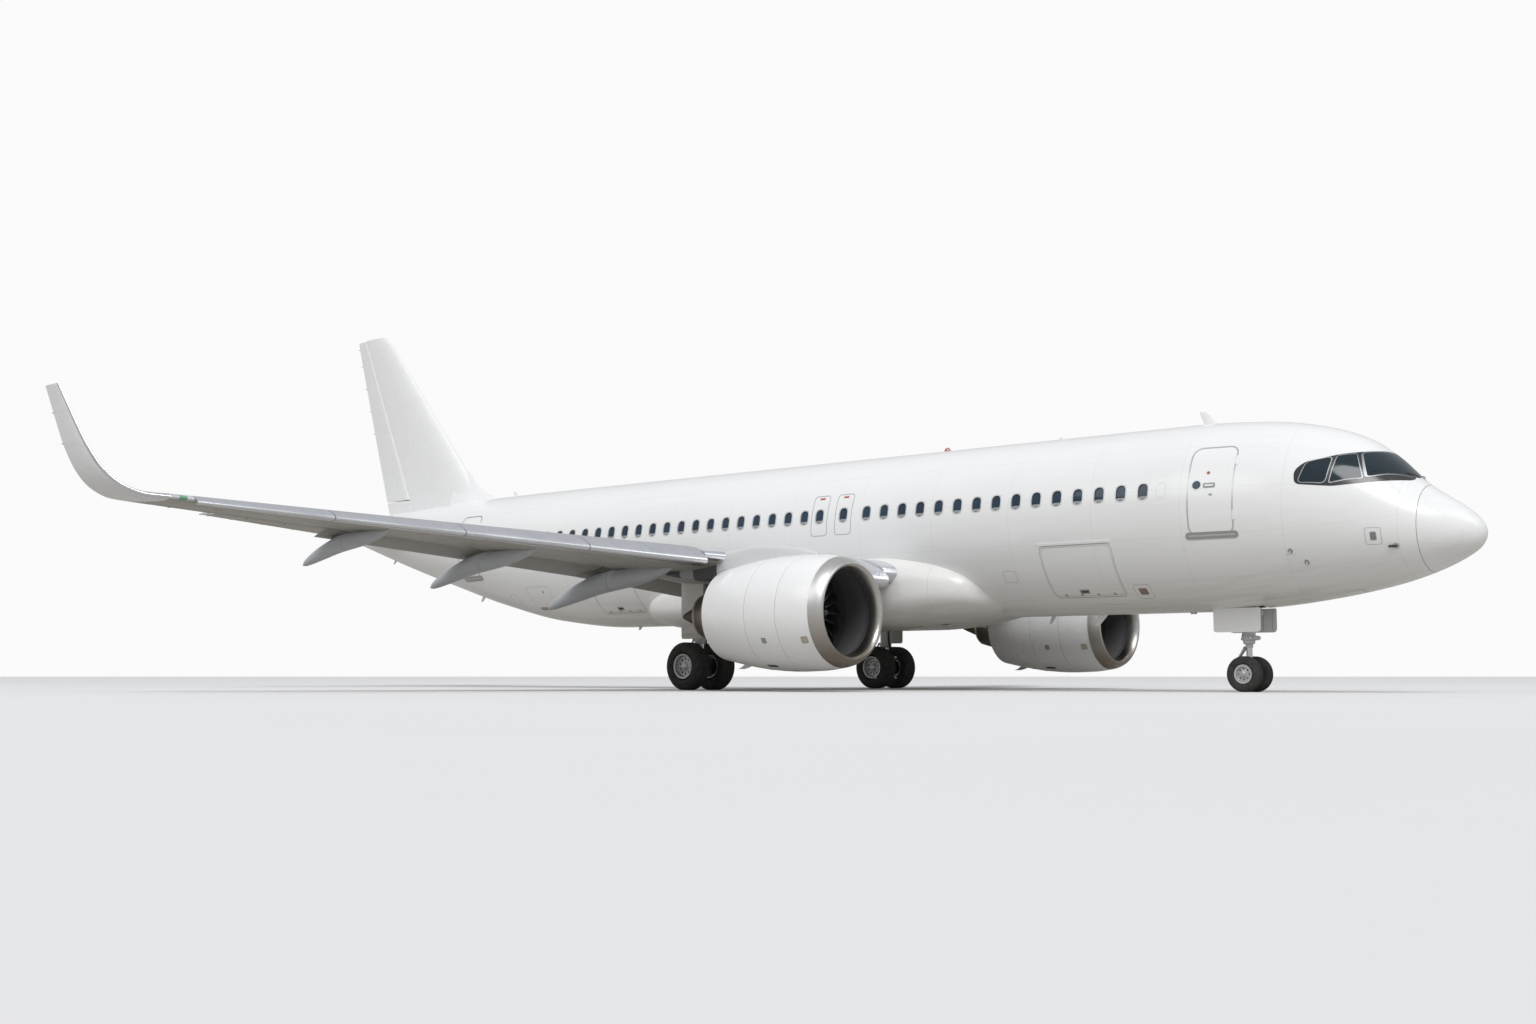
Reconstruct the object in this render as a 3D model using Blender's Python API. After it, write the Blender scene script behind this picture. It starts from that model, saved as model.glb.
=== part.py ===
"""Single-aisle twin-jet airliner, full size, standing on its landing gear.

Blender 4.5, metres. +X points to the nose, +Y to port, +Z up. The origin lies on the ground
under the middle of the aircraft. Places along the aircraft are given as stations, measured aft
from the nose tip, and heights from the fuselage reference line, as on a manufacturer's drawing.
"""

import math

import bmesh
import bpy
from mathutils import Matrix, Vector

# Overall dimensions
LENGTH = 37.57
REFERENCE_HEIGHT = 3.90
SEAT_GAP = 0.0004
DOOR_GAP = 0.008
FOIL_CAMBER = 0.012

BARREL_START = 6.0
# Fuselage: rows of station, top, height of the widest point, bottom, half width
FUSELAGE = (
    (0.00, -0.72, -0.72, -0.72, 0.00),
    (0.03, -0.58, -0.72, -0.85, 0.14),
    (0.12, -0.43, -0.72, -0.99, 0.29),
    (0.40, -0.17, -0.70, -1.19, 0.56),
    (0.75, 0.07, -0.66, -1.36, 0.80),
    (1.17, 0.38, -0.60, -1.52, 1.03),
    (1.71, 0.93, -0.50, -1.68, 1.26),
    (2.20, 1.31, -0.40, -1.79, 1.41),
    (3.00, 1.64, -0.26, -1.93, 1.61),
    (4.40, 1.90, -0.10, -2.09, 1.84),
    (BARREL_START, 1.975, 0.00, -2.165, 1.975),
    (24.0, 1.975, 0.00, -2.165, 1.975),
    (26.5, 1.975, 0.08, -1.96, 1.94),
    (29.0, 1.96, 0.30, -1.45, 1.79),
    (31.5, 1.90, 0.55, -0.77, 1.48),
    (34.0, 1.82, 0.83, -0.05, 1.08),
    (36.0, 1.72, 1.13, 0.56, 0.66),
    (LENGTH, 1.65, 1.35, 1.04, 0.30),
)
FUSELAGE_POINTS = 32
NOSE_STATIONS = (0.03, 0.12, 0.25, 0.40, 0.65, 1.05, 1.35, 1.71, 2.2, 3.0, 4.4, BARREL_START)
TAIL_STATIONS = (24.0, 25.5, 27.2, 29.0, 31.5, 34.0, 36.0, 36.9, LENGTH)
RADOME_END = 1.05
RADOME_HINGE_HEIGHT = 0.285
EXHAUST_START = 36.9
EXHAUST_BORE = 0.19
EXHAUST_DEPTH = 0.55

HINGE_RADIUS = 0.028
HINGE_LENGTH = 0.14
# Skin panels cut from the fuselage: rows of name, side, first station, last station, low, high
PANEL_DEPTH = 0.09
SIDE_PANELS = (
    ("door_front_left", 1, 4.50, 5.46, -0.62, 1.25),
    ("door_front_right", -1, 4.50, 5.46, -0.62, 1.25),
    ("door_rear_left", 1, 28.85, 29.80, -0.62, 1.25),
    ("door_rear_right", -1, 28.85, 29.80, -0.62, 1.25),
    ("cargo_door_front", -1, 7.35, 9.16, -1.80, -0.68),
    ("cargo_door_rear", -1, 22.20, 23.90, -1.80, -0.68),
)
# Windscreen band in side view: rows of station, height
GLAZING_DEPTH = 0.06
GLAZING_OUTLINE = (
    (1.20, 0.36),
    (1.76, 1.02),
    (2.45, 0.95),
    (3.12, 0.80),
    (3.30, 0.62),
    (3.26, 0.34),
    (2.55, 0.26),
    (1.60, 0.34),
)
# Nose gear bay and its closed front doors
NOSE_BAY = (2.40, 5.75)
NOSE_BAY_HALF_WIDTH = 0.36
NOSE_BAY_ROOF = -1.15
NOSE_DOORS_END = 4.58
# The doors' hinges slope with the belly, so the doors swing a little forward as they open
NOSE_DOOR_FRONT_GAP = 0.022
# The belly bulges between a nose door's ends, so its straight hinge axis is set lower by this
NOSE_DOOR_AXIS_DROP = 0.016

FAIRING_BOTTOM = -2.42
# Belly fairing: rows of station, half width, top, bottom
FAIRING = (
    (10.75, 0.95, -1.30, -2.06),
    (11.45, 1.85, -0.90, -2.20),
    (12.30, 2.06, -0.62, -2.33),
    (13.60, 2.15, -0.48, FAIRING_BOTTOM),
    (18.90, 2.15, -0.55, FAIRING_BOTTOM),
    (20.40, 2.04, -0.88, -2.35),
    (21.50, 1.70, -1.20, -2.24),
    (22.35, 0.90, -1.40, -2.08),
)
FAIRING_POINTS = 24
FAIRING_SQUARENESS = 3.2
MAIN_BAY = (16.30, 18.80)
MAIN_BAY_SIDES = (0.20, 1.55)

# Wing: rows of side, leading edge, chord, thickness ratio, height, twist in degrees
WING = (
    (0.90, 12.30, 6.57, 0.150, -1.330, 3.0),
    (1.975, 12.86, 6.10, 0.148, -1.234, 3.0),
    (6.40, 15.16, 4.14, 0.122, -0.839, 1.6),
    (12.60, 18.39, 2.63, 0.112, -0.286, 0.6),
    (16.60, 20.47, 1.65, 0.108, 0.071, 0.0),
)
# Where the fixed wing ends ahead of the flaps: rows of side, share of the chord
WING_REAR = ((0.90, 0.862), (1.975, 0.848), (6.40, 0.735), (12.60, 0.735), (16.60, 0.735))
SLATS = (("slat_inboard", 2.45, 5.08), ("slat_outboard", 6.43, 16.16))
SLAT_FORWARD = 0.035
SLAT_DROP = 0.014
SLAT_ANGLE = math.radians(12)
FLAPS = (("flap_inboard", 2.30, 6.36), ("flap_outboard", 6.40, 12.66))
FLAP_GROWTH = 1.12
FLAP_AFT = 0.10
FLAP_DROP = 0.055
FLAP_ANGLE = math.radians(15)
AILERON_SPAN = (12.74, 16.16)
# The fixed wing's blunt nose behind a slat: rows of share of the chord, level
WING_NOSE = ((0.17, 1.35), (0.07, 0.45), (0.05, 0), (0.07, -0.6), (0.14, -1.35))
# A slat's section: outer skin, then inner side
SLAT_OUTER = ((0.165, 1), (0.10, 1), (0.05, 1), (0.015, 1), (0.0, 0), (0.015, -1), (0.06, -1))
SLAT_INNER = ((0.045, -0.55), (0.035, 0.0), (0.05, 0.45), (0.09, 0.72))
# Spanwise room between a moving edge and the fixed structure beside it
BAY_GAP = 0.035
# Flap track fairings: side, size
TRACKS = ((6.24, 1.10), (9.35, 0.95), (12.40, 0.80))
BRACKET_THICKNESS = 0.06
# One fairing: rows of distance aft of the flap cut, centre's height, half width, half height
TRACK_SHAPE = (
    (-1.75, -0.16, 0.02, 0.02),
    (-1.30, -0.24, 0.12, 0.13),
    (-0.50, -0.33, 0.20, 0.21),
    (0.40, -0.43, 0.21, 0.21),
    (1.20, -0.62, 0.16, 0.15),
    (1.85, -0.82, 0.08, 0.08),
    (2.20, -0.95, 0.01, 0.01),
)
# Winglet: rows of side, leading edge, height, chord, lean in degrees
WINGLET = (
    (16.6004, 20.47, 0.071, 1.65, 5.0),
    (16.98, 20.74, 0.120, 1.48, 18.0),
    (17.32, 21.06, 0.300, 1.30, 42.0),
    (17.56, 21.42, 0.640, 1.12, 66.0),
    (17.70, 21.84, 1.150, 0.96, 77.0),
    (17.89, 22.80, 2.500, 0.56, 82.0),
)

# Fin: rows of height, leading edge, chord
FIN = ((1.20, 29.90, 5.38), (2.20, 30.85, 4.78), (7.60, 35.56, 1.80), (7.86, 35.90, 1.52))
FIN_THICKNESS = 0.105
RUDDER_SHARE = 0.70
RUDDER_LIMITS = (2.22, 7.84)
FILLET_FOOT = 1.2
# Fillet ahead of the fin: rows of station, crest height, half width
FILLET = ((29.60, 1.90, 0.02), (30.60, 2.30, 0.07), (31.30, 2.95, 0.12), (31.90, 3.40, 0.13))
# Tailplane: rows of side, leading edge, chord, height
TAILPLANE = ((0.25, 32.05, 3.70, 0.83), (1.10, 32.62, 3.26, 0.92), (6.225, 35.62, 1.28, 1.46))
TAILPLANE_THICKNESS = 0.10
ELEVATOR_SHARE = 0.70
ELEVATOR_SPAN = (1.42, 6.05)

# Engine: centre line, front of the intake lip, and turned profiles of distance aft and radius
ENGINE_SIDE = 5.755
ENGINE_HEIGHT = -2.18
ENGINE_FRONT = 11.40
ENGINE_STEPS = 24
LIP_END = 0.30
COWL_END = 3.50
LIP_OUTER = ((0.00, 1.045), (0.03, 1.095), (0.12, 1.150), (LIP_END, 1.205))
LIP_INNER = ((LIP_END, 0.935), (0.12, 0.950), (0.03, 0.995))
NACELLE_OUTER = (
    (LIP_END, 1.205),
    (0.75, 1.262),
    (1.45, 1.280),
    (2.20, 1.245),
    (2.90, 1.150),
    (COWL_END, 1.035),
)
NACELLE_INNER = (
    (COWL_END, 1.022),
    (2.70, 1.045),
    (1.60, 1.040),
    (1.42, 1.012),
    (1.00, 1.012),
    (LIP_END, 0.935),
)
CORE_OUTER = (
    (1.47, 0.42),
    (1.60, 0.56),
    (2.50, 0.72),
    (3.40, 0.70),
    (4.30, 0.50),
    (4.32, 0.46),
    (4.10, 0.42),
)
CORE_PLUG = ((4.00, 0.34), (4.40, 0.29), (5.00, 0.06), (5.03, 0.0))
VANE_COUNT = 8
VANE_PLACE = (1.70, 2.05)
FAN_PLANE = 1.20
FAN_RADIUS = 0.990
FAN_BLADES = 18
# One blade: rows of radius, chord, stagger in degrees, thickness
FAN_BLADE = (
    (0.25, 0.20, 30, 0.044),
    (0.48, 0.26, 39, 0.038),
    (0.72, 0.30, 48, 0.032),
    (FAN_RADIUS, 0.32, 56, 0.026),
)
SPINNER = (
    (0.70, 0.0),
    (0.74, 0.06),
    (0.90, 0.19),
    (1.05, 0.28),
    (1.40, 0.34),
    (1.4695, 0.34),
    (1.4695, 0.0),
)
PYLON_SHOULDER = 0.12
# Pylon: rows of station, low edge, high edge, half width
PYLON = (
    (12.35, -1.10, -0.86, 0.03),
    (12.90, -1.10, -0.72, 0.13),
    (13.90, -1.20, -0.62, 0.20),
    (14.80, -1.32, -0.70, 0.21),
    (15.60, -1.38, -0.80, 0.21),
    (16.60, -1.26, -0.80, 0.17),
    (17.60, -1.05, -0.80, 0.04),
)

# Landing gear
MAIN_STATION = 17.71
MAIN_SIDE = 3.795
MAIN_TYRE_RADIUS = 0.584
MAIN_TYRE_WIDTH = 0.43
MAIN_SPACING = 0.927
NOSE_STATION = 5.07
NOSE_TYRE_RADIUS = 0.385
NOSE_TYRE_WIDTH = 0.225
NOSE_SPACING = 0.50
TYRE_STEPS = 24
AXLE_RADIUS = 0.075
NOSE_AXLE_RADIUS = 0.05
STEERING_JOINT = 1.02
LEG_STEPS = 14
# Round members of the main leg: rows of start and end (ahead, outboard, height above the ground)
# and radius. The lowest three end at the height of the axle.
MAIN_LEG_RODS = (
    ((0, 0, 1.15), (0, 0, 2.83), 0.155),
    ((0, 0, 1.75), (0.05, -1.05, 2.68), 0.07),
    ((0, 0, 1.50), (0.90, 0, 2.80), 0.06),
    ((-0.30, 0, 0.629), (-0.36, 0, 0.98), 0.045),
    ((-0.36, 0, 0.94), (0, 0, 1.36), 0.045),
    ((0, 0, 1.75), (0, 0.31, 1.75), 0.03),
    ((0, 0, 2.35), (0, 0.31, 2.35), 0.03),
)
MAIN_PISTON = (0.095, 1.45)
MAIN_BEARING = (0.14, 0.17)
# Boxes of the main leg: rows of low and high corner in the same measures
MAIN_LEG_LINK = ((-0.34, -0.05, 0.579), (0, 0.05, 0.679))
MAIN_LEG_DOOR = ((-0.36, 0.30, 1.25), (0.36, 0.33, 2.70))
# Round members of the nose leg above its steering joint, in the same measures
NOSE_LEG_RODS = (
    ((0, 0, 1.10), (0, 0, 1.32), 0.16),
    ((0, 0, 1.60), (0.75, 0, 2.80), 0.06),
    ((0, -0.32, 2.45), (0, 0.32, 2.45), 0.07),
    ((0, -0.40, 1.50), (0, 0.40, 1.50), 0.025),
)
NOSE_CYLINDER = (0.11, 2.80)
NOSE_LEG_DOOR = ((-0.62, 0.388, 1.28), (0.46, 0.412, 1.80))
# Members that steer with the nose wheels
NOSE_FORK_RODS = (
    ((-0.02, 0, 0.442), (-0.27, 0, 0.70), 0.035),
    ((-0.27, 0, 0.68), (0, 0, 0.97), 0.035),
)
NOSE_PISTON = 0.085
NOSE_BEARING = (0.10, 0.11)
NOSE_TOW_LUG = ((0.02, -0.05, 0.342), (0.22, 0.05, 0.422))

# Jacking pads: station and side of the one under the nose and of the port wing's
NOSE_PAD = (6.35, 0.0)
WING_PAD = (17.00, 4.90)
PAD_RADIUS = 0.07
PAD_DROP = 0.03

# Colours: red, green, blue, roughness, metallic
WHITE = (0.86, 0.87, 0.88, 0.35, 0.0)
BELLY_GREY = (0.62, 0.61, 0.58, 0.5, 0.0)
WING_GREY = (0.47, 0.47, 0.46, 0.45, 0.0)
LIGHT_GREY = (0.68, 0.69, 0.70, 0.4, 0.0)
BARE_METAL = (0.72, 0.75, 0.79, 0.28, 1.0)
HOT_METAL = (0.36, 0.33, 0.31, 0.42, 1.0)
DARK = (0.03, 0.03, 0.035, 0.5, 0.2)
GLASS_DARK = (0.05, 0.07, 0.09, 0.12, 0.0)
GEAR_GREY = (0.60, 0.61, 0.62, 0.4, 0.3)
RUBBER = (0.03, 0.03, 0.03, 0.85, 0.0)


def clear_scene():
    for old in list(bpy.data.objects):
        bpy.data.objects.remove(old, do_unlink=True)


def place(station, side, height):
    """World point of a station aft of the nose tip, a distance to port and a height."""
    return Vector((LENGTH / 2 - station, side, REFERENCE_HEIGHT + height))


def new_collection(name, hidden=False):
    collection = bpy.data.collections.new(name)
    collection.hide_render = hidden
    bpy.context.scene.collection.children.link(collection)
    return collection


def material_for(name, look):
    red, green, blue, roughness, metallic = look
    material = bpy.data.materials.new(name)
    material.use_nodes = True
    shader = material.node_tree.nodes["Principled BSDF"]
    shader.inputs["Base Color"].default_value = (red, green, blue, 1.0)
    shader.inputs["Roughness"].default_value = roughness
    shader.inputs["Metallic"].default_value = metallic
    return material


def make_object(name, shape):
    """Turns a bmesh into an object among the helpers, with its faces pointing out."""
    bmesh.ops.recalc_face_normals(shape, faces=shape.faces)
    if shape.calc_volume(signed=True) < 0:
        bmesh.ops.reverse_faces(shape, faces=shape.faces)
    mesh = bpy.data.meshes.new(name)
    shape.to_mesh(mesh)
    shape.free()
    made = bpy.data.objects.new(name, mesh)
    made.display_type = "WIRE"
    made.hide_render = True
    CUTTERS.objects.link(made)
    return made


def keep(piece, name, look):
    """Makes a shape one of the aircraft's named parts."""
    CUTTERS.objects.unlink(piece)
    AIRCRAFT.objects.link(piece)
    piece.name = name
    piece.data.name = name
    piece.display_type = "TEXTURED"
    piece.hide_render = False
    piece.data.materials.clear()
    piece.data.materials.append(material_for(name, look))
    piece.data.shade_smooth()
    piece.data.set_sharp_from_angle(angle=math.radians(35))
    return piece


def drop(*pieces):
    for piece in pieces:
        bpy.data.objects.remove(piece, do_unlink=True)


def loft(name, rings):
    """A closed solid through rings of points. A ring of one point closes that end to a tip."""
    shape = bmesh.new()
    loops = [[shape.verts.new(point) for point in ring] for ring in rings]
    for first, second in zip(loops, loops[1:]):
        for step in range(max(len(first), len(second))):
            corners = (
                first[step % len(first)],
                first[(step + 1) % len(first)],
                second[(step + 1) % len(second)],
                second[step % len(second)],
            )
            shape.faces.new(dict.fromkeys(corners))
    for end in (loops[0], loops[-1]):
        if len(end) > 2:
            shape.faces.new(end)
    # Each four-sided face is split once, alike on both sides, so that grown copies stay parallel
    quads = [face for face in shape.faces if len(face.verts) == 4]
    bmesh.ops.triangulate(shape, faces=quads, quad_method="SHORT_EDGE")
    return make_object(name, shape)


def box(name, low, high):
    """A box between two corners."""
    shape = bmesh.new()
    size = Vector(high) - Vector(low)
    centre = (Vector(high) + Vector(low)) / 2
    matrix = Matrix.Translation(centre) @ Matrix.Diagonal((abs(size.x), abs(size.y), abs(size.z), 1))
    bmesh.ops.create_cube(shape, size=1.0, matrix=matrix)
    return make_object(name, shape)


def rod(name, start, end, radius, steps=12, end_radius=None):
    """A round bar or cone between two points."""
    start, end = Vector(start), Vector(end)
    along = end - start
    turn = along.to_track_quat("Z", "Y").to_matrix().to_4x4()
    shape = bmesh.new()
    bmesh.ops.create_cone(
        shape,
        cap_ends=True,
        segments=steps,
        radius1=radius,
        radius2=radius if end_radius is None else end_radius,
        depth=along.length,
        matrix=Matrix.Translation((start + end) / 2) @ turn,
    )
    return make_object(name, shape)


def turned(name, profile, centre, axis, steps):
    """A turned solid: rows of distance along the axis and radius, spun with a flat facet lowest."""
    shape = bmesh.new()
    points = [shape.verts.new((radius, 0.0, along)) for along, radius in profile]
    closed = min(radius for _, radius in profile) > 0
    for first, second in zip(points, points[1:] + (points[:1] if closed else [])):
        shape.edges.new((first, second))
    bmesh.ops.rotate(
        shape, verts=shape.verts, cent=(0, 0, 0), matrix=Matrix.Rotation(math.pi / steps, 3, "Z")
    )
    bmesh.ops.spin(
        shape,
        geom=list(shape.verts) + list(shape.edges),
        cent=(0, 0, 0),
        axis=(0, 0, 1),
        angle=2 * math.pi,
        steps=steps,
        use_merge=True,
    )
    bmesh.ops.remove_doubles(shape, verts=shape.verts, dist=1e-5)
    axis = Vector(axis)
    turn = axis.to_track_quat("Z", "X").to_matrix().to_4x4()
    bmesh.ops.transform(shape, matrix=Matrix.Translation(centre) @ turn, verts=shape.verts)
    return make_object(name, shape)


def carve(target, tool, operation="DIFFERENCE"):
    """Cuts, joins or intersects a shape with another one, which is used up."""
    modifier = target.modifiers.new("carve", "BOOLEAN")
    modifier.operation = operation
    modifier.solver = "EXACT"
    modifier.object = tool
    bpy.context.view_layer.update()
    graph = bpy.context.evaluated_depsgraph_get()
    mesh = bpy.data.meshes.new_from_object(target.evaluated_get(graph))
    target.modifiers.clear()
    split = bmesh.new()
    split.from_mesh(mesh)
    bmesh.ops.triangulate(split, faces=split.faces)
    split.to_mesh(mesh)
    split.free()
    target.data = mesh
    drop(tool)
    return target


def join(target, *others):
    for other in others:
        carve(target, other, "UNION")
    return target


def copied(piece, grow=0.0):
    """A copy of a shape, each point moved out along its normal."""
    shape = bmesh.new()
    shape.from_mesh(piece.data)
    shape.normal_update()
    moves = [(vertex, vertex.normal * grow) for vertex in shape.verts]
    for vertex, move in moves:
        vertex.co += move
    return make_object("copy", shape)


def moved(piece, matrix):
    """The shape turned or moved by a matrix."""
    shape = bmesh.new()
    shape.from_mesh(piece.data)
    bmesh.ops.transform(shape, matrix=matrix, verts=shape.verts)
    drop(piece)
    return make_object("moved", shape)


def seat(piece, carrier, gap=SEAT_GAP):
    """Cuts a piece back to a small gap off what carries it."""
    return carve(piece, copied(carrier, gap * 1.5))


def mirrored(piece):
    """The starboard twin of a port shape."""
    shape = bmesh.new()
    shape.from_mesh(piece.data)
    bmesh.ops.scale(shape, vec=(1, -1, 1), verts=shape.verts)
    bmesh.ops.reverse_faces(shape, faces=shape.faces)
    return make_object("twin", shape)


def keep_pair(piece, name, look):
    keep(mirrored(piece), name + "_right", look)
    return keep(piece, name + "_left", look)


def read_curve(rows, at, column):
    """Reads a column of a table by a smooth curve that never passes its neighbours."""
    keys = [row[0] for row in rows]
    values = [row[column] for row in rows]
    rises = [
        (values[index + 1] - values[index]) / (keys[index + 1] - keys[index])
        for index in range(len(keys) - 1)
    ]

    def slope(index):
        before = rises[max(index - 1, 0)]
        after = rises[min(index, len(rises) - 1)]
        return 0.0 if before * after <= 0 else 2 * before * after / (before + after)

    index = max([0] + [number for number in range(len(rises)) if keys[number] <= at])
    span = keys[index + 1] - keys[index]
    share = (at - keys[index]) / span
    return (
        (2 * share**3 - 3 * share**2 + 1) * values[index]
        + (share**3 - 2 * share**2 + share) * span * slope(index)
        + (3 * share**2 - 2 * share**3) * values[index + 1]
        + (share**3 - share**2) * span * slope(index + 1)
    )


def read_line(rows, at, column):
    """Reads a column of a table by straight lines."""
    index = max([0] + [number for number in range(len(rows) - 1) if rows[number][0] <= at])
    first, second = rows[index], rows[index + 1]
    share = (at - first[0]) / (second[0] - first[0])
    return first[column] + share * (second[column] - first[column])


def fuselage_key(station):
    """The nose is read by the root of the station, in which its blunt tip is a straight line."""
    return math.sqrt(BARREL_START * station) if station < BARREL_START else station


def fuselage_size(station):
    """Top, height of the widest point, bottom and half width at a station."""
    rows = [(fuselage_key(row[0]),) + row[1:] for row in FUSELAGE]
    return [read_curve(rows, fuselage_key(station), column) for column in (1, 2, 3, 4)]


def fuselage_ring(station, grow=0.0):
    top, widest, bottom, half_width = fuselage_size(station)
    ring = []
    for step in range(FUSELAGE_POINTS):
        angle = 2 * math.pi * (step + 0.5) / FUSELAGE_POINTS
        reach = top - widest if math.cos(angle) > 0 else widest - bottom
        side = (half_width + grow) * math.sin(angle)
        ring.append(place(station, side, widest + (reach + grow) * math.cos(angle)))
    return ring


def fuselage_shape(first, last, grow=0.0):
    """The fuselage's loft between two stations; a grown one is used as a cutter or a core."""
    inner = [station for station in NOSE_STATIONS + TAIL_STATIONS if first < station < last]
    rings = [fuselage_ring(station, grow) for station in inner]
    start = [place(0, 0, FUSELAGE[0][1])] if first <= 0 else fuselage_ring(first, grow)
    return loft("fuselage_shape", [start] + rings + [fuselage_ring(last, grow)])


def fairing_shape(grow=0.0):
    rings = []
    for station, half_width, top, bottom in FAIRING:
        ring = []
        for step in range(FAIRING_POINTS):
            angle = 2 * math.pi * (step + 0.5) / FAIRING_POINTS
            across = math.copysign(abs(math.sin(angle)) ** (2 / FAIRING_SQUARENESS), math.sin(angle))
            upright = math.copysign(abs(math.cos(angle)) ** (2 / FAIRING_SQUARENESS), math.cos(angle))
            side = (half_width + grow) * across
            ring.append(
                place(station, side, (top + bottom) / 2 + ((top - bottom) / 2 + grow) * upright)
            )
        rings.append(ring)
    return loft("fairing_shape", rings)


def panel(shape_maker, low, high, depth, gap):
    """A plate of skin inside a box, and the pocket that it lies in."""
    plate = carve(box("panel", low, high), shape_maker(0.0), "INTERSECT")
    carve(plate, shape_maker(-depth))
    spread = Vector((gap, gap, gap))
    pocket = box("pocket", Vector(low) - spread, Vector(high) + spread)
    carve(pocket, shape_maker(-depth - 2 * SEAT_GAP))
    return plate, pocket


def hinge(carrier, door, ends):
    """Three knuckles half way along an axis: the outer two on the door, the middle one on its carrier."""
    centre = (ends[0] + ends[1]) / 2
    along = (ends[1] - ends[0]).normalized()
    radius, length = HINGE_RADIUS, HINGE_LENGTH

    def knuckle(middle, extent, size):
        half = along * extent / 2
        return rod("knuckle", centre + along * middle - half, centre + along * middle + half, size, 8)

    for middle in (-length, length):
        carve(carrier, knuckle(middle, length + 2 * DOOR_GAP, radius + DOOR_GAP))
        join(door, knuckle(middle, length, radius))
    carve(door, knuckle(0, length - SEAT_GAP, radius + DOOR_GAP))
    join(carrier, knuckle(0, length - 2 * SEAT_GAP, radius))


def foil_half(share, thickness):
    """Half the thickness of the section at a share of its chord, as a share of the chord."""
    return (
        5
        * thickness
        * (
            0.2969 * math.sqrt(share)
            - 0.1260 * share
            - 0.3516 * share**2
            + 0.2843 * share**3
            - 0.1036 * share**4
        )
    )


def foil_point(section, share, level):
    """A point of a lifting surface's section: level 1 is its upper side and -1 its lower side."""
    station, side, height, chord, thickness, lean, twist = section
    along = (share - 0.25) * chord
    up = (FOIL_CAMBER * 4 * share * (1 - share) + level * foil_half(share, thickness)) * chord
    if abs(lean) > math.radians(80):
        up = level * foil_half(share, thickness) * chord
    turned_along = along * math.cos(twist) - up * -math.sin(twist)
    turned_up = up * math.cos(twist) - along * math.sin(twist)
    return place(
        station + 0.25 * chord + turned_along,
        side - turned_up * math.sin(lean),
        height + turned_up * math.cos(lean),
    )


def foil_ring(section, loop):
    return [foil_point(section, share, level) for share, level in loop]


def full_loop(front=0.0, rear=1.0):
    """The loop of a whole section, or of the part between two shares of its chord."""
    shares = [share for share in (0.75, 0.5, 0.3, 0.15, 0.06, 0.015) if front < share < rear]
    upper = [(share, 1) for share in shares]
    lower = [(share, -1) for share in reversed(shares)]
    ends = [(rear, 0)] if rear == 1 else [(rear, -1), (rear, 1)]
    return ends + upper + [(front, 0)] + lower


def wing_section(side):
    leading, chord, thickness, height, twist = (read_line(WING, side, column) for column in range(1, 6))
    return (leading, side, height, chord, thickness, math.radians(5.1), math.radians(twist))


def nose_cutter(first, last):
    """What a slat's bay takes from the wing: all ahead of a blunt nose set back behind the slat."""
    rings = []
    for side in (first, last):
        section = wing_section(side)
        nose = foil_point(section, 0, 0)
        ahead = [nose + Vector((0.5, 0, -0.5)), nose + Vector((0.5, 0, 0.5))]
        rings.append(foil_ring(section, WING_NOSE) + ahead)
    return loft("nose_cutter", rings)


def rear_cutter(sections, cuts):
    """What a flap or control surface's bay takes: all behind a share of the chord."""
    rings = []
    for section, cut in zip(sections, cuts):
        start = foil_point(section, cut, 0)
        lean = section[5]
        up = Vector((0, -math.sin(lean), math.cos(lean)))
        aft = Vector((-section[3], 0, 0))
        rings.append([start + up, start - up, start - up + aft, start + up + aft])
    return loft("rear_cutter", rings)


def track_fairing(side, size):
    section = wing_section(side)
    cut = section[0] + read_line(WING_REAR, side, 1) * section[3]
    rings = []
    for aft, level, half_width, half_height in TRACK_SHAPE:
        ring = []
        for step in range(10):
            angle = 2 * math.pi * step / 10
            ring.append(
                place(
                    cut + aft * size,
                    side + half_width * size * math.sin(angle),
                    section[2] + (level + half_height * math.cos(angle)) * size,
                )
            )
        rings.append(ring)
    middle = place(cut, side, section[2])
    half = Vector((0, BRACKET_THICKNESS / 2, 0))
    low = middle + Vector((-1.00, 0, -0.45)) * size - half
    high = middle + Vector((-0.30, 0, -0.08)) * size + half
    return join(loft("track", rings), box("bracket", low, high))


def hinge_geometry(section, cut):
    """The hinge's share of the chord and the nose radius of a control surface behind a cut."""
    radius = foil_half(cut, section[4]) * section[3] * 0.93
    return cut + (radius + 0.014) / section[3], radius


def control_ring(section, cut):
    """A control surface's section: a round nose about its hinge, then the foil to its trailing edge."""
    share, radius = hinge_geometry(section, cut)
    middle = (1 + share) / 2
    half = foil_half(share, section[4]) * section[3]
    ring = foil_ring(section, [(1.0, 0), (middle, 1), (share, 1)])
    for degrees in (50, 0, -50):
        angle = math.radians(degrees)
        nose_share = share - radius * math.cos(angle) / section[3]
        level = radius * math.sin(angle) / (foil_half(nose_share, section[4]) * section[3])
        ring.append(foil_point(section, nose_share, level if half else 0))
    return ring + foil_ring(section, [(share, -1), (middle, -1)])


def hinge_line(first, second, cut):
    """Two points on the hinge axis of a control surface, at its two end sections."""
    return [foil_point(section, hinge_geometry(section, cut)[0], 0) for section in (first, second)]


def add_pins(surface, ends, radius):
    """Hinge pins that stand out of both ends of a control surface, almost to the sides of its bay."""
    along = (ends[1] - ends[0]).normalized()
    square = abs(along.y)
    reach = (BAY_GAP - SEAT_GAP - radius * math.sqrt(1 - square**2)) / square
    for end, direction in zip(ends, (-along, along)):
        join(surface, rod("pin", end - direction * 0.12, end + direction * reach, radius, 8))


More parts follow.
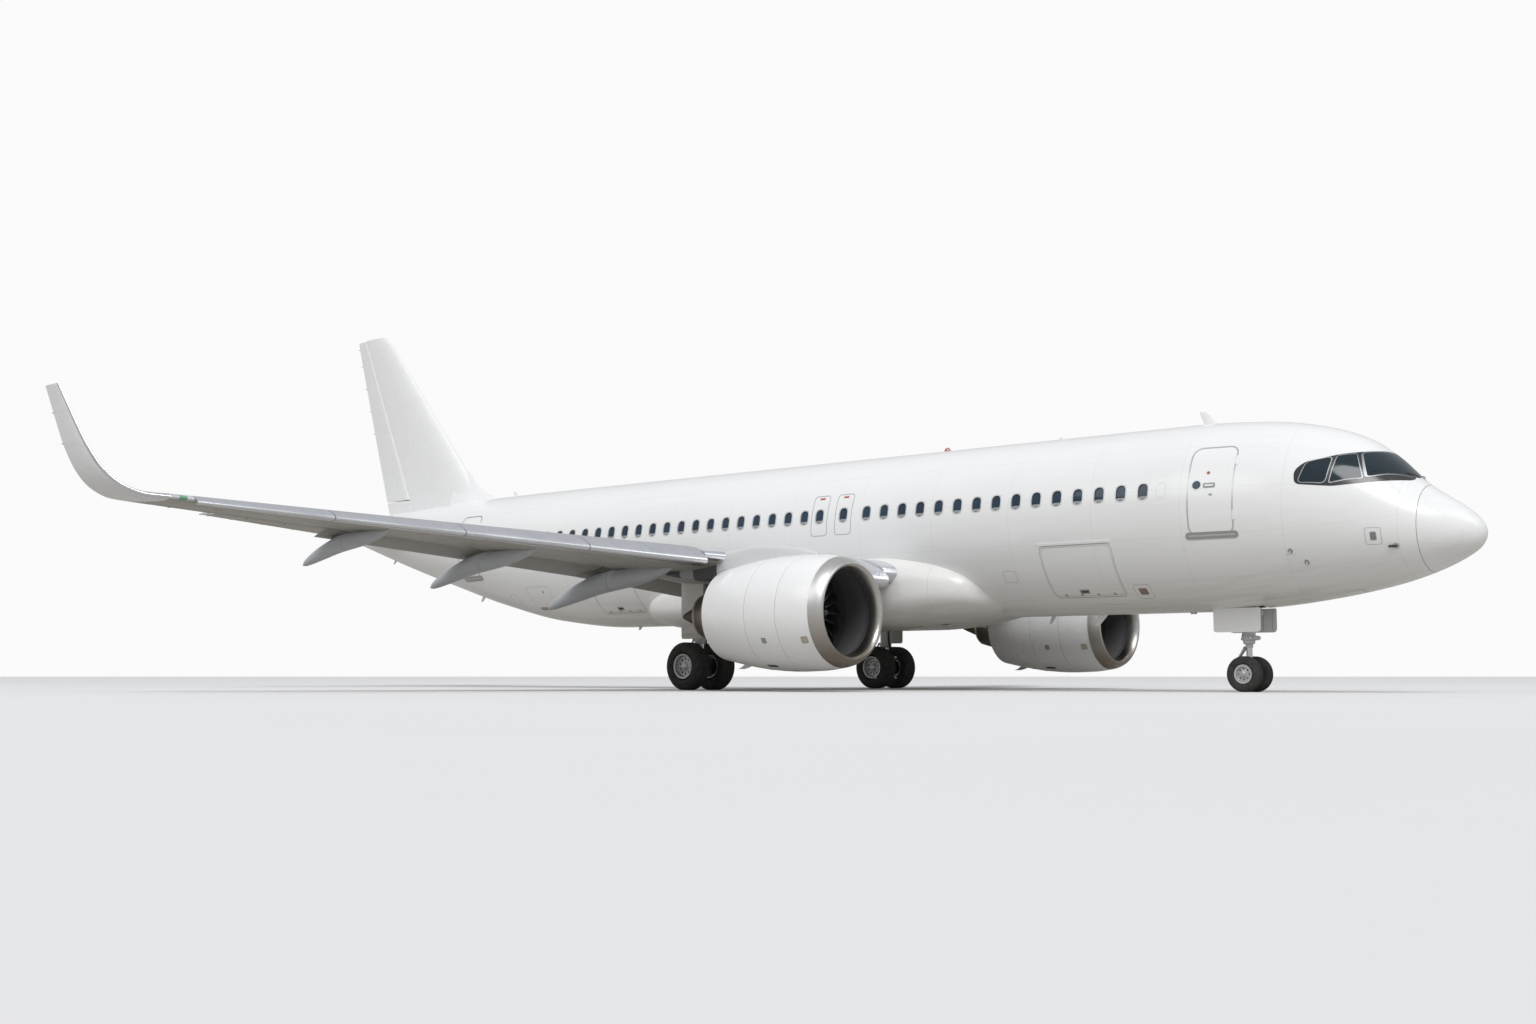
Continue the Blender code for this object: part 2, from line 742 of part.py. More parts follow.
def skin_point(station, side):
    """The point on the fuselage's underside at a distance to port."""
    _, widest, bottom, half_width = fuselage_size(station)
    return place(station, side, widest - (widest - bottom) * math.sqrt(1 - (side / half_width) ** 2))


def pad_points():
    """The middle of each jacking pad's flat lower face: nose, then port wing."""
    station, side = WING_PAD
    section = wing_section(side)
    share = (station - section[0]) / section[3]
    down = Vector((0, 0, -PAD_DROP))
    return skin_point(*NOSE_PAD) + down, foil_point(section, share, -1) + down


def pad(point):
    return rod("pad", point + Vector((0, 0, 0.15)), point, PAD_RADIUS, 12)


def door_axes():
    """Two points on the hinge axis of each hinged door, nose end first or port end first."""
    station = RADOME_END - DOOR_GAP / 2
    axes = {"radome": [place(station, side, RADOME_HINGE_HEIGHT) for side in (0.3, -0.3)]}
    for name, side, first, last, _, high in SIDE_PANELS:
        if name.startswith("cargo"):
            _, _, bottom, half_width = fuselage_size(BARREL_START)
            skin = side * half_width * math.sqrt(1 - (high / bottom) ** 2)
            axes[name] = [place(station, skin, high + DOOR_GAP / 2) for station in (first, last)]
    for side, end in ((1, "left"), (-1, "right")):
        edge = side * (NOSE_BAY_HALF_WIDTH - DOOR_GAP / 2)
        stations = (NOSE_BAY[0] + 0.3, NOSE_DOORS_END - 0.3)
        lowered = Vector((0, 0, -NOSE_DOOR_AXIS_DROP))
        axes["nose_gear_door_" + end] = [skin_point(station, edge) + lowered for station in stations]
        edge = side * (MAIN_BAY_SIDES[0] - DOOR_GAP / 2)
        axes["main_gear_door_" + end] = [place(station, edge, FAIRING_BOTTOM) for station in MAIN_BAY]
    return axes


def make_fuselage():
    shape = fuselage_shape(RADOME_END, EXHAUST_START)
    radome = fuselage_shape(0, RADOME_END - DOOR_GAP)
    exhaust = fuselage_shape(EXHAUST_START + SEAT_GAP, LENGTH)
    centre = place(LENGTH, 0, FUSELAGE[-1][2])
    inside, outside = centre + Vector((EXHAUST_DEPTH, 0, 0)), centre - Vector((0.1, 0, 0))
    carve(exhaust, rod("bore", inside, outside, EXHAUST_BORE, 20))

    def hull(grow):
        return fuselage_shape(0, LENGTH, grow)

    doors = {}
    for name, side, first, last, low, high in SIDE_PANELS:
        near, far = place(last, side * 0.4, low), place(first, side * 2.4, high)
        corner = Vector((near.x, min(near.y, far.y), near.z))
        opposite = Vector((far.x, max(near.y, far.y), far.z))
        gap = DOOR_GAP if name.startswith("cargo") else SEAT_GAP
        doors[name], pocket = panel(hull, corner, opposite, PANEL_DEPTH, gap)
        carve(shape, pocket)

    glazing = glazing_prism(0.0)
    carve(glazing, hull(0.0), "INTERSECT")
    carve(glazing, hull(-GLAZING_DEPTH))
    pocket = glazing_prism(SEAT_GAP)
    carve(pocket, hull(-GLAZING_DEPTH - SEAT_GAP))
    carve(shape, pocket)

    first, last = NOSE_BAY
    half = NOSE_BAY_HALF_WIDTH
    carve(shape, box("bay", place(last, -half, -3.0), place(first, half, NOSE_BAY_ROOF)))
    for side, name in ((1, "nose_gear_door_left"), (-1, "nose_gear_door_right")):
        inner, outer = side * DOOR_GAP / 2, side * (half - DOOR_GAP)
        low = place(NOSE_DOORS_END, min(inner, outer), -2.6)
        high = place(first + NOSE_DOOR_FRONT_GAP, max(inner, outer), -1.5)
        door, pocket = panel(hull, low, high, 0.06, DOOR_GAP)
        drop(pocket)
        doors[name] = door
    return shape, radome, exhaust, glazing, doors


def glazing_prism(grow):
    """The windscreen's side outline carried right across the nose."""
    middle = sum((Vector(point) for point in GLAZING_OUTLINE), Vector((0, 0))) / len(GLAZING_OUTLINE)
    rings = []
    for side in (-2.2, 2.2):
        ring = []
        for point in GLAZING_OUTLINE:
            out = (Vector(point) - middle).normalized() * grow
            ring.append(place(point[0] + out.x, side, point[1] + out.y))
        rings.append(ring)
    return loft("glazing", rings)


def make_wing(hull, fairing):
    wing = loft("wing", [foil_ring(wing_section(row[0]), full_loop()) for row in WING])
    for _, first, last in SLATS:
        carve(wing, nose_cutter(first - BAY_GAP, last + BAY_GAP))
    start, end = FLAPS[0][1] - BAY_GAP, AILERON_SPAN[1] + BAY_GAP
    sides = [start] + [row[0] for row in WING_REAR if start < row[0] < end] + [end]
    cuts = [read_line(WING_REAR, side, 1) for side in sides]
    carve(wing, rear_cutter([wing_section(side) for side in sides], cuts))
    for side, size in TRACKS:
        join(wing, track_fairing(side, size))
    seat(wing, fairing)
    seat(wing, hull)
    return wing


def make_slat(first, last, wing):
    """A slat moved forward and down from its place on the wing, with the tracks that carry it."""
    rings = []
    tracks = []
    for side in (first, last):
        leading, _, height, chord, thickness, lean, twist = wing_section(side)
        moved = (
            leading - SLAT_FORWARD * chord,
            side,
            height - SLAT_DROP * chord,
            chord,
            thickness,
            lean,
            twist,
        )
        pivot = foil_point(moved, 0.12, 0)
        turn = Matrix.Rotation(SLAT_ANGLE, 4, "Y")
        ring = foil_ring(moved, SLAT_OUTER + SLAT_INNER)
        rings.append([pivot + turn @ (point - pivot) for point in ring])
    slat = loft("slat", rings)
    for share in (0.2, 0.8):
        side = first + share * (last - first)
        section = wing_section(side)
        start = foil_point(section, 0.01, -0.2)
        end = foil_point(section, 0.09, -0.1)
        half = Vector((0, 0.03, 0.012 * section[3]))
        tracks.append(box("track", end - half, start + half))
    join(slat, *tracks)
    seat(slat, wing)
    return slat


def make_flap(first, last, wing):
    rings = []
    for side in (first, last):
        leading, _, height, chord, thickness, lean, twist = wing_section(side)
        cut = read_line(WING_REAR, side, 1)
        own_chord = (1 - cut) * chord * FLAP_GROWTH
        start = foil_point(wing_section(side), cut, 0)
        station = LENGTH / 2 - start.x + FLAP_AFT
        lowered = start.z - REFERENCE_HEIGHT - FLAP_DROP
        section = (station, side, lowered, own_chord, 0.15, lean, FLAP_ANGLE)
        rings.append(foil_ring(section, full_loop()))
    flap = loft("flap", rings)
    seat(flap, wing)
    return flap


def make_aileron():
    first, last = (wing_section(side) for side in AILERON_SPAN)
    cut = WING_REAR[-1][1]
    aileron = loft("aileron", [control_ring(section, cut) for section in (first, last)])
    ends = hinge_line(first, last, cut)
    add_pins(aileron, ends, 0.018)
    return aileron


def make_winglet():
    rings = []
    for side, leading, height, chord, lean in WINGLET:
        section = (leading, side, height, chord, 0.10, math.radians(lean), 0.0)
        rings.append(foil_ring(section, full_loop()))
    return loft("winglet", rings)


def fin_section(height):
    leading, chord = (read_line(FIN, height, column) for column in (1, 2))
    return (leading, 0.0, height, chord, FIN_THICKNESS, math.radians(90), 0.0)


def make_fin(hull):
    low, high = RUDDER_LIMITS
    fin = loft("fin", [foil_ring(fin_section(row[0]), full_loop()) for row in FIN])
    ends = [fin_section(height) for height in (low - BAY_GAP, FIN[-1][0] + 0.2)]
    carve(fin, rear_cutter(ends, (RUDDER_SHARE, RUDDER_SHARE)))
    rings = []
    for station, crest, half_width in FILLET:
        rings.append(
            [
                place(station, half_width * 1.8, FILLET_FOOT),
                place(station, half_width, (FILLET_FOOT + crest) / 2 + 0.3),
                place(station, half_width * 0.35, crest),
                place(station, -half_width * 0.35, crest),
                place(station, -half_width, (FILLET_FOOT + crest) / 2 + 0.3),
                place(station, -half_width * 1.8, FILLET_FOOT),
            ]
        )
    join(fin, loft("fillet", rings))
    seat(fin, hull)
    rudder = loft("rudder", [control_ring(fin_section(height), RUDDER_SHARE) for height in (low, high)])
    ends = hinge_line(fin_section(low), fin_section(high), RUDDER_SHARE)
    along = (ends[1] - ends[0]).normalized()
    join(rudder, rod("pin", ends[0] + along * 0.2, ends[0] - along * 0.022, 0.02, 8))
    return fin, rudder


def tail_section(side):
    leading, chord, height = (read_line(TAILPLANE, side, column) for column in (1, 2, 3))
    return (leading, side, height, chord, TAILPLANE_THICKNESS, math.radians(6), 0.0)


def make_tailplane(hull):
    first, last = ELEVATOR_SPAN
    plane = loft("tailplane", [foil_ring(tail_section(row[0]), full_loop()) for row in TAILPLANE])
    ends = [tail_section(side) for side in (first - BAY_GAP, last + BAY_GAP)]
    carve(plane, rear_cutter(ends, (ELEVATOR_SHARE, ELEVATOR_SHARE)))
    seat(plane, hull)
    ends = [tail_section(side) for side in ELEVATOR_SPAN]
    elevator = loft("elevator", [control_ring(section, ELEVATOR_SHARE) for section in ends])
    add_pins(elevator, hinge_line(*ends, ELEVATOR_SHARE), 0.02)
    return plane, elevator


def make_engine(wing):
    """The port engine: lip, cowl, core with its vanes, fan and pylon."""
    front = place(ENGINE_FRONT, ENGINE_SIDE, ENGINE_HEIGHT)
    aft = (-1, 0, 0)
    lip = turned("lip", LIP_OUTER + LIP_INNER, front, aft, ENGINE_STEPS)
    behind_lip = front - Vector((SEAT_GAP, 0, 0))
    nacelle = turned("nacelle", NACELLE_OUTER + NACELLE_INNER, behind_lip, aft, ENGINE_STEPS)
    profile = ((CORE_OUTER[0][0], 0.0),) + CORE_OUTER + CORE_PLUG
    core = turned("core", profile, front, aft, ENGINE_STEPS)
    for number in range(VANE_COUNT):
        angle = 2 * math.pi * (number + 0.5) / VANE_COUNT
        vane = box("vane", (-VANE_PLACE[1], 0.5, -0.025), (-VANE_PLACE[0], 1.10, 0.025))
        join(core, moved(vane, Matrix.Translation(front) @ Matrix.Rotation(angle, 4, "X")))
    seat(core, nacelle)
    fan = turned("fan", SPINNER, front, aft, 18)
    for number in range(FAN_BLADES):
        join(fan, fan_blade(front, 2 * math.pi * number / FAN_BLADES))
    rings = []
    for station, low, high, half in PYLON:
        shoulder = min(PYLON_SHOULDER, (high - low) * 0.35)
        rings.append(
            [
                place(station, ENGINE_SIDE + half, low),
                place(station, ENGINE_SIDE + half, high - shoulder),
                place(station, ENGINE_SIDE + half * 0.5, high),
                place(station, ENGINE_SIDE - half * 0.5, high),
                place(station, ENGINE_SIDE - half, high - shoulder),
                place(station, ENGINE_SIDE - half, low),
            ]
        )
    pylon = loft("pylon", rings)
    profile = ((LIP_END, 0.0),) + NACELLE_OUTER + ((COWL_END, 0.0),)
    filled = turned("filled", profile, behind_lip, aft, ENGINE_STEPS)
    seat(pylon, filled)
    drop(filled)
    seat(pylon, wing)
    return lip, nacelle, core, fan, pylon


def fan_blade(front, angle):
    """One twisted fan blade, from inside the hub to its tip."""
    rings = []
    for radius, chord, stagger, thickness in FAN_BLADE:
        tilt = math.radians(stagger)
        along = Vector((-math.cos(tilt), math.sin(tilt), 0)) * chord / 2
        across = Vector((math.sin(tilt), math.cos(tilt), 0)) * thickness / 2
        centre = Vector((-FAN_PLANE, 0, radius))
        rings.append([centre + along, centre + across, centre - along, centre - across])
    blade = loft("blade", rings)
    return moved(blade, Matrix.Translation(front) @ Matrix.Rotation(angle, 4, "X"))


def tyre_profile(radius, width, rim):
    half = width / 2
    return (
        (-half * 0.80, rim),
        (-half, (radius + rim) / 2),
        (-half * 0.86, radius * 0.95),
        (-half * 0.55, radius),
        (half * 0.55, radius),
        (half * 0.86, radius * 0.95),
        (half, (radius + rim) / 2),
        (half * 0.80, rim),
    )


def make_wheels(station, side, radius, width, spacing, axle):
    """Twin tyres and the pair of hubs joined by their axle."""
    height = radius * math.cos(math.pi / TYRE_STEPS)
    centre = Vector((LENGTH / 2 - station, side, height))
    rim = radius * 0.50
    half = width / 2
    middle = spacing / 2
    hub_rim = rim - SEAT_GAP
    profile = []
    for sign in (-1, 1):
        wheel = [
            (-half * 0.60, 0.0 if sign < 0 else axle),
            (-half * 0.60, rim * 0.80),
            (-half * 0.86, hub_rim),
            (half * 0.86, hub_rim),
            (half * 0.60, rim * 0.80),
            (half * 0.60, 0.0 if sign > 0 else axle),
        ]
        profile += [(sign * middle + along, size) for along, size in wheel]
    hubs = turned("hubs", profile, centre, (0, 1, 0), TYRE_STEPS)
    tyres = []
    for sign in (-1, 1):
        seat_profile = tyre_profile(radius, width, rim)
        offset = centre + Vector((0, sign * middle, 0))
        tyres.append(turned("tyre", seat_profile, offset, (0, 1, 0), TYRE_STEPS))
    return hubs, tyres


def axle_bore(station, side, height, axle):
    """A cutter for the bearing round an axle, clear of its corners as it turns."""
    reach = (axle + 0.0006) / math.cos(math.pi / TYRE_STEPS)
    return rod(
        "bearing",
        (LENGTH / 2 - station, side - 0.3, height),
        (LENGTH / 2 - station, side + 0.3, height),
        reach,
        TYRE_STEPS,
    )


def add_rods(target, foot, rows):
    """Joins a table of round members to a leg that stands at a point on the ground."""
    for start, end, radius in rows:
        steps = 12 if radius > 0.1 else 8
        join(target, rod("member", foot + Vector(start), foot + Vector(end), radius, steps))


def make_main_leg(wing):
    foot = Vector((LENGTH / 2 - MAIN_STATION, MAIN_SIDE, 0))
    axle = MAIN_TYRE_RADIUS * math.cos(math.pi / TYRE_STEPS)
    radius, top = MAIN_PISTON
    leg = rod("leg", foot + Vector((0, 0, axle - 0.02)), foot + Vector((0, 0, top)), radius, LEG_STEPS)
    radius, half = MAIN_BEARING
    ends = [foot + Vector((0, side * half, axle)) for side in (-1, 1)]
    join(leg, rod("bearing", *ends, radius, LEG_STEPS))
    add_rods(leg, foot, MAIN_LEG_RODS)
    for low, high in (MAIN_LEG_LINK, MAIN_LEG_DOOR):
        join(leg, box("plate", foot + Vector(low), foot + Vector(high)))
    carve(leg, axle_bore(MAIN_STATION, MAIN_SIDE, axle, AXLE_RADIUS))
    seat(leg, wing)
    return leg


def make_nose_leg(fuselage):
    foot = Vector((LENGTH / 2 - NOSE_STATION, 0, 0))
    joint = Vector((0, 0, STEERING_JOINT))
    radius, top = NOSE_CYLINDER
    leg = rod("leg", foot + joint + Vector((0, 0, SEAT_GAP)), foot + Vector((0, 0, top)), radius, LEG_STEPS)
    add_rods(leg, foot, NOSE_LEG_RODS)
    low, high = (Vector(corner) for corner in NOSE_LEG_DOOR)
    join(leg, box("bay_door", foot + low, foot + high))
    low.y, high.y = -high.y, -low.y
    join(leg, box("bay_door", foot + low, foot + high))
    seat(leg, fuselage)

    axle = NOSE_TYRE_RADIUS * math.cos(math.pi / TYRE_STEPS)
    fork = rod("fork", foot + Vector((0, 0, axle)), foot + joint, NOSE_PISTON, LEG_STEPS)
    radius, half = NOSE_BEARING
    ends = [foot + Vector((0, side * half, axle)) for side in (-1, 1)]
    join(fork, rod("bearing", *ends, radius, LEG_STEPS))
    low, high = NOSE_TOW_LUG
    join(fork, box("tow_lug", foot + Vector(low), foot + Vector(high)))
    add_rods(fork, foot, NOSE_FORK_RODS)
    carve(fork, axle_bore(NOSE_STATION, 0, axle, NOSE_AXLE_RADIUS))
    return leg, fork


def joint_points():
    """A point on the joint axis of each moving part."""
    points = {name: (ends[0] + ends[1]) / 2 for name, ends in door_axes().items()}
    pairs = {
        "fan": place(ENGINE_FRONT + FAN_PLANE, ENGINE_SIDE, ENGINE_HEIGHT),
        "aileron": hinge_line(*(wing_section(side) for side in AILERON_SPAN), WING_REAR[-1][1])[0],
        "elevator": hinge_line(*(tail_section(side) for side in ELEVATOR_SPAN), ELEVATOR_SHARE)[0],
    }
    axle = MAIN_TYRE_RADIUS * math.cos(math.pi / TYRE_STEPS)
    for name in ("main_wheel_hubs", "main_tyre_inner", "main_tyre_outer"):
        pairs[name] = Vector((LENGTH / 2 - MAIN_STATION, MAIN_SIDE, axle))
    for name, point in pairs.items():
        points[name + "_left"] = point
        points[name + "_right"] = Vector((point.x, -point.y, point.z))
    points["rudder"] = hinge_line(*(fin_section(height) for height in RUDDER_LIMITS), RUDDER_SHARE)[0]
    axle = NOSE_TYRE_RADIUS * math.cos(math.pi / TYRE_STEPS)
    for name in ("nose_wheel_hubs", "nose_tyre_left", "nose_tyre_right"):
        points[name] = Vector((LENGTH / 2 - NOSE_STATION, 0, axle))
    points["nose_gear_fork"] = Vector((LENGTH / 2 - NOSE_STATION, 0, STEERING_JOINT))
    return points


def main():
    clear_scene()
    hull = fuselage_shape(0, LENGTH)
    fuselage, radome, exhaust, glazing, doors = make_fuselage()

    axes = door_axes()
    nose_pad, wing_pad = pad_points()
    join(fuselage, pad(nose_pad))
    hinge(fuselage, radome, axes["radome"])
    for name in ("cargo_door_front", "cargo_door_rear", "nose_gear_door_left", "nose_gear_door_right"):
        hinge(fuselage, doors[name], axes[name])

    # Fin, tailplane and their control surfaces
    fin, rudder = make_fin(hull)
    keep(fin, "fin", WHITE)
    keep(rudder, "rudder", WHITE)
    plane, elevator = make_tailplane(hull)
    keep_pair(plane, "tailplane", WING_GREY)
    keep_pair(elevator, "elevator", WING_GREY)

    # Belly fairing with its wheel bay doors
    fairing_solid = fairing_shape()
    fairing = copied(fairing_solid)
    for side, name in ((1, "main_gear_door_left"), (-1, "main_gear_door_right")):
        inner, outer = (side * value for value in MAIN_BAY_SIDES)
        low = place(MAIN_BAY[1], min(inner, outer), -2.8)
        high = place(MAIN_BAY[0], max(inner, outer), -1.9)
        doors[name], pocket = panel(fairing_shape, low, high, 0.06, DOOR_GAP)
        carve(fairing, pocket)
    seat(fairing, hull)
    for name in ("main_gear_door_left", "main_gear_door_right"):
        hinge(fairing, doors[name], axes[name])

    # Wings with their moving edges, engines and main legs
    wing = join(make_wing(hull, fairing_solid), pad(wing_pad))
    for name, first, last in SLATS:
        keep_pair(make_slat(first, last, wing), name, BARE_METAL)
    for name, first, last in FLAPS:
        keep_pair(make_flap(first, last, wing), name, WING_GREY)
    keep_pair(make_aileron(), "aileron", WING_GREY)
    keep_pair(make_winglet(), "winglet", LIGHT_GREY)
    lip, nacelle, core, fan, pylon = make_engine(wing)
    keep_pair(lip, "inlet_lip", BARE_METAL)
    keep_pair(nacelle, "nacelle", WHITE)
    keep_pair(core, "engine_core", HOT_METAL)
    keep_pair(fan, "fan", DARK)
    keep_pair(pylon, "pylon", LIGHT_GREY)
    keep_pair(make_main_leg(wing), "main_gear_leg", GEAR_GREY)
    hubs, tyres = make_wheels(
        MAIN_STATION, MAIN_SIDE, MAIN_TYRE_RADIUS, MAIN_TYRE_WIDTH, MAIN_SPACING, AXLE_RADIUS
    )
    keep_pair(hubs, "main_wheel_hubs", GEAR_GREY)
    keep_pair(tyres[0], "main_tyre_inner", RUBBER)
    keep_pair(tyres[1], "main_tyre_outer", RUBBER)
    keep_pair(wing, "wing", WING_GREY)
    drop(fairing_solid)

    # Nose gear
    leg, fork = make_nose_leg(fuselage)
    keep(leg, "nose_gear_leg", GEAR_GREY)
    keep(fork, "nose_gear_fork", GEAR_GREY)
    hubs, tyres = make_wheels(
        NOSE_STATION, 0.0, NOSE_TYRE_RADIUS, NOSE_TYRE_WIDTH, NOSE_SPACING, NOSE_AXLE_RADIUS
    )
    keep(hubs, "nose_wheel_hubs", GEAR_GREY)
    keep(tyres[0], "nose_tyre_right", RUBBER)
    keep(tyres[1], "nose_tyre_left", RUBBER)

    keep(fairing, "belly_fairing", BELLY_GREY)
    keep(fuselage, "fuselage", WHITE)
    keep(radome, "radome", WHITE)
    keep(exhaust, "exhaust_cone", HOT_METAL)
    keep(glazing, "cockpit_glazing", GLASS_DARK)
    for name, door in doors.items():
        keep(door, name, WHITE)
    drop(hull)

    for name, point in joint_points().items():
        piece = bpy.data.objects[name]
        piece.data.transform(Matrix.Translation(-point))
        piece.location = point


AIRCRAFT = new_collection("airliner")
CUTTERS = new_collection("cutters", hidden=True)
main()
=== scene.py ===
"""Dresses a single-aisle airliner: skins, windows, doors, engines, wings, landing gear and stage.

Blender 4.5, metres. +X points to the nose, +Y to port and +Z up. Places along the aircraft are
stations, measured aft from the nose tip, and heights are taken from the fuselage reference line,
as in the CAD model. Most pieces are modelled to port and mirrored.
"""

import math

import bmesh
import bpy
from bpy.props import FloatProperty, FloatVectorProperty, IntProperty, PointerProperty
from mathutils import Matrix, Vector


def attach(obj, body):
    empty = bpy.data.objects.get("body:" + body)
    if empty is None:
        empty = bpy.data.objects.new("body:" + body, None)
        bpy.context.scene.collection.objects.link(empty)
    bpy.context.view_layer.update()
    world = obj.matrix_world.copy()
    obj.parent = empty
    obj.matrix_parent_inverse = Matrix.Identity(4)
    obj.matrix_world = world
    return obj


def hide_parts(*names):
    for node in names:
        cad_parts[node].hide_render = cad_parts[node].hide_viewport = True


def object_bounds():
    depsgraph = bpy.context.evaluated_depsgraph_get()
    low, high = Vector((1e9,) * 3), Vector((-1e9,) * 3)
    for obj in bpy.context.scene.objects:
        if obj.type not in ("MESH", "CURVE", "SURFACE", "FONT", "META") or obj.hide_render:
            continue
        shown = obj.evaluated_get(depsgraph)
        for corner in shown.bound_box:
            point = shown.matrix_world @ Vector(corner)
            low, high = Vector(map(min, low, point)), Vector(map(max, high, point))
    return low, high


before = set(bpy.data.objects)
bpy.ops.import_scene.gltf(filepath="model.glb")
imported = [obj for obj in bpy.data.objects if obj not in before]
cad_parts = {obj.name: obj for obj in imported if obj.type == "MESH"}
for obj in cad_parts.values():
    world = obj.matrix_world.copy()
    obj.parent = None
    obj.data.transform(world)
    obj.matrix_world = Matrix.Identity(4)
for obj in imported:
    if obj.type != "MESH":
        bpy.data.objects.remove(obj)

bl_info = {
    "name": "Airliner dressing",
    "version": (1, 0, 0),
    "blender": (4, 5, 0),
    "location": "3D View > Sidebar > Airliner",
    "description": "Skins, windows, engines, landing gear and stage of a single-aisle airliner",
    "category": "Object",
}

# Frame
CAD_LOW, CAD_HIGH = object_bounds()
NOSE_X = CAD_HIGH.x
LENGTH = CAD_HIGH.x - CAD_LOW.x
REFERENCE_HEIGHT = 3.90
FOIL_CAMBER = 0.012
SIDES = ((1, "left"), (-1, "right"))
# Edges sharper than this stay hard in the shading
SHARP_ANGLE = math.radians(38)

# Fuselage: rows of station, top, height of the widest point, bottom, half width
BARREL_START = 6.0
FUSELAGE = (
    (0.00, -0.72, -0.72, -0.72, 0.00),
    (0.03, -0.58, -0.72, -0.85, 0.14),
    (0.12, -0.43, -0.72, -0.99, 0.29),
    (0.40, -0.17, -0.70, -1.19, 0.56),
    (0.75, 0.07, -0.66, -1.36, 0.80),
    (1.17, 0.38, -0.60, -1.52, 1.03),
    (1.71, 0.93, -0.50, -1.68, 1.26),
    (2.20, 1.31, -0.40, -1.79, 1.41),
    (3.00, 1.64, -0.26, -1.93, 1.61),
    (4.40, 1.90, -0.10, -2.09, 1.84),
    (BARREL_START, 1.975, 0.00, -2.165, 1.975),
    (24.0, 1.975, 0.00, -2.165, 1.975),
    (26.5, 1.975, 0.08, -1.96, 1.94),
    (29.0, 1.96, 0.30, -1.45, 1.79),
    (31.5, 1.90, 0.55, -0.77, 1.48),
    (34.0, 1.82, 0.83, -0.05, 1.08),
    (36.0, 1.72, 1.13, 0.56, 0.66),
    (LENGTH, 1.65, 1.35, 1.04, 0.30),
)
RADOME_END = 1.05
RADOME_WALL = 0.02
RADAR_HEIGHT, RADAR_REACH, RADAR_RADIUS = -0.68, 0.34, 0.36
RADOME_GAP = 0.008
EXHAUST_START = 36.9
EXHAUST_BORE = 0.19
EXHAUST_DEPTH = 0.55
SKIN_COLUMNS = 128
NOSE_RING_STEP = 0.06
BARREL_RING_STEP = 0.6
TAIL_RING_STEP = 0.3
TAPER_START = 24.0

# Cabin windows: rows of first station, count; the pitch is the usual 21 inches
WINDOW_ROWS = ((6.50, 15), (15.92, 23))
WINDOW_PITCH = 0.5334
WINDOW_HEIGHT = 0.38
WINDOW_CORNER = 0.105
WINDOW_DEPTH = 0.035
WINDOW_FRAME = 0.026
PLUG_STATION = 6.07
# Overwing exits
EXITS = (14.68, 15.43)
EXIT_SIZE = (0.51, 1.02)
EXIT_HEIGHT = 0.40
# Passenger doors: rows of name, first station, last station, low, high
DOORS = (("door_front", 4.50, 5.46, -0.62, 1.25), ("door_rear", 28.85, 29.80, -0.62, 1.25))
DOOR_CORNER = 0.17
# Cargo doors, all to starboard
CARGO_DOORS = (
    ("cargo_door_front", 7.35, 9.16, -1.80, -0.68), ("cargo_door_rear", 22.20, 23.90, -1.80, -0.68)
)
CARGO_CORNER = 0.12
CARGO_DEPTH = 0.07
CARGO_GAP = 0.009
BULK_DOOR = (25.70, 26.75, -1.62, -0.98)
# Windscreen band in side view: rows of station, height
GLAZING_OUTLINE = (
    (1.20, 0.36),
    (1.76, 1.02),
    (2.45, 0.95),
    (3.12, 0.80),
    (3.30, 0.62),
    (3.26, 0.34),
    (2.55, 0.26),
    (1.60, 0.34),
)
# Cockpit panes: rows of four corners, each a station and a height, from the lower front one
# round over the top; a height of None is the edge of the centre post
CENTRE_POST = 0.035
# How far the front pane's lower and upper edges bow forward, so that they look straight
CENTRE_BOW = (0.19, 0.07)
PANES = (
    ((1.25, None), (1.72, None), (2.12, 0.94), (1.93, 0.42)),
    ((2.01, 0.40), (2.21, 0.93), (2.53, 0.90), (2.60, 0.33)),
    ((2.68, 0.33), (2.61, 0.88), (3.08, 0.78), (3.20, 0.37)),
)
# Nose gear bay and its closed front doors
NOSE_BAY = (2.40, 5.75)
NOSE_BAY_HALF_WIDTH = 0.36
NOSE_BAY_ROOF = -1.15
NOSE_DOORS_END = 4.58
NOSE_DOOR_FRONT_GAP = 0.022
NOSE_DOOR_DEPTH = 0.05
DOOR_GAP = 0.008

# Belly fairing: rows of station, half width, top, bottom
FAIRING_BOTTOM = -2.42
FAIRING = (
    (10.45, 0.40, -1.50, -2.00),
    (10.75, 0.95, -1.30, -2.06),
    (11.45, 1.85, -0.90, -2.20),
    (12.30, 2.06, -0.62, -2.33),
    (13.60, 2.15, -0.48, FAIRING_BOTTOM),
    (18.90, 2.15, -0.55, FAIRING_BOTTOM),
    (20.40, 2.04, -0.88, -2.35),
    (21.50, 1.70, -1.20, -2.24),
    (22.35, 0.90, -1.40, -2.08),
    (22.75, 0.35, -1.50, -1.98),
)
FAIRING_COLUMNS = 96
FAIRING_SQUARENESS = 3.2
FAIRING_STEP = 0.15
MAIN_BAY = (16.30, 18.80)
MAIN_BAY_SIDES = (0.20, 1.55)
MAIN_DOOR_DEPTH = 0.05

# Wing: rows of side, leading edge, chord, thickness ratio, height, twist in degrees
WING = (
    (0.90, 12.30, 6.57, 0.150, -1.330, 3.0),
    (1.975, 12.86, 6.10, 0.148, -1.234, 3.0),
    (6.40, 15.16, 4.14, 0.122, -0.839, 1.6),
    (12.60, 18.39, 2.63, 0.112, -0.286, 0.6),
    (16.60, 20.47, 1.65, 0.108, 0.071, 0.0),
)
WING_LEAN = math.radians(5.1)
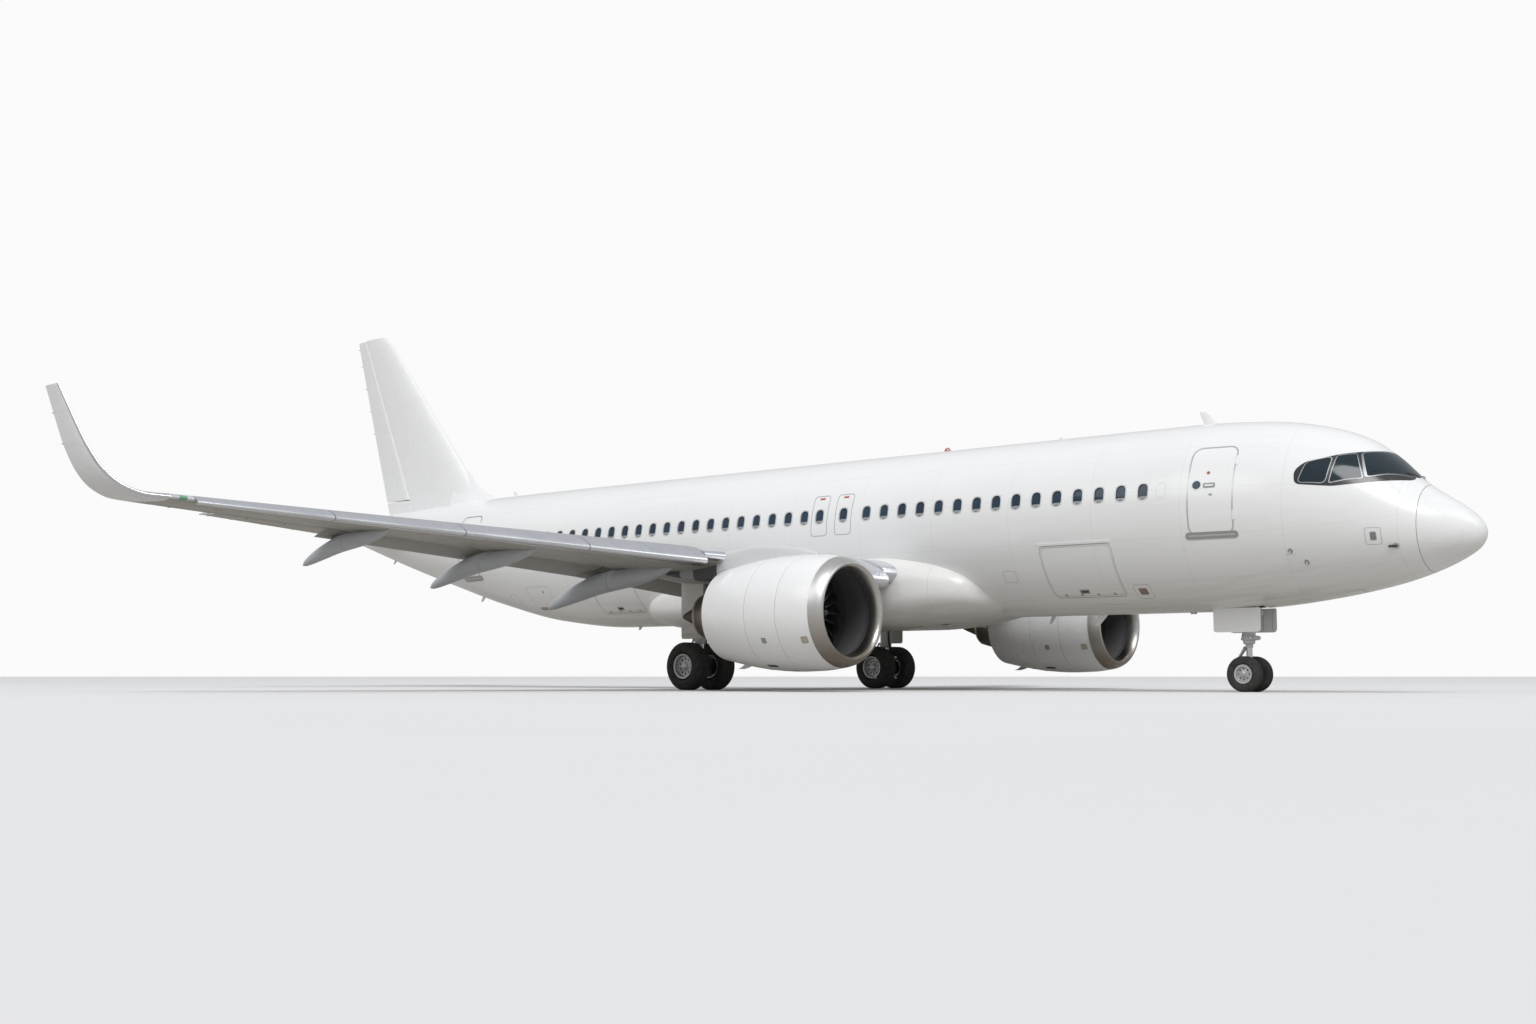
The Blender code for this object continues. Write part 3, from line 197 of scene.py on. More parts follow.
# Where the fixed wing ends ahead of the flaps: rows of side, share of the chord
WING_REAR = ((0.90, 0.862), (1.975, 0.848), (6.40, 0.735), (12.60, 0.735), (16.60, 0.735))
WING_NOSE = (
    (0.14, 1.0),
    (0.105, 0.78),
    (0.07, 0.45),
    (0.055, 0.2),
    (0.05, 0.0),
    (0.055, -0.3),
    (0.07, -0.6),
    (0.10, -0.9),
    (0.12, -1.0),
)
SLATS = (("slat_inboard", 2.45, 5.08, 1), ("slat_outboard", 6.43, 16.16, 4))
SLAT_FORWARD = 0.035
SLAT_DROP = 0.014
SLAT_ANGLE = math.radians(12)
SLAT_JOINT = 0.014
SLAT_INNER = ((0.045, -0.55), (0.035, 0.0), (0.05, 0.45), (0.09, 0.72))
SLAT_UPPER_SHARE = 0.165
SLAT_LOWER_SHARE = 0.06
FLAPS = (("flap_inboard", 2.30, 6.36), ("flap_outboard", 6.40, 12.66))
FLAP_GROWTH = 1.12
FLAP_AFT = 0.10
FLAP_DROP = 0.055
FLAP_ANGLE = math.radians(15)
FLAP_THICKNESS = 0.15
AILERON_SPAN = (12.74, 16.16)
BAY_GAP = 0.035
WING_BREAKS = (6.40, 12.60)
SPOILERS = ((2.75, 4.15), (6.55, 7.95), (8.02, 9.42), (9.49, 10.89), (10.96, 12.36))
# Flap track fairings: side, size
TRACKS = ((6.24, 1.10), (9.35, 0.95), (12.40, 0.80))
TRACK_SHAPE = (
    (-1.75, -0.16, 0.02, 0.02),
    (-1.30, -0.24, 0.12, 0.13),
    (-0.50, -0.33, 0.20, 0.21),
    (0.40, -0.43, 0.21, 0.23),
    (1.20, -0.62, 0.17, 0.20),
    (1.85, -0.82, 0.11, 0.13),
    (2.12, -0.92, 0.06, 0.06),
    (2.20, -0.95, 0.01, 0.01),
)
TRACK_SPLIT = 0.12
# Winglet: rows of side, leading edge, height, chord, lean in degrees
WINGLET = (
    (16.6004, 20.47, 0.071, 1.65, 5.0),
    (16.98, 20.74, 0.120, 1.48, 18.0),
    (17.32, 21.06, 0.300, 1.30, 42.0),
    (17.56, 21.42, 0.640, 1.12, 66.0),
    (17.70, 21.84, 1.150, 0.96, 77.0),
    (17.89, 22.80, 2.500, 0.56, 82.0),
)

# Fin: rows of height, leading edge, chord
FIN = ((1.20, 29.90, 5.38), (2.20, 30.85, 4.78), (7.60, 35.56, 1.80), (7.86, 35.90, 1.52))
FIN_THICKNESS = 0.105
RUDDER_SHARE = 0.70
RUDDER_LIMITS = (2.22, 7.84)
# Fillet ahead of the fin: rows of station, crest height, half width
FILLET = ((29.60, 1.90, 0.02), (30.60, 2.30, 0.07), (31.30, 2.95, 0.12), (31.90, 3.40, 0.13))
FILLET_FOOT = 1.2
# Tailplane: rows of side, leading edge, chord, height
TAILPLANE = ((0.25, 32.05, 3.70, 0.83), (1.10, 32.62, 3.26, 0.92), (6.225, 35.62, 1.28, 1.46))
TAILPLANE_THICKNESS = 0.10
ELEVATOR_SHARE = 0.70
ELEVATOR_SPAN = (1.42, 6.05)

# Engine: centre line, front of the intake lip, and profiles of distance aft and radius
ENGINE_SIDE = 5.755
ENGINE_HEIGHT = -2.18
ENGINE_FRONT = 11.40
ENGINE_COLUMNS = 96
LIP_END = 0.30
COWL_END = 3.50
LIP_PROFILE = (
    (LIP_END, 1.205),
    (0.20, 1.182),
    (0.12, 1.150),
    (0.06, 1.116),
    (0.02, 1.082),
    (0.0, 1.045),
    (0.012, 1.010),
    (0.05, 0.978),
    (0.12, 0.952),
    (0.20, 0.938),
    (LIP_END, 0.935),
)
NACELLE_OUTER = (
    (LIP_END, 1.205),
    (0.75, 1.262),
    (1.45, 1.280),
    (2.20, 1.245),
    (2.90, 1.150),
    (COWL_END, 1.035),
)
NACELLE_INNER = (
    (COWL_END, 1.022),
    (2.70, 1.045),
    (1.60, 1.040),
    (1.42, 1.012),
    (1.00, 1.012),
    (0.60, 0.968),
    (LIP_END, 0.935),
)
NACELLE_SEAMS = (1.15, 2.05)
CORE_OUTER = (
    (1.47, 0.42),
    (1.60, 0.56),
    (2.00, 0.66),
    (2.50, 0.72),
    (3.00, 0.73),
    (3.40, 0.70),
    (3.90, 0.60),
    (4.30, 0.50),
)
CORE_PLUG = ((4.00, 0.34), (4.20, 0.335), (4.40, 0.29), (4.70, 0.18), (5.00, 0.06), (5.03, 0.0))
# Small plates on the cowl: rows of distance aft, degrees above the horizontal, length, height, look
COWL_MARKS = (
    (0.48, -30, 0.13, 0.13, "mark_tan"),
    (1.58, -29, 0.10, 0.10, "mark_grey"),
    (1.83, -66, 0.26, 0.09, "soot"),
)
FAN_PLANE = 1.20
FAN_RADIUS = 0.990
# One blade: rows of radius, chord, stagger in degrees, thickness, sweep aft
FAN_BLADE = (
    (0.25, 0.22, 30, 0.036, 0.00),
    (0.48, 0.30, 39, 0.028, -0.02),
    (0.72, 0.36, 48, 0.020, -0.01),
    (0.88, 0.38, 54, 0.014, 0.02),
    (FAN_RADIUS, 0.34, 58, 0.009, 0.06),
)
SPINNER = ((0.70, 0.0), (0.72, 0.04), (0.78, 0.10), (0.90, 0.19), (1.05, 0.28), (1.40, 0.34), (1.4695, 0.34))
# Pylon: rows of station, low edge, high edge, half width
PYLON = (
    (12.35, -1.10, -0.86, 0.03),
    (12.90, -1.10, -0.72, 0.13),
    (13.90, -1.20, -0.62, 0.20),
    (14.80, -1.32, -0.70, 0.21),
    (15.60, -1.38, -0.80, 0.21),
    (16.60, -1.26, -0.80, 0.17),
    (17.60, -1.05, -0.80, 0.04),
)

# Landing gear
MAIN_STATION = 17.71
MAIN_SIDE = 3.795
MAIN_TYRE = (0.584, 0.43)
MAIN_SPACING = 0.927
NOSE_STATION = 5.07
NOSE_TYRE = (0.385, 0.225)
NOSE_SPACING = 0.50
FACET = math.cos(math.pi / 24)
STEERING_JOINT = 1.02
AXLE_RADIUS = 0.075
NOSE_AXLE_RADIUS = 0.05
NOSE_PAD = (6.35, 0.0)
WING_PAD = (17.00, 4.90)
PAD_RADIUS = 0.07
PAD_DROP = 0.03
# Leg columns: rows of height and radius
MAIN_COLUMN = (
    (1.13, 0.10), (1.14, 0.150), (1.20, 0.168), (1.26, 0.168), (1.28, 0.145), (1.70, 0.145), (1.72, 0.165),
    (1.82, 0.165), (1.84, 0.150), (2.30, 0.155), (2.32, 0.172), (2.44, 0.172), (2.46, 0.155), (2.86, 0.150),
)
NOSE_COLUMN = (
    (STEERING_JOINT + 0.002, 0.10), (STEERING_JOINT + 0.022, 0.125), (1.10, 0.130), (1.11, 0.158),
    (1.20, 0.158), (1.21, 0.140), (1.32, 0.140), (1.33, 0.108), (1.95, 0.108), (1.97, 0.125),
    (2.10, 0.125), (2.12, 0.108), (2.74, 0.105),
)
# Aerials: rows of look, station, chord, height, sweep and whether it stands on the crown
AERIALS = (
    ("white", 5.80, 0.34, 0.34, 0.22),
    ("white", 9.60, 0.20, 0.10, 0.05),
    ("white", 29.05, 0.22, 0.20, 0.12),
    ("white", 8.6, 0.26, 0.26, 0.18, False),
    ("light_grey", 23.6, 0.16, 0.10, 0.06, False),
    ("white", 30.5, 0.20, 0.26, 0.16, False),
    ("light_grey", 35.05, 0.16, 0.20, 0.14, False),
    ("light_grey", 9.9, 0.14, 0.20, 0.12, False),
)


# Places and curves


def place(station, side, height):
    """World point of a station aft of the nose tip, a distance to port and a height."""
    return vec(NOSE_X - station, side, REFERENCE_HEIGHT + height)


def read_curve(rows, at, column):
    """Reads a column of a table by a smooth curve that never passes its neighbours."""
    index = max([0] + [number for number in range(len(rows) - 1) if rows[number][0] <= at])

    def rise(number):
        number = min(max(number, 0), len(rows) - 2)
        return (rows[number + 1][column] - rows[number][column]) / (rows[number + 1][0] - rows[number][0])

    def slope(number):
        before, after = rise(number - 1), rise(number)
        return 0.0 if before * after <= 0 else 2 * before * after / (before + after)

    span = rows[index + 1][0] - rows[index][0]
    share = (at - rows[index][0]) / span
    return (
        (2 * share**3 - 3 * share**2 + 1) * rows[index][column]
        + (share**3 - 2 * share**2 + share) * span * slope(index)
        + (3 * share**2 - 2 * share**3) * rows[index + 1][column]
        + (share**3 - share**2) * span * slope(index + 1)
    )


def read_line(rows, at, column):
    """Reads a column of a table by straight lines."""
    index = max([0] + [number for number in range(len(rows) - 1) if rows[number][0] <= at])
    first, second = rows[index], rows[index + 1]
    share = (at - first[0]) / (second[0] - first[0])
    return first[column] + share * (second[column] - first[column])


def mix(first, second, share):
    return first + (second - first) * share


def smooth(points, steps):
    """A rounder run of points through the given ones, with the given steps between each two."""
    points = [Vector(point) for point in points]
    ends = [points[0]] + points + [points[-1]]
    run = []
    for index in range(len(points) - 1):
        before, start, end, after = ends[index : index + 4]
        for step in range(steps):
            share = step / steps
            run.append(
                0.5
                * (
                    2 * start
                    + (end - before) * share
                    + (2 * before - 5 * start + 4 * end - after) * share**2
                    + (3 * start - before - 3 * end + after) * share**3
                )
            )
    return run + [points[-1]]


def fuselage_key(station):
    """The nose is read by the root of the station, in which its blunt tip is a straight line."""
    return math.sqrt(BARREL_START * max(station, 0.0)) if station < BARREL_START else station


FUSELAGE_ROWS = [(fuselage_key(row[0]),) + row[1:] for row in FUSELAGE]
SIZES_READ = {}


def read_row(rows, at, read=read_curve):
    """Every column of a table after its first."""
    return [read(rows, at, column) for column in range(1, len(rows[0]))]


def vec(*parts):
    return Vector(parts)


def angles(count, shift=0.0):
    """Even steps round a circle."""
    return [2 * math.pi * (step + shift) / count for step in range(count)]


def signed_power(value, power):
    return math.copysign(abs(value) ** power, value)


def curve(rows, steps):
    """Rows of two values with more of them read between each two."""
    return [tuple(point) for point in smooth(rows, steps)]


def fuselage_size(station):
    """Top, height of the widest point, bottom and half width at a station."""
    station = round(station, 5)
    if station not in SIZES_READ:
        SIZES_READ[station] = read_row(FUSELAGE_ROWS, fuselage_key(station))
    return SIZES_READ[station]


def skin_point(station, angle, lift=0.0):
    """A point on the fuselage at an angle from its crown towards port, lifted off the skin."""
    top, widest, bottom, half_width = fuselage_size(station)
    reach = top - widest if math.cos(angle) > 0 else widest - bottom
    return place(station, (half_width + lift) * math.sin(angle), widest + (reach + lift) * math.cos(angle))


def skin_angle(station, height):
    """The angle from the crown of the skin's point at a height."""
    top, widest, bottom, _ = fuselage_size(station)
    reach = top - widest if height > widest else widest - bottom
    return math.acos(max(-1.0, min(1.0, (height - widest) / reach)))


def side_point(station, height, side, lift=0.0):
    return skin_point(station, side * skin_angle(station, height), lift)


def belly_point(station, side, lift=0.0, top=False):
    """A point on the fuselage's underside, or on its crown, at a distance to port."""
    half_width = fuselage_size(station)[3]
    angle = math.asin(max(-1.0, min(1.0, side / half_width)))
    return skin_point(station, angle if top else math.pi - angle, lift)


# Shapes


def outward(shape):
    """Turns the faces of every closed part of a shape outward."""
    bmesh.ops.recalc_face_normals(shape, faces=shape.faces)
    left = set(shape.faces)
    while left:
        island, front = [], [left.pop()]
        closed, volume = True, 0.0
        while front:
            face = front.pop()
            island.append(face)
            corners = [vertex.co for vertex in face.verts]
            for second, third in zip(corners[1:], corners[2:]):
                volume += corners[0].dot(second.cross(third))
            for edge in face.edges:
                closed = closed and len(edge.link_faces) == 2
                for other in edge.link_faces:
                    if other in left:
                        left.remove(other)
                        front.append(other)
        if closed and volume < 0:
            bmesh.ops.reverse_faces(shape, faces=island)


def sheet(rows, columns, point, around=False, caps=True, choose=None):
    """A surface through rows and columns of points; with around, the columns close into loops."""
    shape = bmesh.new()
    bmesh.ops.create_grid(shape, x_segments=columns, y_segments=rows, size=0.5)
    if choose:
        for face in shape.faces:
            middle = face.calc_center_median()
            face.material_index = choose(int((middle.y + 0.5) * rows), int((middle.x + 0.5) * columns))
    for vertex in shape.verts:
        row = round((vertex.co.y + 0.5) * rows)
        column = round((vertex.co.x + 0.5) * columns)
        vertex.co = point(row, column % columns if around else column)
    bmesh.ops.remove_doubles(shape, verts=shape.verts, dist=1e-5)
    if caps:
        edges = [edge for edge in shape.edges if len(edge.link_faces) == 1]
        if edges:
            bmesh.ops.holes_fill(shape, edges=edges, sides=0)
    outward(shape)
    return shape


def lofted(rings, choose=None):
    """A closed body through rings that each have the same number of points."""
    return sheet(len(rings) - 1, len(rings[0]), lambda row, column: rings[row][column], True, True, choose)


def revolved(rows, steps, place_at, choose=None, caps=False, shift=0.0):
    """A body turned about an axis: place_at makes a point from a row's two values, a sine and a cosine."""
    turns = [(math.sin(angle), math.cos(angle)) for angle in angles(steps, shift)]
    return sheet(
        len(rows) - 1, steps, lambda row, column: place_at(*rows[row], *turns[column]), True, caps, choose
    )


def turned(profile, steps=ENGINE_COLUMNS, choose=None, closed=True):
    """A body turned about the X axis: rows of distance aft and radius."""
    rows = list(profile) + ([profile[0]] if closed else [])
    return revolved(
        rows, steps, lambda aft, r, sine, cosine: vec(-aft, r * sine, r * cosine), choose, not closed
    )


def flat_face(points, radius=0.0, steps=4):
    """A face in the XY plane, with its corners rounded."""
    shape = bmesh.new()
    corners = [shape.verts.new((x, y, 0)) for x, y in points]
    shape.faces.new(corners)
    if radius:
        bevel(shape, corners, radius, "VERTICES", steps)
    return shape


def thicken(shape, low, high):
    """Gives a flat face or ring a thickness along Z."""
    bmesh.ops.translate(shape, verts=shape.verts, vec=(0, 0, low))
    made = bmesh.ops.extrude_face_region(shape, geom=shape.faces[:])
    raised = [item for item in made["geom"] if isinstance(item, bmesh.types.BMVert)]
    bmesh.ops.translate(shape, verts=raised, vec=(0, 0, high - low))
    outward(shape)
    return shape


def plate(points, radius, low, high, steps=4):
    return thicken(flat_face(points, radius, steps), low, high)


def hoop(points, radius, width, low, high, steps=4):
    """A flat ring that follows an outline, inside it."""
    shape = flat_face(points, radius, steps)
    inner = shape.faces[:]
    bmesh.ops.inset_individual(shape, faces=inner, thickness=width, use_even_offset=True)
    bmesh.ops.delete(shape, geom=inner, context="FACES_ONLY")
    return thicken(shape, low, high)


def bevel(shape, geometry, offset, affect, segments):
    bmesh.ops.bevel(
        shape, geom=geometry, offset=offset, affect=affect, segments=segments, profile=0.5, material=-1
    )


def rectangle(width, height, x=0.0, y=0.0):
    """The corners of a rectangle about a middle point."""
    right, up = width / 2, height / 2
    return [(x - right, y - up), (x + right, y - up), (x + right, y + up), (x - right, y + up)]


def sliced(shape, step_x=None, step_y=None):
    """Cuts a shape by evenly spaced planes, so that it can follow a curved skin."""
    for axis, step in ((0, step_x), (1, step_y)):
        if not step:
            continue
        values = [vertex.co[axis] for vertex in shape.verts]
        low, high = min(values), max(values)
        count = max(1, round((high - low) / step))
        normal = vec(1, 0, 0) if axis == 0 else vec(0, 1, 0)
        for number in range(1, count):
            bmesh.ops.bisect_plane(
                shape,
                geom=shape.verts[:] + shape.edges[:] + shape.faces[:],
                dist=1e-6,
                plane_co=normal * mix(low, high, number / count),
                plane_no=normal,
            )
    return shape


def bent(shape, function):
    """Moves each point of a flat shape by a function of its x, y and z."""
    for vertex in shape.verts:
        vertex.co = function(*vertex.co)
    outward(shape)
    return shape


def on_side(shape, side, station=0.0, height=0.0):
    """Lays a flat shape on the fuselage's side: x runs aft, y up and z out of the skin."""
    sliced(shape, 0.25, 0.06)
    return bent(shape, lambda x, y, z: side_point(station + x, height + y, side, z))


def flat_parts(rows, lay):
    """Flat parts laid by a function, from rows of look, width, height, x, y, corner radius, low and high.

    A ring has its width as well. A disc has its radius for a width and None for a height.
    """
    parts = []
    for own, width, height, x, y, radius, low, high, *ring in rows:
        if height is None:
            shape = disc(width, low, high, x, y)
        elif ring:
            shape = hoop(rectangle(width, height, x, y), radius, *ring, low, high)
        else:
            shape = plate(rectangle(width, height, x, y), radius, low, high)
        parts.append((lay(shape), own))
    return parts


def block(low, high, bevelled=0.0, segments=2):
    """A box between two corners with its edges rounded."""
    low, high = Vector(low), Vector(high)
    shape = bmesh.new()
    bmesh.ops.create_cube(
        shape, size=1.0, matrix=Matrix.Translation((low + high) / 2) @ Matrix.Diagonal((*(high - low), 1))
    )
    if bevelled:
        bevel(shape, shape.edges[:], bevelled, "EDGES", segments)
    return shape


def brick(low, size, bevelled=0.0):
    return block(low, low + Vector(size), bevelled)


def rod(start, end, radius, steps=20, end_radius=None):
    """A round bar or cone between two points."""
    start, end = Vector(start), Vector(end)
    turn = (end - start).to_track_quat("Z", "Y").to_matrix().to_4x4()
    shape = bmesh.new()
    bmesh.ops.create_cone(
        shape, cap_ends=True, segments=steps, radius1=radius,
        radius2=radius if end_radius is None else end_radius,
        depth=(end - start).length, matrix=Matrix.Translation((start + end) / 2) @ turn,
    )
    return shape


def stub(foot, reach, radius, steps=20, end_radius=None):
    """A rod from a point along a vector."""
    return rod(foot, foot + Vector(reach), radius, steps, end_radius)


def pin(middle, reach, radius, steps=20):
    """A rod that reaches as far to both sides of its middle."""
    return rod(middle - reach, middle + reach, radius, steps)


def hose(points, radius, steps=10):
    """A round hose or bar along a smooth run of points."""
    run = smooth(points, 6)
    rings = []
    for index, point in enumerate(run):
        along = run[min(index + 1, len(run) - 1)] - run[max(index - 1, 0)]
        turn = along.to_track_quat("Z", "Y")
        rings.append(
            [point + turn @ vec(math.cos(angle), math.sin(angle), 0) * radius for angle in angles(steps)]
        )
    return lofted(rings)


def moved(shape, matrix):
    bmesh.ops.transform(shape, matrix=matrix, verts=shape.verts)
    return shape


def shifted(shape, vector):
    return moved(shape, Matrix.Translation(vector))


def add_object(name, data):
    made = bpy.data.objects.new(name, data)
    bpy.context.scene.collection.objects.link(made)
    return made


def mesh_of(shape, name="scratch"):
    """A mesh made from a shape, which is used up."""
    mesh = bpy.data.meshes.new(name)
    shape.to_mesh(mesh)
    shape.free()
    return mesh


def scratch_object(shape):
    """A bare object for one Boolean, with slots that keep the faces' material numbers."""
    mesh = mesh_of(shape)
    for _ in range(8):
        mesh.materials.append(None)
    return add_object("scratch", mesh)


def cut(shape, tool, operation="DIFFERENCE"):
    """Cuts or intersects one closed shape with another; both are used up."""
    target, cutter = scratch_object(shape), scratch_object(tool)
    modifier = target.modifiers.new("cut", "BOOLEAN")
    modifier.operation = operation
    modifier.solver = "EXACT"
    modifier.object = cutter
    bpy.context.view_layer.update()
    graph = bpy.context.evaluated_depsgraph_get()
    result = bmesh.new()
    result.from_mesh(target.evaluated_get(graph).data)
    for used in (target, cutter):
        mesh = used.data
        bpy.data.objects.remove(used)
        bpy.data.meshes.remove(mesh)
    if not result.faces:
        raise RuntimeError("a cut left nothing")
    return result


def merged(shapes):
    """One mesh that holds several shapes."""
    whole = bmesh.new()
    for shape in shapes:
        mesh = mesh_of(shape)
        whole.from_mesh(mesh)
        bpy.data.meshes.remove(mesh)
    return whole


def numbered(shape, number):
    """The shape with all its faces on one material number."""
    for face in shape.faces:
        face.material_index = number
    return shape


def mirrored(shape):
    bmesh.ops.scale(shape, vec=(1, -1, 1), verts=shape.verts)
    bmesh.ops.reverse_faces(shape, faces=shape.faces)
    return shape


def piece(name, parts, body="airframe", nodes=(), slot="white_paint", mirror=False):
    """Makes one named object from pairs of a shape and the name or names of its looks."""
    looks = []
    for shape, own in parts:
        own = [own] if isinstance(own, str) else own
        for one in own:
            if one not in looks:
                looks.append(one)
        for face in shape.faces:
            face.material_index = looks.index(own[min(face.material_index, len(own) - 1)])
    whole = merged(shape for shape, _ in parts)
    mesh = mesh_of(mirrored(whole) if mirror else whole, name)
    for one in looks:
        mesh.materials.append(look(one))
    mesh.shade_smooth()
    mesh.set_sharp_from_angle(angle=SHARP_ANGLE)
    made = add_object(name, mesh)
    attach(made, body)
    if nodes:
        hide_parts(*nodes)


def pair(*facts):
    """A step that makes a port piece and its twin."""
    return lambda: both(*facts)


def both(name, build, node=None, slot="white_paint", body="airframe"):
    """A port piece and its starboard twin; {} in a body or node name stands for the side."""
    for _, end in SIDES:
        nodes = [node.format(end)] if node else []
        piece(f"{name}_{end}", build(), body.format(end), nodes, slot, mirror=end == "right")


# Node helpers


def feed(tree, value, socket):
    if isinstance(value, bpy.types.NodeSocket):
        tree.links.new(value, socket)
    else:
        socket.default_value = value


def node(tree, kind, inputs=None, **settings):
    made = tree.nodes.new("ShaderNode" + kind)
    for name, value in settings.items():
        setattr(made, name, value)
    for name, value in (inputs or {}).items():
        feed(tree, value, made.inputs[name])
    return made


def sums(tree, operation, first, second=0.0):
    return node(tree, "Math", {0: first, 1: second}, operation=operation).outputs[0]


def ranged(tree, value, low, high, start=0.0, end=1.0):
    """Maps a value from one range to another and holds it there."""
    inputs = {"Value": value, "From Min": low, "From Max": high, "To Min": start, "To Max": end}
    return node(tree, "MapRange", inputs).outputs[0]


def blended(tree, factor, first, second):
    inputs = {0: factor, 6: first, 7: second}
    return node(tree, "Mix", inputs, data_type="RGBA").outputs[2]


def noise(tree, vector, scale, detail=4.0, roughness=0.55, distortion=0.0):
    inputs = {
        "Vector": vector,
        "Scale": scale,
        "Detail": detail,
        "Roughness": roughness,
        "Distortion": distortion,
    }
    return node(tree, "TexNoise", inputs).outputs[0]


def stretched(tree, vector, scale):
    return node(tree, "VectorMath", {0: vector, 1: scale}, operation="MULTIPLY").outputs[0]


def parted(tree, vector):
    return node(tree, "SeparateXYZ", {0: vector}).outputs


def opaque(colour):
    return (*colour, 1.0) if len(colour) == 3 else tuple(colour)


GROUPS = {}


def new_group(name, inputs, kind, outputs):
    """A node group with its sockets; gives its tree, its start's outputs and its end's inputs."""
    tree = bpy.data.node_groups.new(name, "ShaderNodeTree")
    for socket in inputs:
        tree.interface.new_socket(socket, in_out="INPUT", socket_type=kind)
    for socket in outputs:
        tree.interface.new_socket(socket, in_out="OUTPUT", socket_type="NodeSocketFloat")
    start, end = tree.nodes.new("NodeGroupInput"), tree.nodes.new("NodeGroupOutput")
    GROUPS[name] = tree
    return tree, start.outputs, end.inputs


def weathering_group():
    """Masks of dirt drawn out along the airflow, of soft blotches and of fine grain."""
    tree, given, ends = new_group(
        "Weathering", ("Vector",), "NodeSocketVector", ("Streaks", "Blotches", "Grain")
    )
    vector = given[0]
    drawn = noise(tree, stretched(tree, vector, (0.22, 3.2, 3.2)), 1.6, 6.0, 0.62, 0.4)
    soft = noise(tree, vector, 0.55, 3.0, 0.5)
    streaks = sums(
        tree, "MULTIPLY", ranged(tree, drawn, 0.46, 0.74), ranged(tree, soft, 0.35, 0.65, 0.35, 1.0)
    )
    tree.links.new(streaks, ends[0])
    tree.links.new(ranged(tree, noise(tree, vector, 0.7, 3.0, 0.5), 0.25, 0.75), ends[1])
    tree.links.new(noise(tree, vector, 42.0, 3.0, 0.6), ends[2])
    return tree


def seams_group():
    """A mask of thin lines at an even pitch along a value."""
    tree, given, ends = new_group(
        "Seam lines", ("Value", "Pitch", "Shift", "Width"), "NodeSocketFloat", ("Mask",)
    )
    value, pitch, shift, width = given[:4]
    share = sums(tree, "FRACT", sums(tree, "DIVIDE", sums(tree, "SUBTRACT", value, shift), pitch))
    middle = sums(tree, "ABSOLUTE", sums(tree, "SUBTRACT", share, 0.5))
    distance = sums(tree, "MULTIPLY", sums(tree, "SUBTRACT", 0.5, middle), pitch)
    mask = ranged(tree, distance, sums(tree, "MULTIPLY", width, 0.5), width, 1.0, 0.0)
    tree.links.new(mask, ends[0])
    return tree


def seam_mask(tree, value, pitch, shift, width):
    inputs = {"Value": value, "Pitch": pitch, "Shift": shift, "Width": width}
    return node(tree, "Group", inputs, node_tree=GROUPS.get("Seam lines") or seams_group()).outputs[0]


def new_material(name):
    material = bpy.data.materials.new(name)
    material.use_nodes = True
    tree = material.node_tree
    shader = tree.nodes["Principled BSDF"]
    return material, tree, shader, node(tree, "TexCoord").outputs["Object"]


def weather(tree, vector):
    group = GROUPS.get("Weathering") or weathering_group()
    return node(tree, "Group", {"Vector": vector}, node_tree=group).outputs[:3]


def finish_surface(tree, shader, colour, roughness, blotches, grain, lines=None, bump=0.12, spread=0.1):
    """Joins the colour, an uneven gloss and a fine relief to the shader."""
    tree.links.new(colour, shader.inputs["Base Color"])
    uneven = ranged(tree, blotches, 0.0, 1.0, max(0.02, roughness - spread / 2), roughness + spread)
    tree.links.new(uneven, shader.inputs["Roughness"])
    height = sums(tree, "MULTIPLY", grain, 0.15)
    if lines is not None:
        height = sums(tree, "SUBTRACT", height, lines)
    inputs = {"Strength": bump, "Distance": 0.004, "Height": height}
    tree.links.new(node(tree, "Bump", inputs).outputs[0], shader.inputs["Normal"])


def paint(
    name, colour, roughness, dirt=0.25, dirt_colour=(0.42, 0.39, 0.34), metallic=0.0, coat=0.0,
    seams=(), seam_depth=0.35, belly=None, bump=0.12, spread=0.1
):
    """Weathered paint; seams are rows of axis number, pitch, shift and width.

    A colour given as a name is one of the add-on's settings. Belly is a start, an end and a colour below,
    which is partly grime and partly painted shade.
    """
    colour = getattr(settings(), colour) if isinstance(colour, str) else colour
    material, tree, shader, vector = new_material(name)
    streaks, blotches, grain = weather(tree, vector)
    made = blended(tree, sums(tree, "MULTIPLY", streaks, dirt), opaque(colour), opaque(dirt_colour))
    pale = [min(1.0, part * 1.05) for part in colour]
    made = blended(tree, sums(tree, "MULTIPLY", blotches, 0.3), made, opaque(pale))
    # Darker and browner towards the bottom: partly grime, partly painted shade of the underside
    if belly:
        start, end, underside_grime_and_shade_colour = belly
        low = ranged(tree, parted(tree, vector)[2], start, end)
        share = sums(tree, "MULTIPLY", low, ranged(tree, streaks, 0.0, 1.0, 0.35, 1.0))
        made = blended(tree, share, made, opaque(underside_grime_and_shade_colour))
    lines = None
    if seams:
        places = parted(tree, vector)
        for axis, pitch, shift, width in seams:
            if axis < 3:
                value = places[axis]
            else:
                raised = sums(tree, "SUBTRACT", places[2], REFERENCE_HEIGHT)
                value = sums(tree, "ARCTAN2", places[1], raised)
            mask = seam_mask(tree, value, pitch, shift, width)
            lines = mask if lines is None else sums(tree, "MAXIMUM", lines, mask)
        dark = [part * 0.45 for part in colour]
        made = blended(tree, sums(tree, "MULTIPLY", lines, seam_depth), made, opaque(dark))
    finish_surface(tree, shader, made, roughness, blotches, grain, lines, bump, spread)
    shader.inputs["Metallic"].default_value = metallic
    shader.inputs["Coat Weight"].default_value = coat
    shader.inputs["Coat Roughness"].default_value = 0.12
    return material


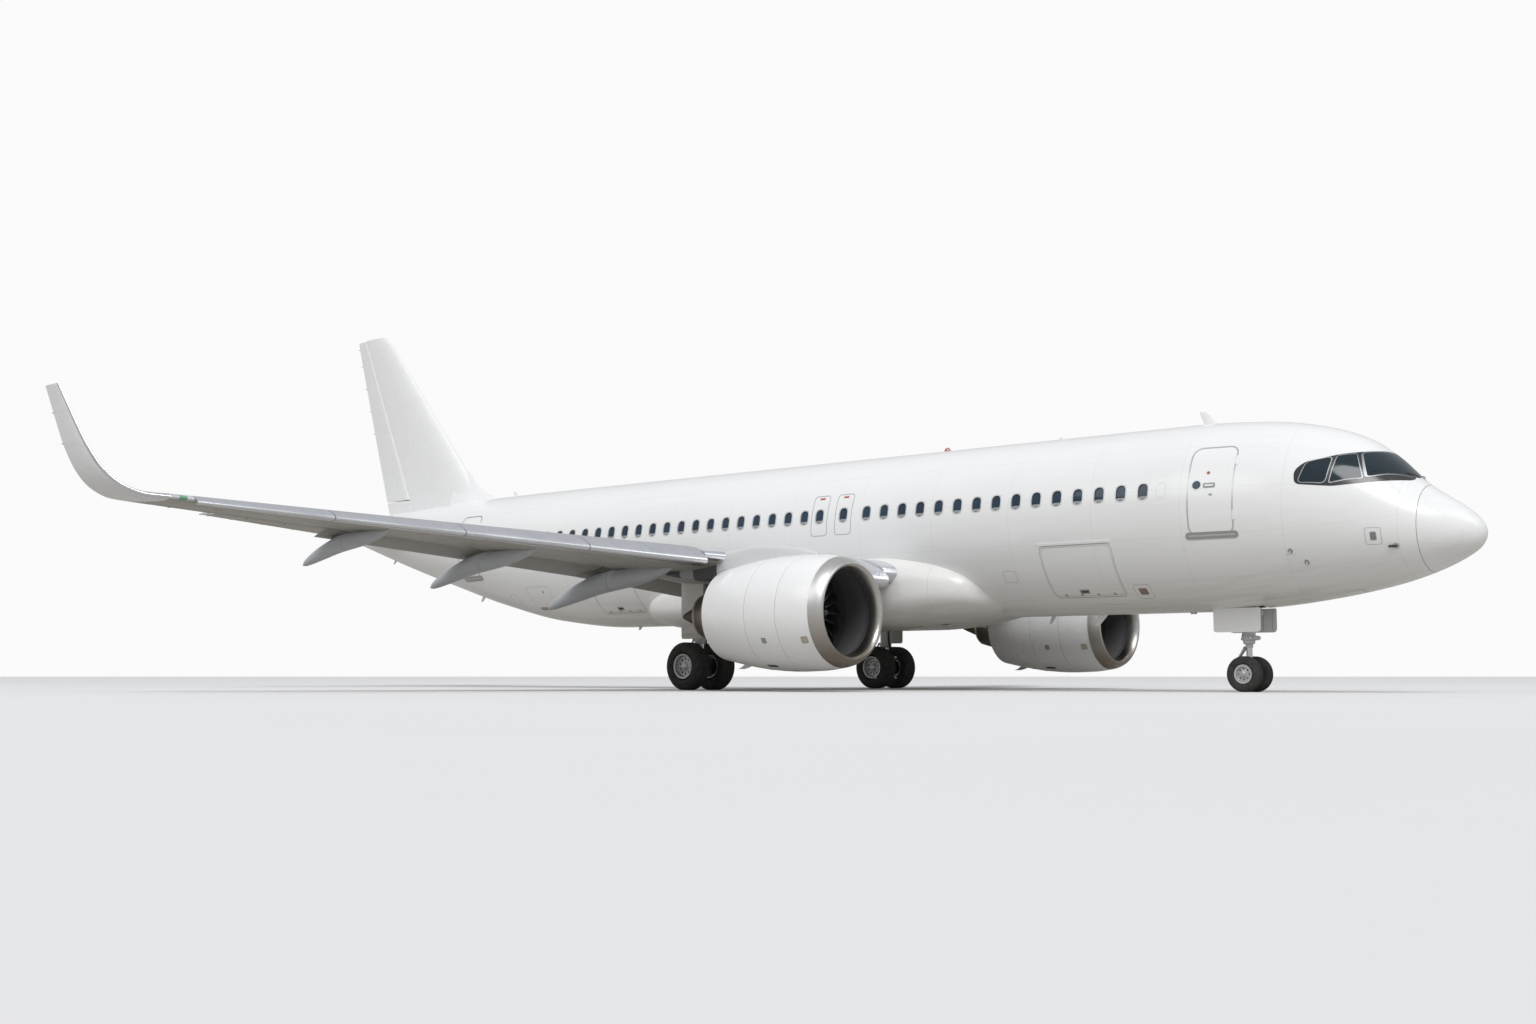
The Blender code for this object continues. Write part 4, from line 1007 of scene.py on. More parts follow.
def metal(
    name, colour, roughness, stain=0.2, stain_colour=(0.25, 0.22, 0.19), grain_along=(2.0, 30.0, 30.0),
    low=None
):
    """Bare metal with a rolled grain and stains; low is a start, an end and a colour for the underside, a
    painted reflection of the ground.
    """
    material, tree, shader, vector = new_material(name)
    streaks, blotches, _ = weather(tree, vector)
    rolled = noise(tree, stretched(tree, vector, grain_along), 3.0, 5.0, 0.7)
    made = blended(tree, sums(tree, "MULTIPLY", streaks, stain), opaque(colour), opaque(stain_colour))
    dark = [part * 0.8 for part in colour]
    made = blended(tree, ranged(tree, rolled, 0.3, 0.7, 0.0, 0.35), made, opaque(dark))
    # Painted reflection of the ground: the underside darkens and browns towards the bottom
    if low:
        start, end, ground_reflection_colour = low
        made = blended(tree, ranged(tree, parted(tree, vector)[2], start, end), made, opaque(ground_reflection_colour))
    finish_surface(tree, shader, made, roughness, blotches, rolled, None, 0.06, 0.14)
    shader.inputs["Metallic"].default_value = 1.0
    return material


def heated_metal(name):
    """The core nozzle: brown-grey metal that goes straw and blue towards its hot end."""
    material, tree, shader, vector = new_material(name)
    streaks, blotches, grain = weather(tree, vector)
    along = parted(tree, vector)[0]
    start, end = NOSE_X - ENGINE_FRONT - 2.9, NOSE_X - ENGINE_FRONT - 4.35
    heat = sums(tree, "ADD", ranged(tree, along, start, end), ranged(tree, blotches, 0.0, 1.0, -0.08, 0.08))
    ramp = node(tree, "ValToRGB", {"Fac": heat})
    stops = ramp.color_ramp.elements
    stops[0].color = (0.30, 0.28, 0.27, 1.0)
    stops[1].color = (0.12, 0.11, 0.12, 1.0)
    for place_at, colour in (
        (0.35, (0.33, 0.28, 0.23)), (0.62, (0.30, 0.23, 0.17)), (0.82, (0.17, 0.145, 0.14))
    ):
        stops.new(place_at).color = opaque(colour)
    made = blended(tree, sums(tree, "MULTIPLY", streaks, 0.4), ramp.outputs[0], (0.10, 0.085, 0.07, 1.0))
    finish_surface(tree, shader, made, 0.36, blotches, grain, None, 0.1, 0.14)
    shader.inputs["Metallic"].default_value = 1.0
    return material


def glazing(name, colour, roughness=0.05):
    """Dark coated glass with a faint bloom."""
    material, tree, shader, vector = new_material(name)
    _, blotches, grain = weather(tree, vector)
    paler = [part * 2.2 + 0.01 for part in colour]
    made = blended(tree, sums(tree, "MULTIPLY", blotches, 0.5), opaque(colour), opaque(paler))
    finish_surface(tree, shader, made, roughness, blotches, grain, None, 0.02, 0.03)
    shader.inputs["Specular IOR Level"].default_value = 0.4
    return material


def lens(name, colour):
    """A coloured lamp glass with moulded ribs."""
    material, tree, shader, vector = new_material(name)
    _, blotches, grain = weather(tree, vector)
    ribs = seam_mask(tree, parted(tree, vector)[0], 0.012, 0.0, 0.003)
    made = blended(tree, sums(tree, "MULTIPLY", ribs, 0.4), opaque(colour), (0.9, 0.9, 0.9, 1.0))
    finish_surface(tree, shader, made, 0.1, blotches, grain, ribs, 0.2, 0.04)
    shader.inputs["Coat Weight"].default_value = 1.0
    return material


def rubber(name, colour, dust=0.35, roughness=0.78):
    """Black rubber with a grey bloom of dust."""
    material, tree, shader, vector = new_material(name)
    _, blotches, grain = weather(tree, vector)
    fine = noise(tree, vector, 9.0, 5.0, 0.65)
    share = sums(tree, "MULTIPLY", ranged(tree, fine, 0.30, 0.80), dust)
    made = blended(tree, share, opaque(colour), (0.20, 0.19, 0.17, 1.0))
    finish_surface(tree, shader, made, roughness, blotches, grain, None, 0.35, 0.08)
    return material


WHITE = (0.86, 0.865, 0.87)
LOOKS = {}


def look(name):
    """A material by its plain name, made once."""
    if name not in LOOKS:
        make, *facts = LOOK_MAKERS[name]
        LOOKS[name] = make(*facts)
    return LOOKS[name]


def settings():
    return bpy.context.scene.airliner


SECTION_SEAMS = ((0, 2.1336, 0.35, 0.007), (3, 0.5236, 0.20, 0.0028))
PANEL_SEAMS = ((1, 1.19, 0.1, 0.006),)
AXIS_HEIGHT = REFERENCE_HEIGHT + ENGINE_HEIGHT
DIRT = (0.50, 0.47, 0.42)
# Looks: a maker and what it takes, first the material's name, its colour and its roughness
LOOK_MAKERS = {
    # The fuselage darkens and browns towards its keel: partly grime, partly painted shade
    "fuselage": (
        paint, "fuselage_white", "fuselage_colour", 0.24, 0.10, DIRT, 0.0, 0.35, SECTION_SEAMS, 0.22,
        (2.75, 1.75, (0.62, 0.585, 0.53)), 0.06, 0.03
    ),
    "white": (paint, "cowl_white", WHITE, 0.26, 0.10, DIRT, 0.0, 0.3, (), 0.35, None, 0.06, 0.03),
    "door_white": (paint, "door_white", WHITE, 0.28, 0.14, (0.48, 0.46, 0.42), 0.0, 0.25),
    "radome": (
        paint, "radome_white", (0.85, 0.855, 0.86), 0.28, 0.16, (0.46, 0.43, 0.38), 0.0, 0.25, (), 0.35, None,
        0.06, 0.03
    ),
    "fin": (
        paint, "fin_white", WHITE, 0.27, 0.08, (0.55, 0.53, 0.50), 0.0, 0.25, ((2, 1.34, 0.4, 0.006),), 0.12,
        None, 0.06, 0.03
    ),
    # The belly fairing darkens and browns towards the bottom: partly grime, partly painted shade
    "belly": (
        paint, "belly_grey", (0.82, 0.815, 0.80), 0.30, 0.22, (0.42, 0.37, 0.31), 0.0, 0.15,
        ((0, 1.62, 0.2, 0.008), (1, 1.75, 0.875, 0.006)), 0.30, (2.15, 1.50, (0.50, 0.46, 0.40))
    ),
    # The undersides of the wing, flaps and tailplane are darker and warmer than the tops: grey paint with
    # painted shade
    "wing_under": (
        paint, "wing_underside", (0.40, 0.385, 0.355), 0.40, 0.5, (0.21, 0.19, 0.16), 0.1, 0.0,
        PANEL_SEAMS, 0.4
    ),
    "wing_top": (
        paint, "wing_top", (0.60, 0.61, 0.61), 0.38, 0.3, (0.33, 0.32, 0.30), 0.1, 0.0, PANEL_SEAMS, 0.4
    ),
    # Flap and aileron undersides: grey paint with painted shade
    "flap_grey": (
        paint, "flap_grey", (0.345, 0.335, 0.31), 0.45, 0.5, (0.17, 0.15, 0.13), 0.1, 0.0,
        ((1, 0.93, 0.4, 0.007),), 0.4
    ),
    "canoe_grey": (paint, "track_fairing_grey", (0.46, 0.48, 0.51), 0.36, 0.35, (0.24, 0.23, 0.22)),
    "winglet": (paint, "winglet_grey", (0.74, 0.745, 0.76), 0.32, 0.2, (0.42, 0.41, 0.39), 0.0, 0.2),
    "light_grey": (paint, "light_grey", (0.64, 0.65, 0.66), 0.34, 0.25, (0.36, 0.35, 0.33)),
    # Tailplane and elevator undersides: grey paint with painted shade
    "tail_grey": (
        paint, "tailplane_grey", (0.42, 0.40, 0.37), 0.4, 0.45, (0.22, 0.195, 0.165), 0.1, 0.0,
        ((1, 1.4, 0.3, 0.006),), 0.4
    ),
    "bare_metal": (metal, "bright_metal", (0.78, 0.80, 0.84), 0.24, 0.25, (0.42, 0.42, 0.42)),
    # The intake lip is browner below: a painted reflection of the ground
    "lip_metal": (
        metal, "lip_metal", (0.68, 0.67, 0.655), 0.30, 0.3, (0.36, 0.34, 0.31), (20.0, 4.0, 4.0),
        (AXIS_HEIGHT, AXIS_HEIGHT - 0.95, (0.26, 0.225, 0.195))
    ),
    "dull_metal": (metal, "dull_metal", (0.36, 0.36, 0.35), 0.42, 0.4),
    "hot_metal": (heated_metal, "hot_metal"),
    "gold_edge": (metal, "straw_metal", (0.44, 0.36, 0.27), 0.34, 0.3, (0.22, 0.16, 0.11)),
    "plug_metal": (metal, "plug_metal", (0.13, 0.105, 0.085), 0.5, 0.5, (0.05, 0.04, 0.035)),
    "soot": (
        paint, "soot_dark", (0.045, 0.043, 0.042), 0.55, 0.4, (0.12, 0.10, 0.085), 0.0, 0.0, (), 0.35, None,
        0.12, 0.15
    ),
    # Near black: the pylon's heat shield, and painted shade on the wing's face ahead of the flaps
    "charcoal": (paint, "heat_shield", (0.085, 0.085, 0.09), 0.5, 0.5, (0.17, 0.145, 0.12)),
    "duct": (paint, "duct_grey", (0.075, 0.075, 0.08), 0.45, 0.3, (0.07, 0.065, 0.06)),
    "liner": (
        paint, "liner_grey", (0.115, 0.115, 0.12), 0.45, 0.3, (0.07, 0.07, 0.07), 0.0, 0.0,
        ((0, 0.045, 0.0, 0.006),), 0.3
    ),
    "blade": (paint, "blade_black", "blade_colour", 0.26, 0.2, (0.09, 0.085, 0.08), 0.2, 0.5),
    "blade_edge": (metal, "blade_edge", (0.42, 0.42, 0.43), 0.3, 0.2),
    # The spinner's dark paint has a faint green tint, a painted reflection of a green glint
    "spinner": (paint, "spinner_dark", (0.016, 0.028, 0.024), 0.16, 0.2, (0.05, 0.06, 0.055), 0.3, 0.8),
    "pane": (glazing, "cabin_pane", (0.016, 0.034, 0.056)),
    "cockpit_pane": (glazing, "cockpit_pane", (0.007, 0.016, 0.022), 0.06),
    "mask": (paint, "windscreen_black", (0.012, 0.012, 0.013), 0.22, 0.15, (0.06, 0.055, 0.05), 0.0, 0.4),
    "seal": (rubber, "seal_rubber", (0.02, 0.02, 0.02), 0.2, 0.6),
    "retainer": (metal, "retainer_metal", (0.30, 0.31, 0.32), 0.35, 0.2),
    "window_frame": (paint, "window_frame", (0.66, 0.67, 0.68), 0.3, 0.2, (0.40, 0.39, 0.37), 0.4),
    "silver": (paint, "silver_trim", (0.60, 0.61, 0.62), 0.3, 0.25, (0.33, 0.32, 0.30), 0.7),
    "scuff": (paint, "scuff_plate", (0.42, 0.42, 0.42), 0.38, 0.5, (0.22, 0.21, 0.20), 0.6),
    "fine_line": (paint, "fine_line", (0.50, 0.50, 0.50), 0.4, 0.3, (0.36, 0.35, 0.34)),
    "groove": (paint, "joint_shadow", (0.20, 0.20, 0.20), 0.6, 0.3, (0.10, 0.095, 0.09)),
    "mark_grey": (paint, "grey_mark", (0.33, 0.34, 0.35), 0.4, 0.3, (0.2, 0.2, 0.2)),
    "mark_tan": (paint, "tan_plate", (0.52, 0.45, 0.36), 0.45, 0.4, (0.30, 0.24, 0.18)),
    "mark_red": (paint, "red_mark", (0.45, 0.10, 0.07), 0.4, 0.3, (0.25, 0.08, 0.06)),
    "vent": (paint, "vent_brown", (0.26, 0.20, 0.17), 0.5, 0.5, (0.08, 0.05, 0.04)),
    "bay": (
        paint, "bay_primer", (0.20, 0.22, 0.20), 0.6, 0.6, (0.07, 0.065, 0.06), 0.0, 0.0, (), 0.35, None, 0.3
    ),
    "gear": (paint, "gear_white", "gear_colour", 0.34, 0.45, (0.22, 0.19, 0.16), 0.1, 0.15),
    "gear_steel": (metal, "gear_steel", (0.30, 0.29, 0.28), 0.38, 0.5),
    "chrome": (metal, "piston_chrome", (0.86, 0.86, 0.87), 0.08, 0.08, (0.5, 0.5, 0.5)),
    "hub": (paint, "wheel_grey", (0.60, 0.61, 0.62), 0.36, 0.5, (0.20, 0.17, 0.14), 0.5),
    "brake": (metal, "brake_steel", (0.16, 0.14, 0.13), 0.5, 0.6, (0.10, 0.06, 0.04)),
    "hose": (rubber, "hose_black", (0.018, 0.018, 0.02), 0.25, 0.5),
    "tyre": (rubber, "tyre_black", (0.022, 0.022, 0.023), 0.26),
    "lens_red": (lens, "lens_red", (0.34, 0.03, 0.03)),
    "lens_green": (lens, "lens_green", (0.01, 0.26, 0.10)),
    "lens_clear": (lens, "lens_clear", (0.70, 0.74, 0.78)),
    "reflector": (metal, "lamp_reflector", (0.85, 0.86, 0.88), 0.1, 0.05),
}


# Fuselage


def barrel_stations(first, last):
    count = int(math.sqrt(BARREL_START) / NOSE_RING_STEP)
    grid = [(NOSE_RING_STEP * number) ** 2 for number in range(1, count + 1)]
    count = int((TAPER_START - BARREL_START) / BARREL_RING_STEP)
    grid += [BARREL_START + BARREL_RING_STEP * number for number in range(count)]
    count = int((LENGTH - TAPER_START) / TAIL_RING_STEP)
    grid += [TAPER_START + TAIL_RING_STEP * number for number in range(count + 1)]
    return [first] + [station for station in grid if first + 0.01 < station < last - 0.02] + [last]


def barrel(first, last, lift=0.0, columns=SKIN_COLUMNS):
    """The fuselage's body between two stations."""
    stations = barrel_stations(first, last)

    def point(row, column):
        return skin_point(stations[row], 2 * math.pi * column / columns, lift)

    return sheet(len(stations) - 1, columns, point, True)


def window_stations():
    return [first + WINDOW_PITCH * number for first, count in WINDOW_ROWS for number in range(count)]


def nose_bay_tool():
    """What the nose wheel bay takes from the belly, with rounded corners in plan."""
    first, last = NOSE_BAY
    outline = rectangle(last - first, 2 * NOSE_BAY_HALF_WIDTH, (first + last) / 2)
    return numbered(bent(plate(outline, 0.10, -3.2, NOSE_BAY_ROOF), place), 1)


def pad_shape(point):
    """A jacking pad: a short round boss."""
    return rod(point + vec(0, 0, 0.15), point, PAD_RADIUS, 24)


def build_fuselage():
    tools = [nose_bay_tool()]
    for _, first, last, low, high in CARGO_DOORS:
        wide, tall = last - first + 2 * CARGO_GAP, high - low + 2 * CARGO_GAP
        outline = rectangle(wide, tall, (first + last) / 2, (low + high) / 2)
        tools.append(
            numbered(on_side(plate(outline, CARGO_CORNER + CARGO_GAP, -CARGO_DEPTH - 0.02, 0.05), -1), 1)
        )
    skin = cut(barrel(RADOME_END, EXHAUST_START), merged(tools))
    # The window pockets are cut a few at a time, which the solver takes more surely than all at once
    stations = window_stations() + list(EXITS)
    grow = 2 * (WINDOW_FRAME - 0.005)
    outline = rectangle(settings().window_width + grow, settings().window_height + grow)
    for side, _ in reversed(SIDES):
        for start in range(0, len(stations), 10):
            tools = []
            for station in stations[start : start + 10]:
                tool = plate(outline, WINDOW_CORNER, -WINDOW_DEPTH, 0.03)
                tools.append(numbered(on_side(tool, side, station, WINDOW_HEIGHT), 1))
            skin = cut(skin, merged(tools))
    for face in skin.faces:
        if face.calc_center_median().x > NOSE_X - RADOME_END - 0.001:
            face.material_index = 1
    pad = pad_shape(belly_point(*NOSE_PAD) + vec(0, 0, -PAD_DROP))
    piece("fuselage_skin", [(skin, ["fuselage", "bay"]), (pad, "silver")], "airframe", ["fuselage"])


def build_nose_bay_fittings():
    """Ribs and stringers that show inside the open rear half of the nose bay."""
    shapes = []
    first, last, half = NOSE_DOORS_END - 0.35, NOSE_BAY[1], NOSE_BAY_HALF_WIDTH
    for station in stops(first, last - 0.06, (last - 0.06 - first) / 5):
        ends = (station + 0.02, station - 0.02)
        for low, high in ((-half, -half + 0.035), (half - 0.035, half)):
            shapes.append(block(place(ends[0], low, -2.0), place(ends[1], high, NOSE_BAY_ROOF)))
        shapes.append(block(place(ends[0], -half, NOSE_BAY_ROOF - 0.05), place(ends[1], half, NOSE_BAY_ROOF)))
    for side in (-0.2, 0.2):
        points = [place(mix(first, last, step / 3), side, NOSE_BAY_ROOF - 0.09) for step in range(4)]
        shapes.append(hose(points, 0.018))
    piece("nose_bay_fittings", [(merged(shapes), "gear_steel")], slot="gear_paint")


def build_radome():
    shell = cut(
        barrel(0.0, RADOME_END - RADOME_GAP), numbered(barrel(0.05, RADOME_END + 0.05, -RADOME_WALL), 1)
    )
    parts = [(shell, ["radome", "light_grey"])]
    # Lightning strips run back from near the tip
    for angle in angles(8, 0.5):
        strip = sliced(plate(rectangle(0.86, 0.01, 0.57), 0, -0.003, 0.0022), 0.03)
        bent(strip, lambda x, y, z: skin_point(x, angle + y / max(fuselage_size(x)[3], 0.2), z))
        parts.append((strip, "radome"))
    piece("radome_shell", parts, "radome", ["radome"], "radome_paint")
    build_radar()


def build_radar():
    """The weather radar on the nose bulkhead, seen when the radome is open."""
    foot = place(RADOME_END, 0.0, RADAR_HEIGHT)
    front = foot + vec(RADAR_REACH, 0, 0)
    parts = [
        (stub(front, (0.035, 0, 0), RADAR_RADIUS, 48), "light_grey"),
        (rod(foot, front, 0.09, 24), "gear_steel"),
        (stub(foot, (0.05, 0, 0), 0.22, 32), "gear_steel"),
    ]
    for number in range(-4, 5):
        rise = 0.075 * number
        half = math.sqrt((RADAR_RADIUS - 0.02) ** 2 - rise**2)
        parts.append((brick(front + vec(0.033, -half, rise - 0.006), (0.006, 2 * half, 0.012)), "mark_grey"))
    for side in (-0.5, -0.25, 0.25, 0.5):
        parts.append((brick(foot + vec(0.0005, side - 0.015, -0.42), (0.03, 0.03, 0.90)), "gear_steel"))
    piece("weather_radar", parts, slot="grey_composite")


def build_exhaust():
    """The tail cone's end with the small engine's outlet bored into it."""
    columns = 64
    top, _, bottom, _ = fuselage_size(LENGTH)
    centre = (top + bottom) / 2
    rings = []
    for station in (EXHAUST_START, 37.15, 37.38, 37.45, LENGTH - 0.02, LENGTH):
        lift = 0.0 if station < LENGTH else -0.02
        rings.append([skin_point(station, angle, lift) for angle in angles(columns)])
    bore = ((LENGTH, 0.25), (LENGTH - 0.015, EXHAUST_BORE), (LENGTH - EXHAUST_DEPTH, EXHAUST_BORE))
    for station, radius in bore:
        turns = [(radius * math.sin(angle), radius * math.cos(angle)) for angle in angles(columns)]
        rings.append([place(station, across, centre + rise) for across, rise in turns])
    shape = lofted(rings, lambda row, column: 0 if row < 2 else 1 if row < 6 else 2)
    band = barrel(EXHAUST_START - 0.05, EXHAUST_START - 0.012, 0.003, columns)
    parts = [(shape, ["fuselage", "plug_metal", "soot"]), (band, "silver")]
    # A fan of guide vanes just inside the outlet
    for angle in angles(6)[:3]:
        reach = vec(0, math.sin(angle), math.cos(angle)) * (EXHAUST_BORE - 0.003)
        parts.append((pin(place(LENGTH - 0.2, 0, centre), reach, 0.009, 10), "dull_metal"))
    piece("exhaust_outlet", parts, "airframe", ["exhaust_cone"], "hot_metal")


def build_windows():
    """Cabin windows: each a lipped frame in its pocket and a pane set back in it, with a grey strip low on
    the pane that is a painted highlight of the lit reveal.
    """
    width, height = settings().window_width, settings().window_height
    lip, deep = WINDOW_FRAME, -WINDOW_DEPTH
    stations = window_stations() + list(EXITS)
    frame_row = (
        "window_frame", width + 2 * lip, height + 2 * lip, 0, 0, WINDOW_CORNER + lip, deep, 0.003, lip
    )
    blank = ("window_frame", width, height, 0, 0, WINDOW_CORNER, -0.004, 0.0025, 0.012)
    pane = ("pane", width + 0.008, height + 0.008, 0, 0, WINDOW_CORNER, deep - 0.002, deep + 0.008)
    # The grey strip over the foot of each pane is a painted highlight of the lit reveal
    sill = ("mark_grey", width * 0.80, height * 0.16, 0, -height * 0.36, 0.025, deep, deep + 0.012)
    for side, end in SIDES:
        parts = []
        for row, places in (
            (frame_row, stations), (blank, (PLUG_STATION,)), (pane, stations), (sill, stations)
        ):
            for station in places:
                parts += flat_parts([row], lambda shape: on_side(shape, side, station, WINDOW_HEIGHT))
        piece(f"cabin_windows_{end}", parts, slot="cockpit_glass")


def build_exits():
    """Overwing exits: a thin outline and the hatch's small release flap."""
    width, height = EXIT_SIZE
    rows = (
        ("mark_grey", width, height, 0, 0, 0.09, -0.004, 0.003, 0.014),
        ("mark_red", 0.16, 0.045, 0, height / 2 - 0.08, 0.015, -0.004, 0.004),
    )
    for side, end in SIDES:
        parts = []
        for station in EXITS:
            parts += flat_parts(rows, lambda shape: on_side(shape, side, station, EXIT_HEIGHT))
        piece(f"overwing_exits_{end}", parts)


def disc(radius, low, high, x=0.0, y=0.0):
    return plate(rectangle(2 * radius, 2 * radius, x, y), radius * 0.98, low, high, 6)


def door_parts(first, last, low, high):
    middle, width, height = (first + last) / 2, last - first, high - low
    trim = "silver" if first < TAPER_START else "scuff"
    foot, near = -height / 2 - 0.01, width / 2 - 0.19
    rows = [
        ("door_white", width - 0.03, height - 0.03, 0, 0, DOOR_CORNER, -0.03, 0.0035),
        (trim, width + 0.03, height + 0.03, 0, 0, DOOR_CORNER + 0.03, -0.03, 0.005, 0.028),
        ("mark_grey", width - 0.005, height - 0.005, 0, 0, DOOR_CORNER, -0.03, 0.0042, 0.010),
        # Scuff plate under the door, with a sill strip on it
        ("scuff", width + 0.18, 0.15, 0, foot, 0.07, -0.02, 0.009),
        ("silver", width + 0.06, 0.035, 0, foot, 0.015, -0.02, 0.016),
        # Round window, handle in its recess, slide pressure mark and hinge arms
        ("window_frame", 0.115, None, near, 0.12, 0, -0.02, 0.007),
        ("pane", 0.088, None, near, 0.12, 0, -0.02, 0.010),
        ("mark_grey", 0.26, 0.11, 0.02, 0.10, 0.03, -0.02, 0.006),
        ("silver", 0.19, 0.035, 0.02, 0.10, 0.015, -0.02, 0.014),
        ("mark_red", 0.035, None, 0.06, 0.37, 0, -0.02, 0.007),
        ("mark_grey", 0.07, 0.045, -0.02, -0.10, 0.01, -0.02, 0.006),
    ]
    rows += [
        ("door_white", 0.07, 0.20, -width / 2 - 0.03, level, 0.02, -0.02, 0.011) for level in (0.62, -0.55)
    ]
    return flat_parts(rows, lambda shape: on_side(shape, 1, middle, (low + high) / 2))


def build_doors():
    for name, *limits in DOORS:
        both(name + "_panel", lambda: door_parts(*limits), name + "_{}")


def build_cargo_doors():
    for name, first, last, low, high in CARGO_DOORS:
        width, height, sill = last - first, high - low, (low - high) / 2

        def lay(shape):
            return on_side(shape, -1, (first + last) / 2, (low + high) / 2)

        rows = [
            ("fuselage", width, height, 0, 0, CARGO_CORNER, -CARGO_DEPTH, 0.0),
            ("fine_line", width - 0.05, height - 0.05, 0, 0, CARGO_CORNER, -0.01, 0.002, 0.012),
            ("mark_grey", 0.24, 0.09, 0.10, sill + 0.12, 0.02, -0.01, 0.004),
            ("soot", 0.18, 0.03, 0.10, sill + 0.12, 0.01, -0.01, 0.011),
        ]
        for share in (-1.5, -0.5, 0.5, 1.5):
            rows.append(("scuff", 0.07, 0.05, width * share / 4.4, sill + 0.05, 0.012, -0.01, 0.003))
        # Frames inside the door, seen when it is open
        inner = -CARGO_DEPTH
        for share in range(-2, 3):
            rows.append(("bay", 0.035, height - 0.16, width * share / 5.2, 0, 0, inner - 0.012, inner))
        piece(name + "_panel", flat_parts(rows, lay), name, [name])
        # The fixed hinge cover above the door
        rows = [("door_white", width + 0.04, 0.05, 0, height / 2 + 0.045, 0.02, -0.006, 0.014)]
        piece(name + "_hinge_cover", flat_parts(rows, lay))


def build_bulk_door():
    first, last, low, high = BULK_DOOR
    width, height = last - first, high - low
    rows = (
        ("fine_line", width, height, 0, 0, 0.09, -0.004, 0.0025, 0.010),
        ("scuff", width * 0.62, 0.08, 0.08, -height / 2 + 0.02, 0.03, -0.004, 0.005),
        ("mark_grey", 0.035, None, -0.2, 0.16, 0, -0.004, 0.006),
    )
    piece(
        "bulk_door", flat_parts(rows, lambda shape: on_side(shape, -1, (first + last) / 2, (low + high) / 2))
    )


def pane_face(corners):
    """The mapping of a unit square onto the nose between four corners."""
    places = []
    for station, height in corners:
        if height is None:
            angle = math.asin(CENTRE_POST / fuselage_size(station)[3])
        else:
            angle = skin_angle(station, height)
        places.append((station, angle))
    (s0, a0), (s1, a1), (s2, a2), (s3, a3) = places

    def function(x, y, z):
        front, rear = mix(s0, s1, y), mix(s3, s2, y)
        front_angle, rear_angle = mix(a0, a1, y), mix(a3, a2, y)
        bow = mix(*CENTRE_BOW, y) * 4 * x * (1 - x) if corners[0][1] is None else 0.0
        return skin_point(mix(front, rear, x) - bow, mix(front_angle, rear_angle, x), z)

    return function


def build_cockpit():
    band = thicken(flat_face(GLAZING_OUTLINE, 0.09), -2.2, 2.2)
    bent(band, lambda x, y, z: place(x, z, y))
    band = cut(band, barrel(0.95, 3.9, 0.004), "INTERSECT")
    band = cut(band, barrel(0.90, 4.0, -0.03))
    parts = [(band, "mask")]
    for side, _ in SIDES:
        for number, corners in enumerate(PANES):
            radius = 0.16 if number == 2 else 0.07
            pane = plate(rectangle(1, 1, 0.5, 0.5), radius, 0.0, 0.0075, 5)
            ring = hoop(rectangle(1.06, 1.06, 0.5, 0.5), radius + 0.03, 0.035, 0.0, 0.009, 5)
            for shape, own in ((pane, "cockpit_pane"), (ring, "retainer")):
                bent(sliced(shape, 0.1, 0.1), pane_face(corners))
                parts.append((shape if side > 0 else mirrored(shape), own))
    # Wipers lie along the foot of the front panes
    for side, _ in SIDES:
        run = [
            pane_face(PANES[0])(share, up, 0.022) for share, up in ((0.08, -0.06), (0.35, 0.10), (0.9, 0.16))
        ]
        parts.append((hose([vec(point.x, point.y * side, point.z) for point in run], 0.008, 8), "seal"))
    piece("cockpit_windows", parts, "airframe", ["cockpit_glazing"], "cockpit_glass")


def build_nose_doors():
    """The two closed doors ahead of the nose leg, and their hinges."""
    first, last = NOSE_BAY[0] + NOSE_DOOR_FRONT_GAP, NOSE_DOORS_END
    for side, end in SIDES:
        inner, outer = side * DOOR_GAP / 2, side * (NOSE_BAY_HALF_WIDTH - DOOR_GAP)
        outline = [
            (first, inner), (last, inner), (last - 0.02, outer), (first + 0.09, outer), (first, outer * 0.72)
        ]
        shape = sliced(plate(outline, 0, -NOSE_DOOR_DEPTH, -0.001), 0.12, 0.05)
        parts = [(bent(shape, belly_point), "fuselage")]
        for share in (0.25, 0.5, 0.75):
            middle = belly_point(mix(first, last, share), (inner + outer) / 2, -NOSE_DOOR_DEPTH)
            parts.append((brick(middle - vec(0, 0.015, 0), (0.02, 0.03, 0.03)), "gear_steel"))
        name = "nose_gear_door_" + end
        piece(name + "_panel", parts, name, [name])


def fairing_point(station, angle, lift=0.0):
    half_width, top, bottom = read_row(FAIRING, station)
    # Rounder where it leaves the fuselage at either end
    share = min(1.0, (station - FAIRING[0][0]) / 3.0, (FAIRING[-1][0] - station) / 3.5)
    power = 2 / mix(2.1, FAIRING_SQUARENESS, max(0.0, share))
    across, rise = signed_power(math.sin(angle), power), signed_power(math.cos(angle), power)
    return place(
        station, (half_width + lift) * across, (top + bottom) / 2 + ((top - bottom) / 2 + lift) * rise
    )


def fairing_body(lift=0.0):
    stations = stops(FAIRING[0][0], FAIRING[-1][0], FAIRING_STEP)
    turns = angles(FAIRING_COLUMNS, 0.5)
    return lofted([[fairing_point(station, angle, lift) for angle in turns] for station in stations])


def main_door_box(side, grow):
    inner, outer = side * (MAIN_BAY_SIDES[0] - grow), side * (MAIN_BAY_SIDES[1] + grow)
    low = place(MAIN_BAY[1] + grow, min(inner, outer), -2.8)
    return block(low, place(MAIN_BAY[0] - grow, max(inner, outer), -1.9))


